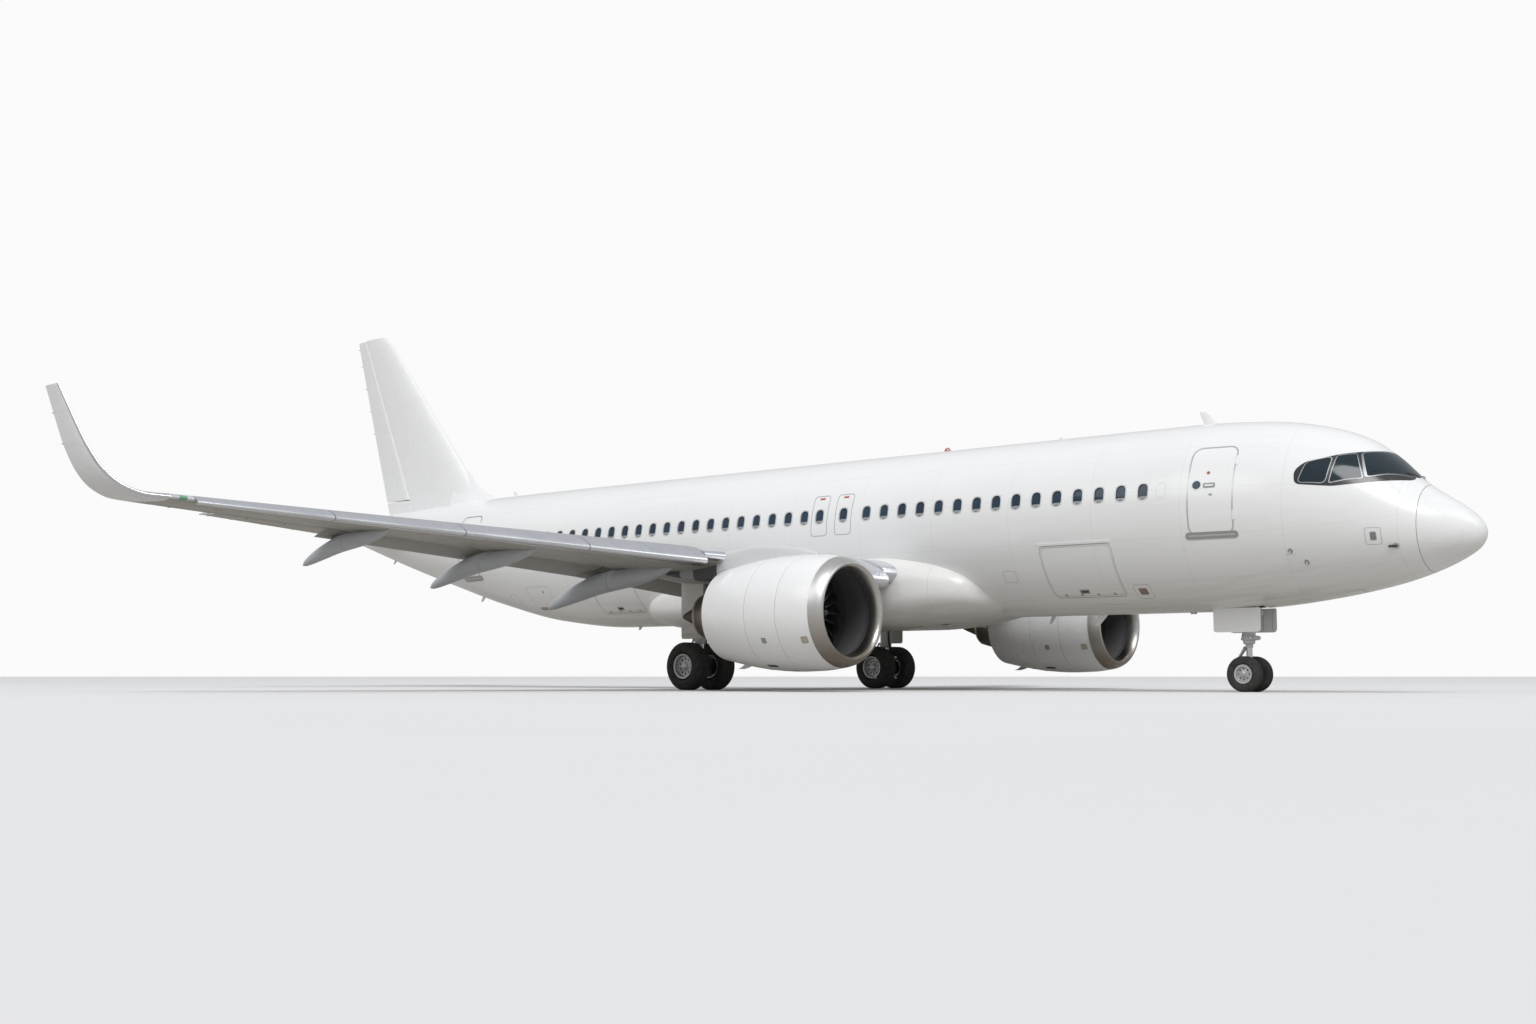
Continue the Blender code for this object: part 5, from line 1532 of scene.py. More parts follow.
def build_belly():
    pockets = [cut(main_door_box(side, DOOR_GAP), fairing_body(-MAIN_DOOR_DEPTH - 0.02)) for side in (-1, 1)]
    parts = [(cut(fairing_body(), numbered(merged(pockets), 1)), ["belly", "bay"])]
    # Air inlets, outlets and small doors under the front of the fairing; the dark plate in each bright ring
    # is painted shade of the opening
    for station, side, long, wide in (
        (12.5, 0.75, 0.32, 0.15), (12.5, -0.75, 0.32, 0.15), (14.2, 0.0, 0.34, 0.26)
    ):
        rows = (
            ("silver", long, wide, 0, 0, 0.04, -0.01, 0.008, 0.02),
            ("soot", long - 0.05, wide - 0.05, 0, 0, 0.02, -0.01, 0.002),
        )
        base = read_curve(FAIRING, station, 3)
        parts += flat_parts(
            rows, lambda shape: bent(shape, lambda x, y, z: place(station + x, side + y, base - z))
        )
    piece("belly_fairing_shell", parts, "airframe", ["belly_fairing"], "belly_composite")


def build_main_doors():
    for side, end in SIDES:
        shape = cut(main_door_box(side, 0.0), fairing_body(-0.001), "INTERSECT")
        shape = cut(shape, fairing_body(-MAIN_DOOR_DEPTH))
        name = "main_gear_door_" + end
        piece(name + "_panel", [(shape, "belly")], name, [name], "belly_composite")


# Wings and tail


def foil_half(share, thickness):
    """Half the thickness of the section at a share of its chord, as a share of the chord."""
    share = max(share, 0.0)
    powers = (math.sqrt(share), share, share**2, share**3, share**4)
    return 5 * thickness * sum(power * factor for power, factor in zip(powers, FOIL_FACTORS))


FOIL_FACTORS = (0.2969, -0.1260, -0.3516, 0.2843, -0.1036)


def foil_point(section, share, level, lift=0.0):
    """A point of a lifting surface's section: level 1 is its upper side and -1 its lower side."""
    station, side, height, chord, thickness, lean, twist = section
    along = (share - 0.25) * chord
    camber = 0.0 if abs(lean) > math.radians(80) else FOIL_CAMBER * 4 * share * (1 - share)
    up = (camber + level * foil_half(share, thickness)) * chord + math.copysign(lift, level)
    aft = along * math.cos(twist) + up * math.sin(twist)
    up = up * math.cos(twist) - along * math.sin(twist)
    return place(station + 0.25 * chord + aft, side - up * math.sin(lean), height + up * math.cos(lean))


def foil_ring(section, loop):
    return [foil_point(section, share, level) for share, level in loop]


NOSE_SHARE = 0.14
NOSE_STEPS = 8
CHORD_STEPS = 14


def nose_loop():
    """The rounded nose of a whole section, from the upper side to the lower one."""
    shares = [NOSE_SHARE * (1 - math.cos(math.pi / 2 * step / NOSE_STEPS)) for step in range(NOSE_STEPS + 1)]
    return [(share, 1) for share in reversed(shares)] + [(share, -1) for share in shares[1:]]


def bay_nose_loop():
    """The blunt nose behind a slat, with as many points as a whole one."""
    return curve(WING_NOSE, 2)


def surface_loop(rear=1.0, front=None):
    """A section from its rear end over the top to the nose and back underneath."""
    front = front or nose_loop()
    upper = [(mix(rear, NOSE_SHARE, step / CHORD_STEPS), 1) for step in range(CHORD_STEPS)]
    lower = [(mix(NOSE_SHARE, rear, (step + 1) / CHORD_STEPS), -1) for step in range(CHORD_STEPS)]
    return upper + front + lower


LOOP_COUNT = 2 * CHORD_STEPS + 2 * NOSE_STEPS + 1


def surface_look(nose_columns=3):
    """Upper side 0, lower side 1, leading edge 2 and the face behind 3."""
    middle = CHORD_STEPS + NOSE_STEPS

    def choose(row, column):
        if column == LOOP_COUNT - 1:
            return 3
        if abs(column + 0.5 - middle) < nose_columns:
            return 2
        return 0 if column < middle else 1

    return choose


def whole_rings(section_at, values, rear=1.0):
    """Rings of a lifting surface at some places along it, each cut off at a share of the chord."""
    return [foil_ring(section_at(value), surface_loop(rear)) for value in values]


def wing_section(side):
    leading, chord, thickness, height, twist = read_row(WING, side, read_line)
    return (leading, side, height, chord, thickness, WING_LEAN, math.radians(twist))


def stops(first, last, step):
    """Evenly spaced values from first to last, both included."""
    count = max(1, round((last - first) / step))
    return [mix(first, last, number / count) for number in range(count + 1)]


def wing_edge(side):
    """The station of the fixed wing's rear edge."""
    section = wing_section(side)
    return section[0] + read_line(WING_REAR, side, 1) * section[3]


def wing_rings():
    """Rings along the wing; where a bay starts or ends, two rings stand at the same place."""
    edges = [WING[0][0], FLAPS[0][1] - BAY_GAP]
    for _, first, last, _ in SLATS:
        edges += [first - BAY_GAP, last + BAY_GAP]
    edges = sorted({*edges, *WING_BREAKS, AILERON_SPAN[1] + BAY_GAP, WING[-1][0]})
    rings = []
    for start, end in zip(edges, edges[1:]):
        if end - start < 0.002:
            continue
        middle = (start + end) / 2
        slatted = any(first - BAY_GAP < middle < last + BAY_GAP for _, first, last, _ in SLATS)
        flapped = FLAPS[0][1] - BAY_GAP < middle < AILERON_SPAN[1] + BAY_GAP
        for side in stops(start, end, 0.4):
            rear = read_line(WING_REAR, side, 1) if flapped else 1.0
            rings.append(
                foil_ring(wing_section(side), surface_loop(rear, bay_nose_loop() if slatted else None))
            )
    return rings


def main_leg_well():
    """What the main leg's bay takes from the underside of the wing."""
    low = place(MAIN_STATION + 0.42, MAIN_SIDE - 1.30, -2.2)
    return numbered(block(low, place(MAIN_STATION - 0.40, MAIN_SIDE + 0.24, -1.02), 0.06, 3), 3)


def on_wing(shape, level):
    """Lays a flat shape on the wing: x is the side, y the share of the chord and z the lift."""
    return bent(sliced(shape, 0.4), lambda x, y, z: foil_point(wing_section(x), y, level, z))


def rear_strip(first, last, ahead, behind, low, high, level):
    """A strip along the fixed wing's rear edge, between two shares of the chord ahead of it."""
    a, b = (read_line(WING_REAR, side, 1) for side in (first, last))
    outline = [(first, a - ahead), (last, b - ahead), (last, b - behind), (first, a - behind)]
    return on_wing(plate(outline, 0, low, high), level)


def wing_parts():
    shape = cut(lofted(wing_rings(), surface_look()), main_leg_well())
    section = wing_section(WING_PAD[1])
    pad = foil_point(section, (WING_PAD[0] - section[0]) / section[3], -1) + vec(0, 0, -PAD_DROP)
    # The face behind the fixed wing, in the gap ahead of the flaps, is near black: painted shade between the
    # parts
    parts = [(shape, ["wing_top", "wing_under", "bare_metal", "charcoal"]), (pad_shape(pad), "silver")]
    parts += [(rear_strip(*ends, 0.13, 0.006, -0.004, 0.006, 1), "wing_top") for ends in SPOILERS]
    # Access panels in a row under the box, as ovals in thin rings
    for number in range(13):
        side = 5.4 + 0.82 * number
        chord = wing_section(side)[3]
        ring = hoop(rectangle(0.44, 0.24 / chord, side, 0.40), 0.10 / chord, 0.007 / chord, -0.003, 0.0035)
        parts.append((on_wing(ring, -1), "flap_grey"))
    # Bright strip along the lower edge of the flap bay
    for ends in ((2.4, 6.30), (6.46, 12.55)):
        parts.append((rear_strip(*ends, 0.028, 0.002, -0.003, 0.005, -1), "bare_metal"))
    return parts


def slat_ring(side):
    leading, _, height, chord, *rest = wing_section(side)
    section = (leading - SLAT_FORWARD * chord, side, height - SLAT_DROP * chord, chord, *rest)
    pivot = foil_point(section, 0.12, 0)
    turn = Matrix.Rotation(SLAT_ANGLE, 4, "Y")
    upper = [(SLAT_UPPER_SHARE * (1 - math.sin(math.pi / 2 * step / 10)), 1) for step in range(10)]
    lower = [(SLAT_LOWER_SHARE * (step / 4) ** 2, -1) for step in range(5)]
    ring = foil_ring(section, upper + lower + curve(SLAT_INNER, 3))
    return [pivot + turn @ (point - pivot) for point in ring]


def slat_parts(first, last, count):
    parts = []
    length = (last - first) / count
    for number in range(count):
        start = first + number * length + (SLAT_JOINT / 2 if number else 0)
        end = first + (number + 1) * length - (SLAT_JOINT / 2 if number < count - 1 else 0)
        skin = lofted(
            [slat_ring(side) for side in stops(start, end, 0.5)], lambda row, column: int(column > 13)
        )
        parts.append((skin, ["bare_metal", "dull_metal"]))
        for share in (0.22, 0.78):
            section = wing_section(mix(start, end, share))
            out, back = foil_point(section, 0.012, -0.2), foil_point(section, 0.075, -0.15)
            half = vec(0, 0.022, 0.012 * section[3])
            parts.append((block(back - half, out + half, 0.005), "dull_metal"))
            parts.append((pin(back, half * 1.4, 0.014, 10), "gear_steel"))
    return parts


def flap_ring(side):
    section = wing_section(side)
    share = read_line(WING_REAR, side, 1)
    start = foil_point(section, share, 0)
    chord = (1 - share) * section[3] * FLAP_GROWTH
    station, height = NOSE_X - start.x + FLAP_AFT, start.z - REFERENCE_HEIGHT - FLAP_DROP
    return foil_ring((station, side, height, chord, FLAP_THICKNESS, section[5], FLAP_ANGLE), surface_loop())


def flap_parts(first, last):
    ends = [flap_ring(first), flap_ring(last)]
    rings = [[mix(a, b, share) for a, b in zip(*ends)] for share in stops(0.0, 1.0, 0.1)]
    parts = [(lofted(rings, surface_look(5)), ["wing_top", "flap_grey", "bare_metal", "flap_grey"])]
    # Seal plates at both ends
    for ring in (rings[0], rings[-1]):
        middle = sum(ring, Vector()) / len(ring)
        swollen = [middle + (point - middle) * 1.012 for point in ring]
        parts.append((lofted([swollen, [point + vec(0, 0.012, 0) for point in swollen]]), "dull_metal"))
    return parts


def hinge_geometry(section, cut_share):
    radius = foil_half(cut_share, section[4]) * section[3] * 0.93
    return cut_share + (radius + 0.014) / section[3], radius


def control_ring(section, cut_share):
    """A control surface's section: a round nose about its hinge, then the foil to its trailing edge."""
    share, radius = hinge_geometry(section, cut_share)
    rear = [mix(1.0, share, step / 8) for step in range(9)]
    ring = foil_ring(section, [(part, 1) for part in rear])
    for step in range(1, 12):
        angle = math.radians(90 - 15 * step)
        nose_share = share - radius * math.cos(angle) / section[3]
        level = radius * math.sin(angle) / (foil_half(nose_share, section[4]) * section[3])
        ring.append(foil_point(section, nose_share, level))
    return ring + foil_ring(section, [(part, -1) for part in reversed(rear[1:])])


def control_surface(section_at, first, last, cut_share):
    rings = [control_ring(section_at(value), cut_share) for value in stops(first, last, 0.4)]
    return lofted(rings, lambda row, column: int(column > 13))


def wicks(sections, along=(-1, 0, 0)):
    """Static dischargers at the trailing edge: a thin rod on a small foot."""
    along = Vector(along).normalized()
    parts = []
    for section in sections:
        point = foil_point(section, 1.0, 0)
        for reach, radius, steps in ((0.11, 0.0035, 6), (0.03, 0.008, 8)):
            parts.append((rod(point - along * 0.02, point + along * reach, radius, steps), "soot"))
    return parts


def aileron_parts():
    cut_share = WING_REAR[-1][1]
    parts = [(control_surface(wing_section, *AILERON_SPAN, cut_share), ["wing_top", "flap_grey"])]
    parts += wicks(wing_section(side) for side in (13.4, 14.2, 15.0, 15.8))
    for side in (13.1, 15.8):
        section = wing_section(side)
        hinge = foil_point(section, hinge_geometry(section, cut_share)[0], 0)
        parts.append((pin(hinge, vec(0, 0.05, 0), 0.03, 12), "dull_metal"))
    return parts


def track_ring(side, size, aft):
    level, half_width, half_height = read_row(TRACK_SHAPE, aft)
    station, middle = wing_edge(side) + aft * size, wing_section(side)[2]
    return [
        place(
            station, side + half_width * signed_power(math.sin(angle), 0.85) * size,
            middle + (level + half_height * math.cos(angle)) * size
        )
        for angle in angles(28)
    ]


def track_parts():
    """Flap track fairings in two halves, with the bracket inside and two pins across it."""
    parts = []
    for side, size in TRACKS:
        for start, end in ((TRACK_SHAPE[0][0], TRACK_SPLIT), (TRACK_SPLIT + 0.012, TRACK_SHAPE[-1][0])):
            parts.append(
                (lofted([track_ring(side, size, aft) for aft in stops(start, end, 0.12)]), "canoe_grey")
            )
        edge, middle = wing_edge(side), wing_section(side)[2]
        low = place(edge + 0.82 * size, side - 0.03, middle - 0.45 * size)
        parts.append(
            (block(low, place(edge + 0.30 * size, side + 0.03, middle - 0.20 * size), 0.006), "dull_metal")
        )
        for aft in (0.45, 0.75):
            point = place(edge + aft * size, side, middle - 0.30 * size)
            parts.append((pin(point, vec(0, 0.05, 0), 0.03, 14), "gear_steel"))
    return parts


def winglet_section(share):
    rows = [(number, *row) for number, row in enumerate(WINGLET)]
    side, leading, height, chord, lean = read_row(rows, share * (len(rows) - 1))
    return (leading, side, height, chord, 0.10, math.radians(min(lean, 79.9)), 0.0)


def winglet_parts():
    shape = lofted(whole_rings(winglet_section, stops(0, 1, 0.04)), surface_look(6))
    parts = [(shape, ["winglet", "winglet", "bare_metal", "winglet"])]
    return parts + wicks([winglet_section(share) for share in (0.82, 0.92)], (-1, 0, 0.2))


def fin_section(height):
    leading, chord = read_row(FIN, height, read_line)
    return (leading, 0.0, height, chord, FIN_THICKNESS, math.radians(90), 0.0)


def build_fin():
    base, foot, top = FIN[0][0], RUDDER_LIMITS[0] - BAY_GAP, FIN[-1][0]
    rings = whole_rings(fin_section, stops(base, foot, 0.3))
    rings += whole_rings(fin_section, stops(foot, 7.60, 0.4) + stops(7.61, top, 0.05), RUDDER_SHARE)
    parts = [(lofted(rings, surface_look()), ["fin", "fin", "fin", "scuff"])]
    # Dorsal fillet: a bell-shaped section that sharpens into the fin's leading edge
    rings = []
    low = FILLET_FOOT + 0.4
    for station in stops(FILLET[0][0] - 0.5, FILLET[-1][0], 0.12):
        crest, half = 1.90, 0.10
        if station >= FILLET[0][0]:
            crest, half = read_row(FILLET, station)
            half = 0.16 + 2.2 * half
        ring = []
        for across in stops(-1, 1, 2 / 24):
            blunt = math.sqrt(across * across + 0.003) / math.sqrt(1.003)
            ring.append(place(station, across * half, low + (crest - low) * (1 - blunt) ** 1.25))
        rings.append(ring)
    parts.append((lofted(rings), "fin"))
    # A metal rod along the tip
    parts.append((rod(place(36.0, -0.02, 7.83), place(36.7, -0.02, 7.83), 0.014, 10), "light_grey"))
    piece("fin_shell", parts, "airframe", ["fin"], "white_composite")


def build_rudder():
    parts = [(control_surface(fin_section, *RUDDER_LIMITS, RUDDER_SHARE), "fin")]
    parts += wicks(fin_section(height) for height in (4.6, 5.4, 6.2, 7.0, 7.6))
    piece("rudder_shell", parts, "rudder", ["rudder"], "white_composite")


def tail_section(side):
    leading, chord, height = read_row(TAILPLANE, side, read_line)
    return (leading, side, height, chord, TAILPLANE_THICKNESS, math.radians(6), 0.0)


def tailplane_parts():
    first, last = ELEVATOR_SPAN[0] - BAY_GAP, ELEVATOR_SPAN[1] + BAY_GAP
    rings = whole_rings(tail_section, stops(TAILPLANE[0][0], first, 0.3))
    rings += whole_rings(tail_section, stops(first, last, 0.4), ELEVATOR_SHARE)
    rings += whole_rings(tail_section, stops(last, TAILPLANE[-1][0], 0.05))
    parts = [(lofted(rings, surface_look(4)), ["wing_top", "tail_grey", "dull_metal", "tail_grey"])]
    # Pale root fairing that slides over the fuselage
    rings = []
    for side, swell in ((0.60, 0.035), (0.85, 0.03), (1.15, 0.018), (1.36, 0.003)):
        leading, _, height, chord, thickness, *rest = tail_section(side)
        grown = (leading - swell * 3, side, height, chord + swell * 5, thickness + swell * 0.8, *rest)
        rings.append(foil_ring(grown, surface_loop()))
    return parts + [(lofted(rings), "fin")] + wicks([tail_section(6.15)])


def elevator_parts():
    parts = [(control_surface(tail_section, *ELEVATOR_SPAN, ELEVATOR_SHARE), ["wing_top", "tail_grey"])]
    return parts + wicks(tail_section(side) for side in (3.2, 4.2, 5.2, 5.9))


def build_tail_apron():
    """The outline and a seam of the pale plate round each tailplane root, on which the trimming tailplane
    slides.
    """
    for side, end in SIDES:
        outline = [(31.9, 0.55), (32.3, 1.02), (36.0, 1.42), (36.1, 1.10), (33.9, 0.50)]
        rim = sliced(hoop(outline, 0.12, 0.008, -0.003, 0.004), 0.2, 0.08)
        seam = sliced(plate(rectangle(0.008, 1.1, 34.85, 1.2), 0, -0.003, 0.003), None, 0.06)
        parts = [
            (bent(shape, lambda x, y, z: side_point(x, y, side, z)), "mark_grey") for shape in (rim, seam)
        ]
        piece(f"tail_apron_{end}", parts)


# Engines


def engine_place(shape):
    return shifted(shape, place(ENGINE_FRONT, ENGINE_SIDE, ENGINE_HEIGHT))


def nacelle_profile():
    """The cowl's outer line with a shallow groove at each seam, then the duct's line back."""
    outer = curve(NACELLE_OUTER, 6)
    for seam in NACELLE_SEAMS:
        radius = read_curve(NACELLE_OUTER, seam, 1)
        outer = [row for row in outer if abs(row[0] - seam) > 0.012]
        outer += [(seam - 0.007, radius), (seam - 0.005, radius - 0.008)]
        outer += [(seam + 0.005, radius - 0.008), (seam + 0.007, radius)]
    return sorted(outer), curve(NACELLE_INNER, 5)


def cowl_point(aft, angle, lift, sign=1):
    """A point on the cowl: a distance aft, an angle above the horizontal to starboard and a lift."""
    radius = read_curve(NACELLE_OUTER, aft, 1) + lift
    centre = place(ENGINE_FRONT, sign * ENGINE_SIDE, ENGINE_HEIGHT)
    return centre + vec(-aft, -radius * math.cos(angle), radius * math.sin(angle))


def nacelle_parts():
    outer, inner = nacelle_profile()
    profile = outer + inner
    count = len(outer)

    def choose(row, column):
        aft = (profile[row][0] + profile[(row + 1) % len(profile)][0]) / 2
        if row < count - 1:
            return 1 if any(abs(aft - seam) < 0.0055 for seam in NACELLE_SEAMS) else 0
        if row == count - 1:
            return 4
        return 3 if 0.42 < aft < 0.98 else 2

    parts = [(engine_place(turned(profile, choose=choose)), ["white", "groove", "duct", "liner", "silver"])]
    centre = place(ENGINE_FRONT, ENGINE_SIDE, ENGINE_HEIGHT)
    # Split line of the two cowl halves at the bottom, its latches and the drain mast
    bottom = -math.pi / 2
    line = sliced(plate(rectangle(2.9, 0.010, 1.9, bottom), 0, -0.003, 0.0025), 0.1)
    parts.append((bent(line, cowl_point), "groove"))
    rows = [("silver", 0.10, 0.05, aft, bottom, 0.01, -0.003, 0.006) for aft in (1.3, 1.6, 1.9, 2.3, 2.7)]
    parts += flat_parts(rows, lambda shape: bent(shape, cowl_point))
    rings = []
    for aft, down in ((2.95, 0.0), (3.10, 0.10), (3.22, 0.16)):
        width, long = 0.025 * (1 - down * 3), 0.16 * (1 - down * 2.2)
        foot = centre + vec(-aft, 0, -read_curve(NACELLE_OUTER, min(aft, COWL_END), 1) + 0.03 - down)
        rings.append(
            [foot + vec(-long * math.cos(angle), width * math.sin(angle), 0) for angle in angles(12)]
        )
    parts.append((lofted(rings), "light_grey"))
    # Strake on the inboard side: a thin triangular fin
    rings = []
    rows = ((0.95, 0.0), (1.45, 0.17), (1.80, 0.20), (1.84, 0.0))
    pairs = [mix(Vector(a), Vector(b), step / 4) for a, b in zip(rows, rows[1:]) for step in range(4)]
    for aft, rise in pairs + [rows[-1]]:
        angle = math.radians(mix(37, 33, (aft - 0.85) / 1.4))
        out, across = vec(0, -math.cos(angle), math.sin(angle)), vec(0, math.sin(angle), math.cos(angle))
        foot = centre + vec(-aft, 0, 0) + out * (read_curve(NACELLE_OUTER, aft, 1) - 0.01)
        tip = foot + out * (rise + 0.012)
        rings.append(
            [foot + across * 0.014, tip + across * 0.005, tip - across * 0.005, foot - across * 0.014]
        )
    return parts + [(lofted(rings), "light_grey")]


def lip_parts():
    return [(engine_place(turned(curve(LIP_PROFILE, 3))), "lip_metal")]


def core_parts():
    outer = curve(CORE_OUTER, 4)
    edge = [(4.315, 0.485), (4.31, 0.470), (4.20, 0.462), (4.10, 0.42)]
    profile = [(CORE_OUTER[0][0], 0.0)] + outer + edge + curve(CORE_PLUG, 3)

    def choose(row, column):
        aft = (profile[row][0] + profile[min(row + 1, len(profile) - 1)][0]) / 2
        if row <= len(outer):
            return 1 if aft > 4.22 else 0
        return 2 if row <= len(outer) + 3 else 3

    shape = turned(profile, choose=choose, closed=False)
    vanes = []
    for angle in angles(30, 0.5):
        vane = lofted([blade_ring(radius, 0.30, 10, 0.018, 0.0, 1.88) for radius in stops(0.52, 1.043, 0.13)])
        vanes.append(moved(vane, Matrix.Rotation(angle, 4, "X")))
    parts = [(shape, ["hot_metal", "gold_edge", "soot", "plug_metal"]), (merged(vanes), "duct")]
    # Seams round the nozzle
    for aft in (2.75, 3.35, 3.95):
        radius = read_curve(CORE_OUTER, aft, 1)
        band = [(-0.012, -0.01), (-0.010, 0.005), (0.010, 0.005), (0.012, -0.01)]
        parts.append((turned([(aft + shift, radius + rise) for shift, rise in band]), "dull_metal"))
    return [(engine_place(shape), own) for shape, own in parts]


def blade_ring(radius, chord, stagger, thickness, sweep, plane):
    """A cambered blade section across the X axis at a radius."""
    tilt = math.radians(stagger)
    along, across = vec(-math.cos(tilt), math.sin(tilt), 0), vec(math.sin(tilt), math.cos(tilt), 0)
    ring = []
    for angle in angles(16):
        share = math.cos(angle)
        camber = 0.05 * chord * (1 - share * share)
        level = camber + thickness / 2 * math.sin(angle) * (1 - 0.35 * share)
        ring.append(vec(-plane - sweep, 0, radius) + along * chord / 2 * share + across * level)
    return ring


def fan_parts():
    blades = []
    for turn in angles(settings().blade_count):
        rings = []
        for radius in stops(FAN_BLADE[0][0], FAN_RADIUS, 0.06):
            rings.append(blade_ring(radius, *read_row(FAN_BLADE, radius), FAN_PLANE))
        blade = lofted(rings, lambda row, column: int(column in (7, 8)))
        blades.append(moved(blade, Matrix.Rotation(turn, 4, "X")))
    spinner = turned(curve(SPINNER, 5) + [(SPINNER[-1][0], 0.0)], 64, closed=False)
    bolts = []
    for angle in angles(12):
        out = vec(0, math.sin(angle), math.cos(angle))
        bolts.append(stub(vec(-1.20, 0, 0) + out * 0.300, out * 0.014, 0.010, 6))
    parts = ((merged(blades), ["blade", "blade_edge"]), (spinner, "spinner"), (merged(bolts), "gear_steel"))
    return [(engine_place(shape), own) for shape, own in parts]


def pylon_parts():
    rings = []
    for station in stops(PYLON[0][0], PYLON[-1][0], 0.15):
        low, high, half = read_row(PYLON, station)
        ring = []
        for angle in angles(32, 0.5):
            across, rise = signed_power(math.sin(angle), 0.45), signed_power(math.cos(angle), 0.55)
            ring.append(
                place(station, ENGINE_SIDE + half * across, (low + high) / 2 + (high - low) / 2 * rise)
            )
        rings.append(ring)

    def choose(row, column):
        station = PYLON[0][0] + (row + 0.5) * 0.15
        low = 5 < column < 26
        if low and 15.95 < station < 16.35:
            return 2
        return 1 if low and station > 15.2 else 0

    return [(lofted(rings, choose), ["light_grey", "charcoal", "mark_grey"])]


def build_cowl_marks():
    """Small plates on the starboard side of both engine cowls."""
    for sign, end in SIDES:
        parts = []
        for aft, degrees, long, wide, own in COWL_MARKS:
            radius, middle = read_curve(NACELLE_OUTER, aft, 1), math.radians(degrees)
            tall = wide / radius
            rows = (
                (own, long, tall, aft, middle, tall * 0.2, -0.003, 0.004),
                ("groove", long + 0.03, tall + 0.03 / radius, aft, middle, tall * 0.25, -0.003, 0.003, 0.012),
            )
            parts += flat_parts(rows, lambda shape: bent(shape, lambda x, y, z: cowl_point(x, y, z, sign)))
        piece(f"cowl_marks_{end}", parts)


# Landing gear


def upright(profile, centre):
    """A turned column: rows of height above the ground and radius."""
    rows = [(profile[0][0], 0.0), *profile, (profile[-1][0], 0.0)]
    return revolved(
        rows, 28, lambda height, r, sine, cosine: vec(centre.x + r * cosine, centre.y + r * sine, height)
    )


def rods(foot, rows):
    """Round members from a table of start and end (ahead, outboard, height), radius and look."""
    return [(rod(foot + Vector(start), foot + Vector(end), radius), own) for start, end, radius, own in rows]


def tyre_shape(radius, width, centre, groove_count):
    """A tyre with a bulging sidewall and grooves round its tread, about an axle along Y."""
    rim, half = radius * 0.50, width / 2
    middle, tread = (radius + rim) / 2, half * 0.62
    line = []
    for step in range(41):
        angle = math.radians(-38 + 256 * step / 40)
        across, rise = signed_power(math.cos(angle), 0.62), signed_power(math.sin(angle), 0.72)
        line.append((half * across, middle + (radius - middle) * rise))
    walls = [(y, r) for y, r in line if r >= rim and not (abs(y) < tread and r > middle)]
    crown = []
    for number in range(groove_count):
        at = mix(tread * 0.78, -tread * 0.78, number / (groove_count - 1))
        crown += [
            (at + 0.009, radius), (at + 0.006, radius - 0.010), (at - 0.006, radius - 0.010),
            (at - 0.009, radius),
        ]
    rows = [row for row in walls if row[0] > 0] + [(tread, radius - 0.001), *crown, (-tread, radius - 0.001)]
    rows += [row for row in walls if row[0] <= 0]

    def point(y, r, sine, cosine):
        # The foot of the tyre is flattened to where its CAD solid stands
        return centre + vec(r * sine, y, max(-radius * FACET, r * cosine))

    return revolved(rows + rows[:1], 72, point, shift=0.5)


# A rim's section: shares of half the width outboard of its middle and of the rim's radius, and metres
# more; without a share of the radius, the last value is one of the axle's
RIM_SECTION = (
    (-0.86, 1, -0.002), (-0.80, 1, -0.03), (-0.50, 0.84, 0), (0.20, 0.80, 0), (0.30, 0.42, 0),
    (0.55, 0.34, 0), (0.60, None, 0.6), (0.48, None, 0.55), (0.46, 0.36, 0), (0.38, 0.46, 0),
    (0.42, 0.80, 0), (0.70, 0.90, 0), (0.86, 1, -0.03), (0.90, 1, 0.012), (0.84, 1, 0.014),
    (0.80, 1, -0.002), (-0.86, 1, -0.002),
)
# Its cap's section, in the same shares
CAP_SECTION = ((0.50, 0.0), (0.50, 0.30), (0.66, 0.28), (0.72, 0.20), (0.74, 0.0))


def wheel_parts(radius, width, spacing, station, side, axle, holes):
    """Two rims with lightening holes and bolts, joined by their axle, and their brakes' drive."""
    centre = vec(NOSE_X - station, side, radius * FACET)
    rim, half = radius * 0.50, width / 2
    parts = []
    for sign in (-1, 1):
        middle = centre + vec(0, sign * spacing / 2, 0)

        def point(out, r, sine, cosine):
            return middle + vec(r * sine, sign * out, r * cosine)

        rows = [
            (half * out, axle * more if share is None else rim * share + more) for out, share,
            more in RIM_SECTION
        ]
        tools = []
        for angle in angles(holes):
            spot = middle + vec(math.sin(angle), 0, math.cos(angle)) * rim * 0.62
            tools.append(pin(spot, vec(0, half * 1.1, 0), rim * 0.095, 14))
        parts.append((cut(revolved(rows, 64, point), merged(tools)), "hub"))
        fasteners = []
        for angle in angles(holes * 2, 0.5):
            spot = middle + vec(
                math.sin(angle) * rim * 0.86, sign * half * 0.55, math.cos(angle) * rim * 0.86
            )
            fasteners.append(stub(spot, (0, sign * half * 0.16, 0), rim * 0.028, 6))
        parts.append((merged(fasteners), "gear_steel"))
        parts.append((revolved([(half * out, rim * r) for out, r in CAP_SECTION], 32, point), "silver"))
        inner = middle - vec(0, sign * half * 0.85, 0)
        parts.append((stub(inner, (0, sign * half * 0.9, 0), rim * 0.66, 40), "brake"))
    return parts + [(pin(centre, vec(0, spacing / 2, 0), axle * 0.96, 24), "gear_steel")]


def main_wheel_parts():
    return wheel_parts(*MAIN_TYRE, MAIN_SPACING, MAIN_STATION, MAIN_SIDE, AXLE_RADIUS, 10)


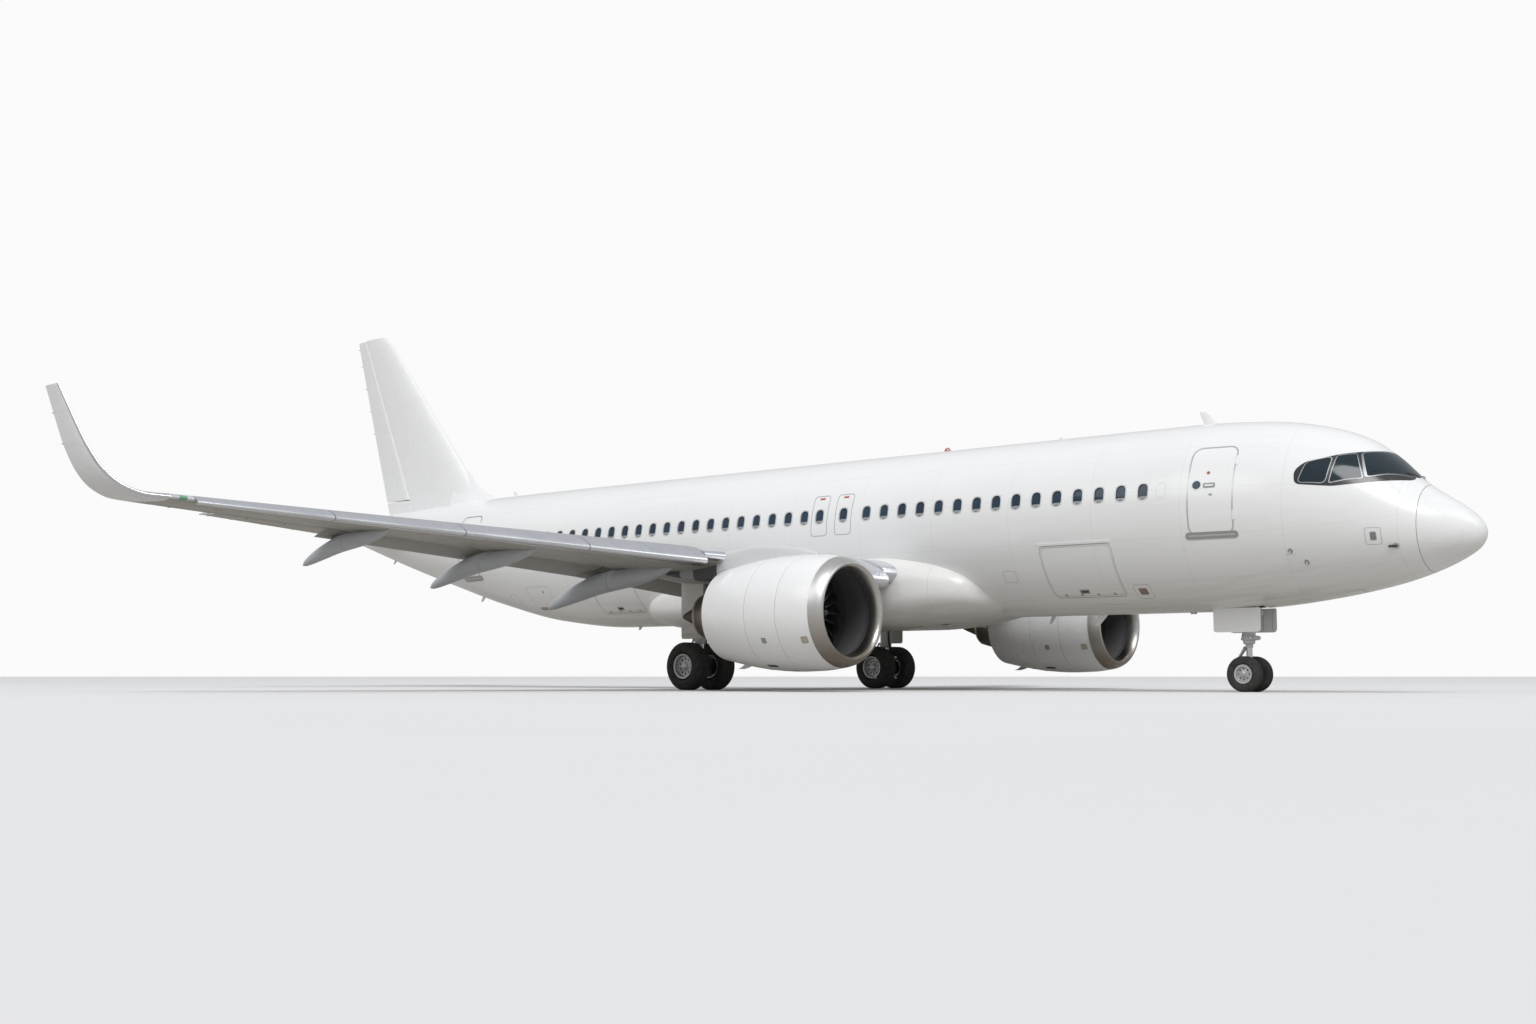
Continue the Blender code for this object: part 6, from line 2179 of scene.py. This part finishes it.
def main_tyre_parts(sign):
    radius, width = MAIN_TYRE
    centre = vec(NOSE_X - MAIN_STATION, MAIN_SIDE + sign * MAIN_SPACING / 2, radius * FACET)
    return [(tyre_shape(radius, width, centre, 4), "tyre")]


def torque_link(foot, lower, upper, apex, spread):
    """Two A-shaped links that keep a piston from turning, and their pins."""
    parts = []
    apex = foot + Vector(apex)
    for start in (lower, upper):
        start = foot + Vector(start)
        for sign in (-1, 1):
            near, far = start + vec(0, sign * spread, 0), apex + vec(0, sign * 0.022, 0)
            parts.append((rod(near, far, 0.026, 12, 0.018), "gear"))
        parts.append((pin(mix(start, apex, 0.35), vec(0, spread * 0.66, 0), 0.014, 10), "gear"))
        parts.append((pin(start, vec(0, spread + 0.03, 0), 0.020, 12), "gear_steel"))
    return parts + [(pin(apex, vec(0, 0.055, 0), 0.022, 12), "gear_steel")]


def main_leg_parts():
    foot, axle = vec(NOSE_X - MAIN_STATION, MAIN_SIDE, 0), MAIN_TYRE[0] * FACET
    parts = [(upright(MAIN_COLUMN, foot), "gear"), (upright([(0.66, 0.090), (1.16, 0.090)], foot), "chrome")]
    parts.append((pin(foot + vec(0, 0, axle), vec(0, 0.165, 0), 0.135, 32), "gear"))
    for sign in (-1, 1):
        flange = foot + vec(0, sign * 0.15, axle)
        parts.append((stub(flange, (0, sign * 0.035, 0), 0.185, 32), "brake"))
        for angle in angles(8, 0.5):
            spot = flange + vec(math.sin(angle) * 0.15, -sign * 0.03, math.cos(angle) * 0.15)
            parts.append((stub(spot, (0, sign * 0.03, 0), 0.022, 12), "gear_steel"))
    parts.append((upright([(0.43, 0.03), (0.45, 0.045), (0.50, 0.05)], foot), "gear"))
    parts += torque_link(foot, (-0.14, 0, axle + 0.10), (-0.16, 0, 1.25), (-0.40, 0, 0.93), 0.085)
    elbow = (0.026, -0.56, 2.24)
    rows = [
        ((0, 0, 1.77), elbow, 0.052, "gear"), (elbow, (0.05, -1.05, 2.68), 0.060, "gear"),
        ((0.076, -0.56, 2.24), (-0.024, -0.56, 2.24), 0.075, "gear_steel"),
        (elbow, (0.03, -0.20, 2.62), 0.026, "gear"), ((0, 0, 1.50), (0.90, 0, 2.80), 0.055, "gear"),
        ((0.48, -0.06, 2.19), (0.48, 0.06, 2.19), 0.075, "gear_steel"),
        ((0, 0, 2.05), (-0.42, -0.10, 2.75), 0.040, "gear"),
        ((-0.20, -0.05, 2.38), (-0.40, -0.095, 2.72), 0.055, "gear"),
        ((0, 0, 1.75), (0, 0.31, 1.75), 0.026, "gear"), ((0, 0, 2.35), (0, 0.31, 2.35), 0.026, "gear"),
        ((-0.30, 0, axle + 0.02), (0, 0, axle + 0.05), 0.045, "gear"),
    ]
    parts += rods(foot, rows)
    # Hydraulic and brake hoses with their clips
    for offset, reach in ((0.03, 0.10), (-0.03, 0.13), (0.0, 0.16)):
        points = ((0.13, offset - 0.05, 2.70), (0.17, offset - 0.06, 1.95), (0.16, offset - 0.06, 1.30))
        points += ((0.12 + reach, offset * 2, 1.00), (0.11, offset * 2, axle + 0.10))
        parts.append((hose([foot + Vector(point) for point in points], 0.011), "hose"))
    for height in (1.50, 2.05, 2.55):
        parts.append((brick(foot + vec(0.13, -0.12, height), (0.055, 0.10, 0.03), 0.006), "gear_steel"))
    # Leg door: a bowed plate with stiffeners on its inner side
    outline = [(-0.36, 1.25), (0.36, 1.25), (0.36, 2.66), (0.30, 2.70), (-0.36, 2.70)]
    door = sliced(plate(outline, 0.06, 0.0, 0.022), None, 0.1)
    bent(door, lambda x, y, z: foot + vec(x, 0.304 + z - 0.009 * ((y - 1.97) / 0.73) ** 2, y))
    parts.append((door, "belly"))
    for height in (1.42, 1.75, 2.10, 2.35, 2.58):
        parts.append((brick(foot + vec(-0.33, 0.282, height - 0.016), (0.66, 0.020, 0.032), 0.005), "gear"))
    return parts


def nose_leg_parts():
    foot = vec(NOSE_X - NOSE_STATION, 0, 0)
    parts = [(upright(NOSE_COLUMN, foot), "gear")]
    rows = [
        ((0.05, 0, 1.62), (0.42, 0, 2.24), 0.050, "gear"), ((0.42, 0, 2.24), (0.74, 0, 2.73), 0.056, "gear"),
        ((0.42, -0.09, 2.24), (0.42, 0.09, 2.24), 0.068, "gear_steel"),
        ((0, -0.31, 2.45), (0, 0.31, 2.45), 0.066, "gear"),
        ((0, -0.385, 1.50), (0, 0.385, 1.50), 0.022, "gear"),
        ((0.14, -0.16, 1.16), (0.14, 0.16, 1.16), 0.050, "gear"),
        ((0.14, -0.24, 1.16), (0.14, 0.24, 1.16), 0.024, "chrome"),
        ((-0.10, 0, 2.05), (-0.42, 0, 2.66), 0.040, "gear"),
    ]
    parts += rods(foot, rows)
    # Two taxi lamps in their cans, facing forward
    for side in (-0.16, 0.16):
        back = foot + vec(0.12, side, 1.72)
        parts.append((stub(back, (0.11, 0, 0), 0.055, 24, 0.080), "gear"))
        parts.append((stub(back + vec(0.108, 0, 0), (0.012, 0, 0), 0.076, 24, 0.070), "lens_clear"))
        parts.append((stub(back + vec(0.02, -side, 0), (0, side, 0), 0.016, 10), "gear"))
    for offset in (-0.05, 0.0, 0.05):
        points = [foot + vec(-0.11, offset, height) for height in (2.6, 2.2, 1.7, 1.36)]
        parts.append((hose(points + [foot + vec(-0.15, offset * 1.3, 1.12)], 0.009), "hose"))
    for height in (1.45, 1.85, 2.3):
        parts.append((brick(foot + vec(-0.135, -0.08, height), (0.03, 0.16, 0.03), 0.005), "gear_steel"))
    # The small open doors beside the leg, with stiffeners
    for sign in (-1, 1):
        outline = [(-0.62, 1.30), (-0.56, 1.28), (0.42, 1.28), (0.46, 1.34), (0.46, 1.80), (-0.62, 1.80)]
        door = plate(outline, 0.03, -0.009, 0.009)
        parts.append((bent(door, lambda x, y, z: foot + vec(x, sign * 0.40 + z, y)), "white"))
        for x in (-0.45, -0.15, 0.15, 0.36):
            low = foot + vec(x, min(sign * 0.380, sign * 0.392), 1.31)
            parts.append((brick(low, (0.025, 0.012, 0.47)), "gear"))
    return parts


def nose_fork_parts():
    foot, axle = vec(NOSE_X - NOSE_STATION, 0, 0), NOSE_TYRE[0] * FACET
    columns = (
        ([(0.40, 0.07), (0.46, 0.088), (0.60, 0.088), (0.61, 0.075)], "gear"),
        ([(0.60, 0.066), (0.96, 0.066)], "chrome"),
        ([(0.94, 0.080), (1.00, 0.084), (STEERING_JOINT - 0.001, 0.080)], "gear"),
    )
    parts = [(upright(profile, foot), own) for profile, own in columns]
    parts.append((pin(foot + vec(0, 0, axle), vec(0, 0.108, 0), 0.095, 28), "gear"))
    parts += torque_link(foot, (-0.085, 0, axle + 0.10), (-0.085, 0, 0.955), (-0.27, 0, 0.69), 0.045)
    parts.append((brick(foot + vec(0.04, -0.045, axle - 0.035), (0.17, 0.09, 0.07), 0.012), "gear"))
    parts.append((stub(foot + vec(0.175, 0, axle - 0.055), (0, 0, 0.11), 0.018, 12), "gear_steel"))
    return parts


def build_nose_gear():
    piece("nose_leg", nose_leg_parts(), "airframe", ["nose_gear_leg"], "gear_paint")
    piece("nose_fork_and_links", nose_fork_parts(), "nose_fork", ["nose_gear_fork"], "gear_paint")
    parts = wheel_parts(*NOSE_TYRE, NOSE_SPACING, NOSE_STATION, 0.0, NOSE_AXLE_RADIUS, 8)
    piece("nose_rims", parts, "nose_wheels", ["nose_wheel_hubs"], "wheel_metal")
    radius, width = NOSE_TYRE
    for sign, end in SIDES:
        centre = vec(NOSE_X - NOSE_STATION, sign * NOSE_SPACING / 2, radius * FACET)
        parts = [(tyre_shape(radius, width, centre, 3), "tyre")]
        piece(f"nose_tyre_tread_{end}", parts, "nose_wheels", [f"nose_tyre_{end}"], "tyre_rubber")


def build_main_gear():
    both("main_leg", main_leg_parts, "main_gear_leg_{}", "gear_paint")
    both("main_rims", main_wheel_parts, "main_wheel_hubs_{}", "wheel_metal", "main_wheels_{}")
    for sign, name in ((-1, "inner"), (1, "outer")):
        node_name = f"main_tyre_{name}_{{}}"
        both(f"main_tread_{name}", lambda: main_tyre_parts(sign), node_name, "tyre_rubber", "main_wheels_{}")


# Fittings on the skin


def oval_ring(base, long, wide):
    """A ring of points in an ellipse, seen from above."""
    return [base + vec(-long / 2 * math.cos(angle), wide / 2 * math.sin(angle), 0) for angle in angles(16)]


def blade_aerial(station, chord, height, sweep, top=True):
    """A swept blade aerial or mast on the crown or the belly."""
    rings = []
    sign = 1 if top else -1
    for share in (0.0, 0.35, 0.7, 0.93, 1.0):
        base = belly_point(station + sweep * share, 0.0, 0.0, top)
        long = chord * (1 - 0.5 * share) * (1.0 if share < 1 else 0.86)
        wide = 0.03 * (1 - 0.55 * share) * (1.0 if share < 1 else 0.4)
        rings.append(oval_ring(base + vec(0, 0, sign * (height * share - 0.02)), long, wide))
    return lofted(rings)


def dome(station, side, radius, height, top):
    """A low lamp dome on the crown or belly."""
    base = belly_point(station, side, -0.01, top)
    sign = 1 if top else -1
    rows = [(0.0, radius * 1.25), (0.02, radius * 1.25), (0.022, radius)]
    rows += [(0.022 + height * math.sin(a), radius * math.cos(a)) for a in (0.4, 0.8, 1.2)] + [
        (0.022 + height, 0.0)
    ]
    return revolved(
        rows, 24, lambda rise, r, sine, cosine: base + vec(r * cosine, r * sine, sign * rise), caps=True
    )


def build_aerials():
    parts = [(blade_aerial(*facts), own) for own, *facts in AERIALS]
    piece("aerials_and_masts", parts)
    rings = []
    for share in (0.0, 0.5, 0.9, 1.0):
        base = place(21.64 + 0.10 * share, 0, read_curve(FAIRING, 21.64, 3) + 0.03 - 0.24 * share)
        long, wide = 0.16 * (1 - 0.5 * share), 0.035 * (1 - 0.4 * share)
        rings.append(
            [base + vec(-long / 2 * math.cos(angle), wide / 2 * math.sin(angle), 0) for angle in angles(14)]
        )
    piece("drain_mast", [(lofted(rings), "silver")])


def build_probes():
    parts = []
    # Pitot probes: a swept foot and a tube that points forward
    for side in (-1, 1):
        for station, height in ((3.15, -1.25), (3.42, -1.02)):
            foot = side_point(station, height, side, -0.01)
            out = side_point(station, height, side, 0.16) - foot
            parts.append((stub(foot, out * 0.9 + vec(0.03, 0, 0), 0.024, 14, 0.012), "silver"))
            parts.append((stub(foot + out + vec(-0.03, 0, 0), (0.24, 0, 0), 0.013, 14, 0.007), "silver"))
            parts.append((on_side(disc(0.05, -0.004, 0.004), side, station, height), "scuff"))
    # Angle of attack vanes and static plates, then a vent and three ports to starboard
    bars = [("soot", 0.008, 0.13, -0.03 + 0.03 * number, 0, 0, -0.004, 0.006) for number in range(3)]
    vane = [("silver", 0.06, None, 0, 0, 0, -0.004, 0.005), ("soot", 0.16, 0.03, 0.05, 0, 0.012, 0.0, 0.05)]
    static = [
        ("fine_line", 0.30, 0.34, 0, 0, 0.04, -0.004, 0.0025, 0.012),
        ("mark_grey", 0.12, 0.17, 0, 0, 0.03, -0.004, 0.003), *bars,
    ]
    vent = [
        ("vent", 0.20, 0.13, 0, 0, 0.02, -0.004, 0.0035),
        ("fine_line", 0.40, 0.30, 0, 0, 0.06, -0.004, 0.0035, 0.010),
    ]
    port = [("fine_line", 0.34, 0.26, 0, 0, 0.04, -0.004, 0.0025, 0.010)]
    groups = [
        (rows, side, *at) for side in (-1, 1) for rows, *at in ((vane, 1.42, -0.98), (static, 1.80, -0.78))
    ]
    groups += [(vent, -1, 6.92, -1.72)] + [(port, -1, station, -1.30) for station in (10.1, 24.9, 27.6)]
    for rows, side, station, height in groups:
        parts += flat_parts(rows, lambda shape: on_side(shape, side, station, height))
    piece("probes_and_ports", parts)


def build_lamps():
    parts = [(dome(12.9, 0.0, 0.085, 0.10, True), "lens_red"), (dome(20.9, 0.0, 0.02, 0.02, True), "silver")]
    piece("top_beacon", parts, slot="cockpit_glass")
    base = place(15.2, 0, FAIRING_BOTTOM)
    parts = [
        (rod(base + vec(0, 0, 0.03), base - vec(0, 0, 0.015), 0.11, 28), "silver"),
        (stub(base, (0, 0, -0.07), 0.085, 28, 0.055), "lens_red"),
    ]
    piece("belly_beacon", parts, slot="cockpit_glass")
    ahead = [(0.05, 1), (0.02, 1), (0.005, 1), (0.0, 0), (0.005, -1), (0.02, -1), (0.05, -1)]
    for (sign, end), own in zip(SIDES, ("lens_red", "lens_green")):
        # Navigation lamp let into the wing tip's leading edge
        rings = []
        for side, swollen in ((16.25, -0.004), (16.38, 0.006), (16.52, -0.004)):
            ring = [point + vec(swollen, 0, 0) for point in foil_ring(wing_section(side), ahead)]
            rings.append([vec(point.x, point.y * sign, point.z) for point in ring])
        # Landing lamp under the wing root
        back = place(14.15, sign * 2.62, read_line(WING, 2.62, 4) - 0.34)
        parts = [
            (lofted(rings), own), (stub(back, (0.09, 0, -0.01), 0.07, 28, 0.10), "reflector"),
            (stub(back + vec(0.088, 0, -0.01), (0.012, 0, -0.001), 0.098, 28, 0.09), "lens_clear"),
            (rod(back + vec(0, 0, 0.05), back + vec(-0.02, 0, 0.22), 0.03, 16), "silver"),
        ]
        piece(f"wing_lamps_{end}", parts, slot="cockpit_glass")


# Stage


def facing(thing, target):
    """Turns a lamp or camera towards a point."""
    thing.rotation_mode = "QUATERNION"
    thing.rotation_quaternion = (Vector(target) - thing.location).to_track_quat("-Z", "Y")


def round_about(azimuth, reach, height):
    """A vector out from the middle: azimuth 0 is to starboard and 90 towards the nose."""
    angle = math.radians(azimuth)
    return vec(math.sin(angle) * reach, -math.cos(angle) * reach, height)


# The photograph looks up from below, so the camera stands at floor level
CAMERA_AZIMUTH = 40.8
CAMERA_HEIGHT = 0.35
CAMERA_TARGET = (-0.01, 0.0, 4.75)
SENSOR = 36.0
CAMERA_CLIP = (0.5, 2000.0)
FLOOR_REACH = 600.0
LIGHT_REACH = 60.0
FLOOR_BOUNCE = (0.43, 0.415, 0.385, 1.0)
HORIZON_TINT = (0.42, 0.42, 0.42, 1.0)
ZENITH_TINT = (0.56, 0.57, 0.59, 1.0)
# What the camera sees of the sky is a bright, even backdrop
BACKDROP_TINT = (0.96, 0.96, 0.96, 1.0)
SUN_AZIMUTH, SUN_ELEVATION, SUN_WIDTH = 40, 52, 28
# Softboxes: name, azimuth, height, size and share of the power
LIGHTS = (("side_light", 350, 36, 36, 0.5), ("front_light", 95, 40, 36, 0.5))


def build_floor():
    given = settings()
    material, tree, shader, vector = new_material("floor_pale")
    _, blotches, grain = weather(tree, stretched(tree, vector, (0.2, 0.2, 0.2)))
    pale = [part * 0.97 for part in given.floor_colour]
    made = blended(tree, blotches, opaque(given.floor_colour), opaque(pale))
    # The floor throws less light back up than it shows, as the undersides are shaded in the photograph
    seen = node(tree, "LightPath").outputs["Is Camera Ray"]
    made = blended(tree, seen, FLOOR_BOUNCE, made)
    finish_surface(tree, shader, made, 0.7, blotches, grain, None, 0.03, 0.06)
    floor = bmesh.new()
    bmesh.ops.create_circle(floor, cap_ends=True, radius=FLOOR_REACH, segments=96)
    mesh = mesh_of(floor, "stage_floor")
    mesh.materials.append(material)
    add_object("stage_floor", mesh)


def build_sky():
    world = bpy.data.worlds.new("soft_sky")
    world.use_nodes = True
    sky = world.node_tree
    rise = parted(sky, node(sky, "TexCoord").outputs["Generated"])[2]
    tint = blended(sky, ranged(sky, rise, -0.05, 0.8), HORIZON_TINT, ZENITH_TINT)
    seen = node(sky, "LightPath").outputs["Is Camera Ray"]
    sky.links.new(blended(sky, seen, tint, BACKDROP_TINT), sky.nodes["Background"].inputs["Color"])
    bpy.context.scene.world = world
    bpy.context.scene.view_settings.view_transform = "Standard"


def build_lights():
    given = settings()
    lamp = bpy.data.lights.new("sun", "SUN")
    lamp.energy = given.sun_strength
    lamp.angle = math.radians(SUN_WIDTH)
    sun = add_object("sun", lamp)
    rise = math.radians(SUN_ELEVATION)
    sun.rotation_mode = "QUATERNION"
    sun.rotation_quaternion = round_about(SUN_AZIMUTH, math.cos(rise), math.sin(rise)).to_track_quat("Z", "Y")
    middle = (CAD_LOW + CAD_HIGH) / 2
    for name, azimuth, height, size, share in LIGHTS:
        data = bpy.data.lights.new(name, "AREA")
        data.shape = "DISK"
        data.size = size
        data.energy = share * given.light_power
        softbox = add_object(name, data)
        softbox.location = middle + round_about(azimuth, LIGHT_REACH, height)
        facing(softbox, middle)


def build_camera():
    given = settings()
    data = bpy.data.cameras.new("camera")
    data.sensor_width = SENSOR
    data.lens = given.camera_lens
    data.clip_start, data.clip_end = CAMERA_CLIP
    camera = add_object("camera", data)
    camera.location = round_about(CAMERA_AZIMUTH, given.camera_distance, CAMERA_HEIGHT)
    facing(camera, CAMERA_TARGET)
    bpy.context.scene.camera = camera


# Add-on


def size_property(name, text, default, low, high, **more):
    return FloatProperty(name=name, description=text, default=default, min=low, max=high, **more)


def colour_property(name, text, default):
    return FloatVectorProperty(
        name=name, description=text, subtype="COLOR", default=default, min=0.0, max=1.0
    )


class AirlinerSettings(bpy.types.PropertyGroup):
    """Sizes and colours that a user would change."""

    window_width: size_property("Window width", "Width of a cabin pane", 0.235, 0.15, 0.3, unit="LENGTH")
    window_height: size_property("Window height", "Height of a cabin pane", 0.345, 0.2, 0.42, unit="LENGTH")
    blade_count: IntProperty(name="Fan blades", description="Blades of each fan", default=18, min=12, max=24)
    fuselage_colour: colour_property("Fuselage", "Fuselage paint", WHITE)
    gear_colour: colour_property("Landing gear", "Landing gear paint", (0.66, 0.67, 0.68))
    blade_colour: colour_property("Fan blades' colour", "Fan blade paint", (0.020, 0.021, 0.023))
    floor_colour: colour_property("Floor", "Stage floor", (0.78, 0.78, 0.78))
    sun_strength: size_property("Sun strength", "Strength of the wide main light", 1.5, 0.0, 20.0)
    light_power: size_property("Softbox power", "Power of the softboxes", 11000.0, 0.0, 1e6, subtype="POWER")
    camera_distance: size_property(
        "Camera distance", "From the aircraft's middle", 46.0, 30.0, 300.0, unit="LENGTH"
    )
    camera_lens: size_property("Camera lens", "Focal length in millimetres", 40.1, 10.0, 300.0)


def build_slats():
    for name, *facts in SLATS:
        both(name + "_skin", lambda: slat_parts(*facts), name + "_{}", "bare_metal")


def build_flaps():
    for name, *ends in FLAPS:
        both(name + "_skin", lambda: flap_parts(*ends), name + "_{}", "wing_composite")
    both("flap_tracks", track_parts, "wing_{}", "wing_composite")


# Steps: name, label, description and what is built
STEPS = (
    (
        "hull", "Fuselage", "Make the fuselage's skin with its pockets", build_fuselage,
        build_nose_bay_fittings,
    ),
    ("radome", "Radome", "Make the radome, its lightning strips and the radar", build_radome),
    ("exhaust", "Tail outlet", "Make the tail cone's outlet", build_exhaust),
    ("cabin", "Cabin windows", "Make the cabin windows and overwing exits", build_windows, build_exits),
    ("cockpit", "Cockpit windows", "Make the windscreen with its panes and wipers", build_cockpit),
    ("doors", "Passenger doors", "Make the four passenger doors", build_doors),
    ("cargo", "Cargo doors", "Make the hinged cargo doors", build_cargo_doors),
    ("bulk", "Bulk door", "Make the small bulk cargo door", build_bulk_door),
    ("nose_doors", "Nose gear doors", "Make the nose gear doors", build_nose_doors),
    ("belly", "Belly fairing", "Make the belly fairing and main gear doors", build_belly, build_main_doors),
    (
        "wings", "Wings", "Make both wings with spoilers and panels",
        pair("wing_shell", wing_parts, "wing_{}", "wing_paint")
    ),
    ("slats", "Slats", "Make the slats with their tracks", build_slats),
    ("flaps", "Flaps", "Make the flaps and their track fairings", build_flaps),
    (
        "ailerons", "Ailerons", "Make the ailerons",
        pair("aileron_skin", aileron_parts, "aileron_{}", "wing_composite", "aileron_{}")
    ),
    (
        "winglets", "Winglets", "Make the winglets",
        pair("winglet_skin", winglet_parts, "winglet_{}", "grey_composite")
    ),
    ("fin", "Fin and rudder", "Make the fin, its fillet and the rudder", build_fin, build_rudder),
    (
        "tailplanes", "Tailplane", "Make the tailplane and elevators",
        pair("tailplane_skin", tailplane_parts, "tailplane_{}", "wing_composite"),
        pair("elevator_skin", elevator_parts, "elevator_{}", "wing_composite", "elevator_{}"),
        build_tail_apron
    ),
    (
        "nacelles", "Engine cowls", "Make the cowls, intake lips and small plates",
        pair("nacelle_cowl", nacelle_parts, "nacelle_{}", "cowl_paint"),
        pair("inlet_ring", lip_parts, "inlet_lip_{}", "bare_metal"), build_cowl_marks
    ),
    (
        "cores", "Engine cores", "Make the cores, outlet vanes and plugs",
        pair("core_nozzle", core_parts, "engine_core_{}", "hot_metal")
    ),
    (
        "fans", "Fans", "Make the fan rotors and spinners",
        pair("fan_rotor", fan_parts, "fan_{}", "fan_blade", "fan_{}")
    ),
    (
        "pylons", "Pylons", "Make the engine pylons",
        pair("pylon_shell", pylon_parts, "pylon_{}", "pylon_paint"),
    ),
    ("main_gear", "Main gear", "Make the main legs, wheels and tyres", build_main_gear),
    ("nose_gear", "Nose gear", "Make the nose leg, fork, wheels and tyres", build_nose_gear),
    ("aerials", "Aerials", "Make the aerials and masts", build_aerials),
    ("probes", "Probes", "Make the probes, ports and vents", build_probes),
    ("lamps", "Lamps", "Make the beacons, navigation and landing lamps", build_lamps),
    (
        "stage", "Stage", "Make the floor, lights and camera", build_floor, build_sky, build_lights,
        build_camera,
    ),
)


def make_operator(name, label, text, *builders):
    """An operator class that makes one group of pieces."""

    def execute(self, context):
        for build in builders:
            build()
        return {"FINISHED"}

    facts = {"bl_idname": "airliner." + name, "bl_label": label, "bl_description": text, "__doc__": text}
    return type("AIRLINER_OT_" + name, (bpy.types.Operator,), {**facts, "execute": execute})


OPERATORS = [make_operator(*step) for step in STEPS]


class AIRLINER_PT_panel(bpy.types.Panel):
    """Lists the sizes, colours and steps."""

    bl_label = "Airliner"
    bl_idname = "AIRLINER_PT_panel"
    bl_space_type = "VIEW_3D"
    bl_region_type = "UI"
    bl_category = "Airliner"

    def draw(self, context):
        for name in AirlinerSettings.__annotations__:
            self.layout.prop(context.scene.airliner, name)
        for operator in OPERATORS:
            self.layout.operator(operator.bl_idname)


def register():
    for made in (AirlinerSettings, *OPERATORS, AIRLINER_PT_panel):
        bpy.utils.register_class(made)
    bpy.types.Scene.airliner = PointerProperty(type=AirlinerSettings)


def unregister():
    del bpy.types.Scene.airliner
    for made in (AIRLINER_PT_panel, *reversed(OPERATORS), AirlinerSettings):
        bpy.utils.unregister_class(made)


def main():
    register()
    for operator in OPERATORS:
        getattr(bpy.ops.airliner, operator.bl_idname.split(".")[1])()


if __name__ == "__main__":
    main()
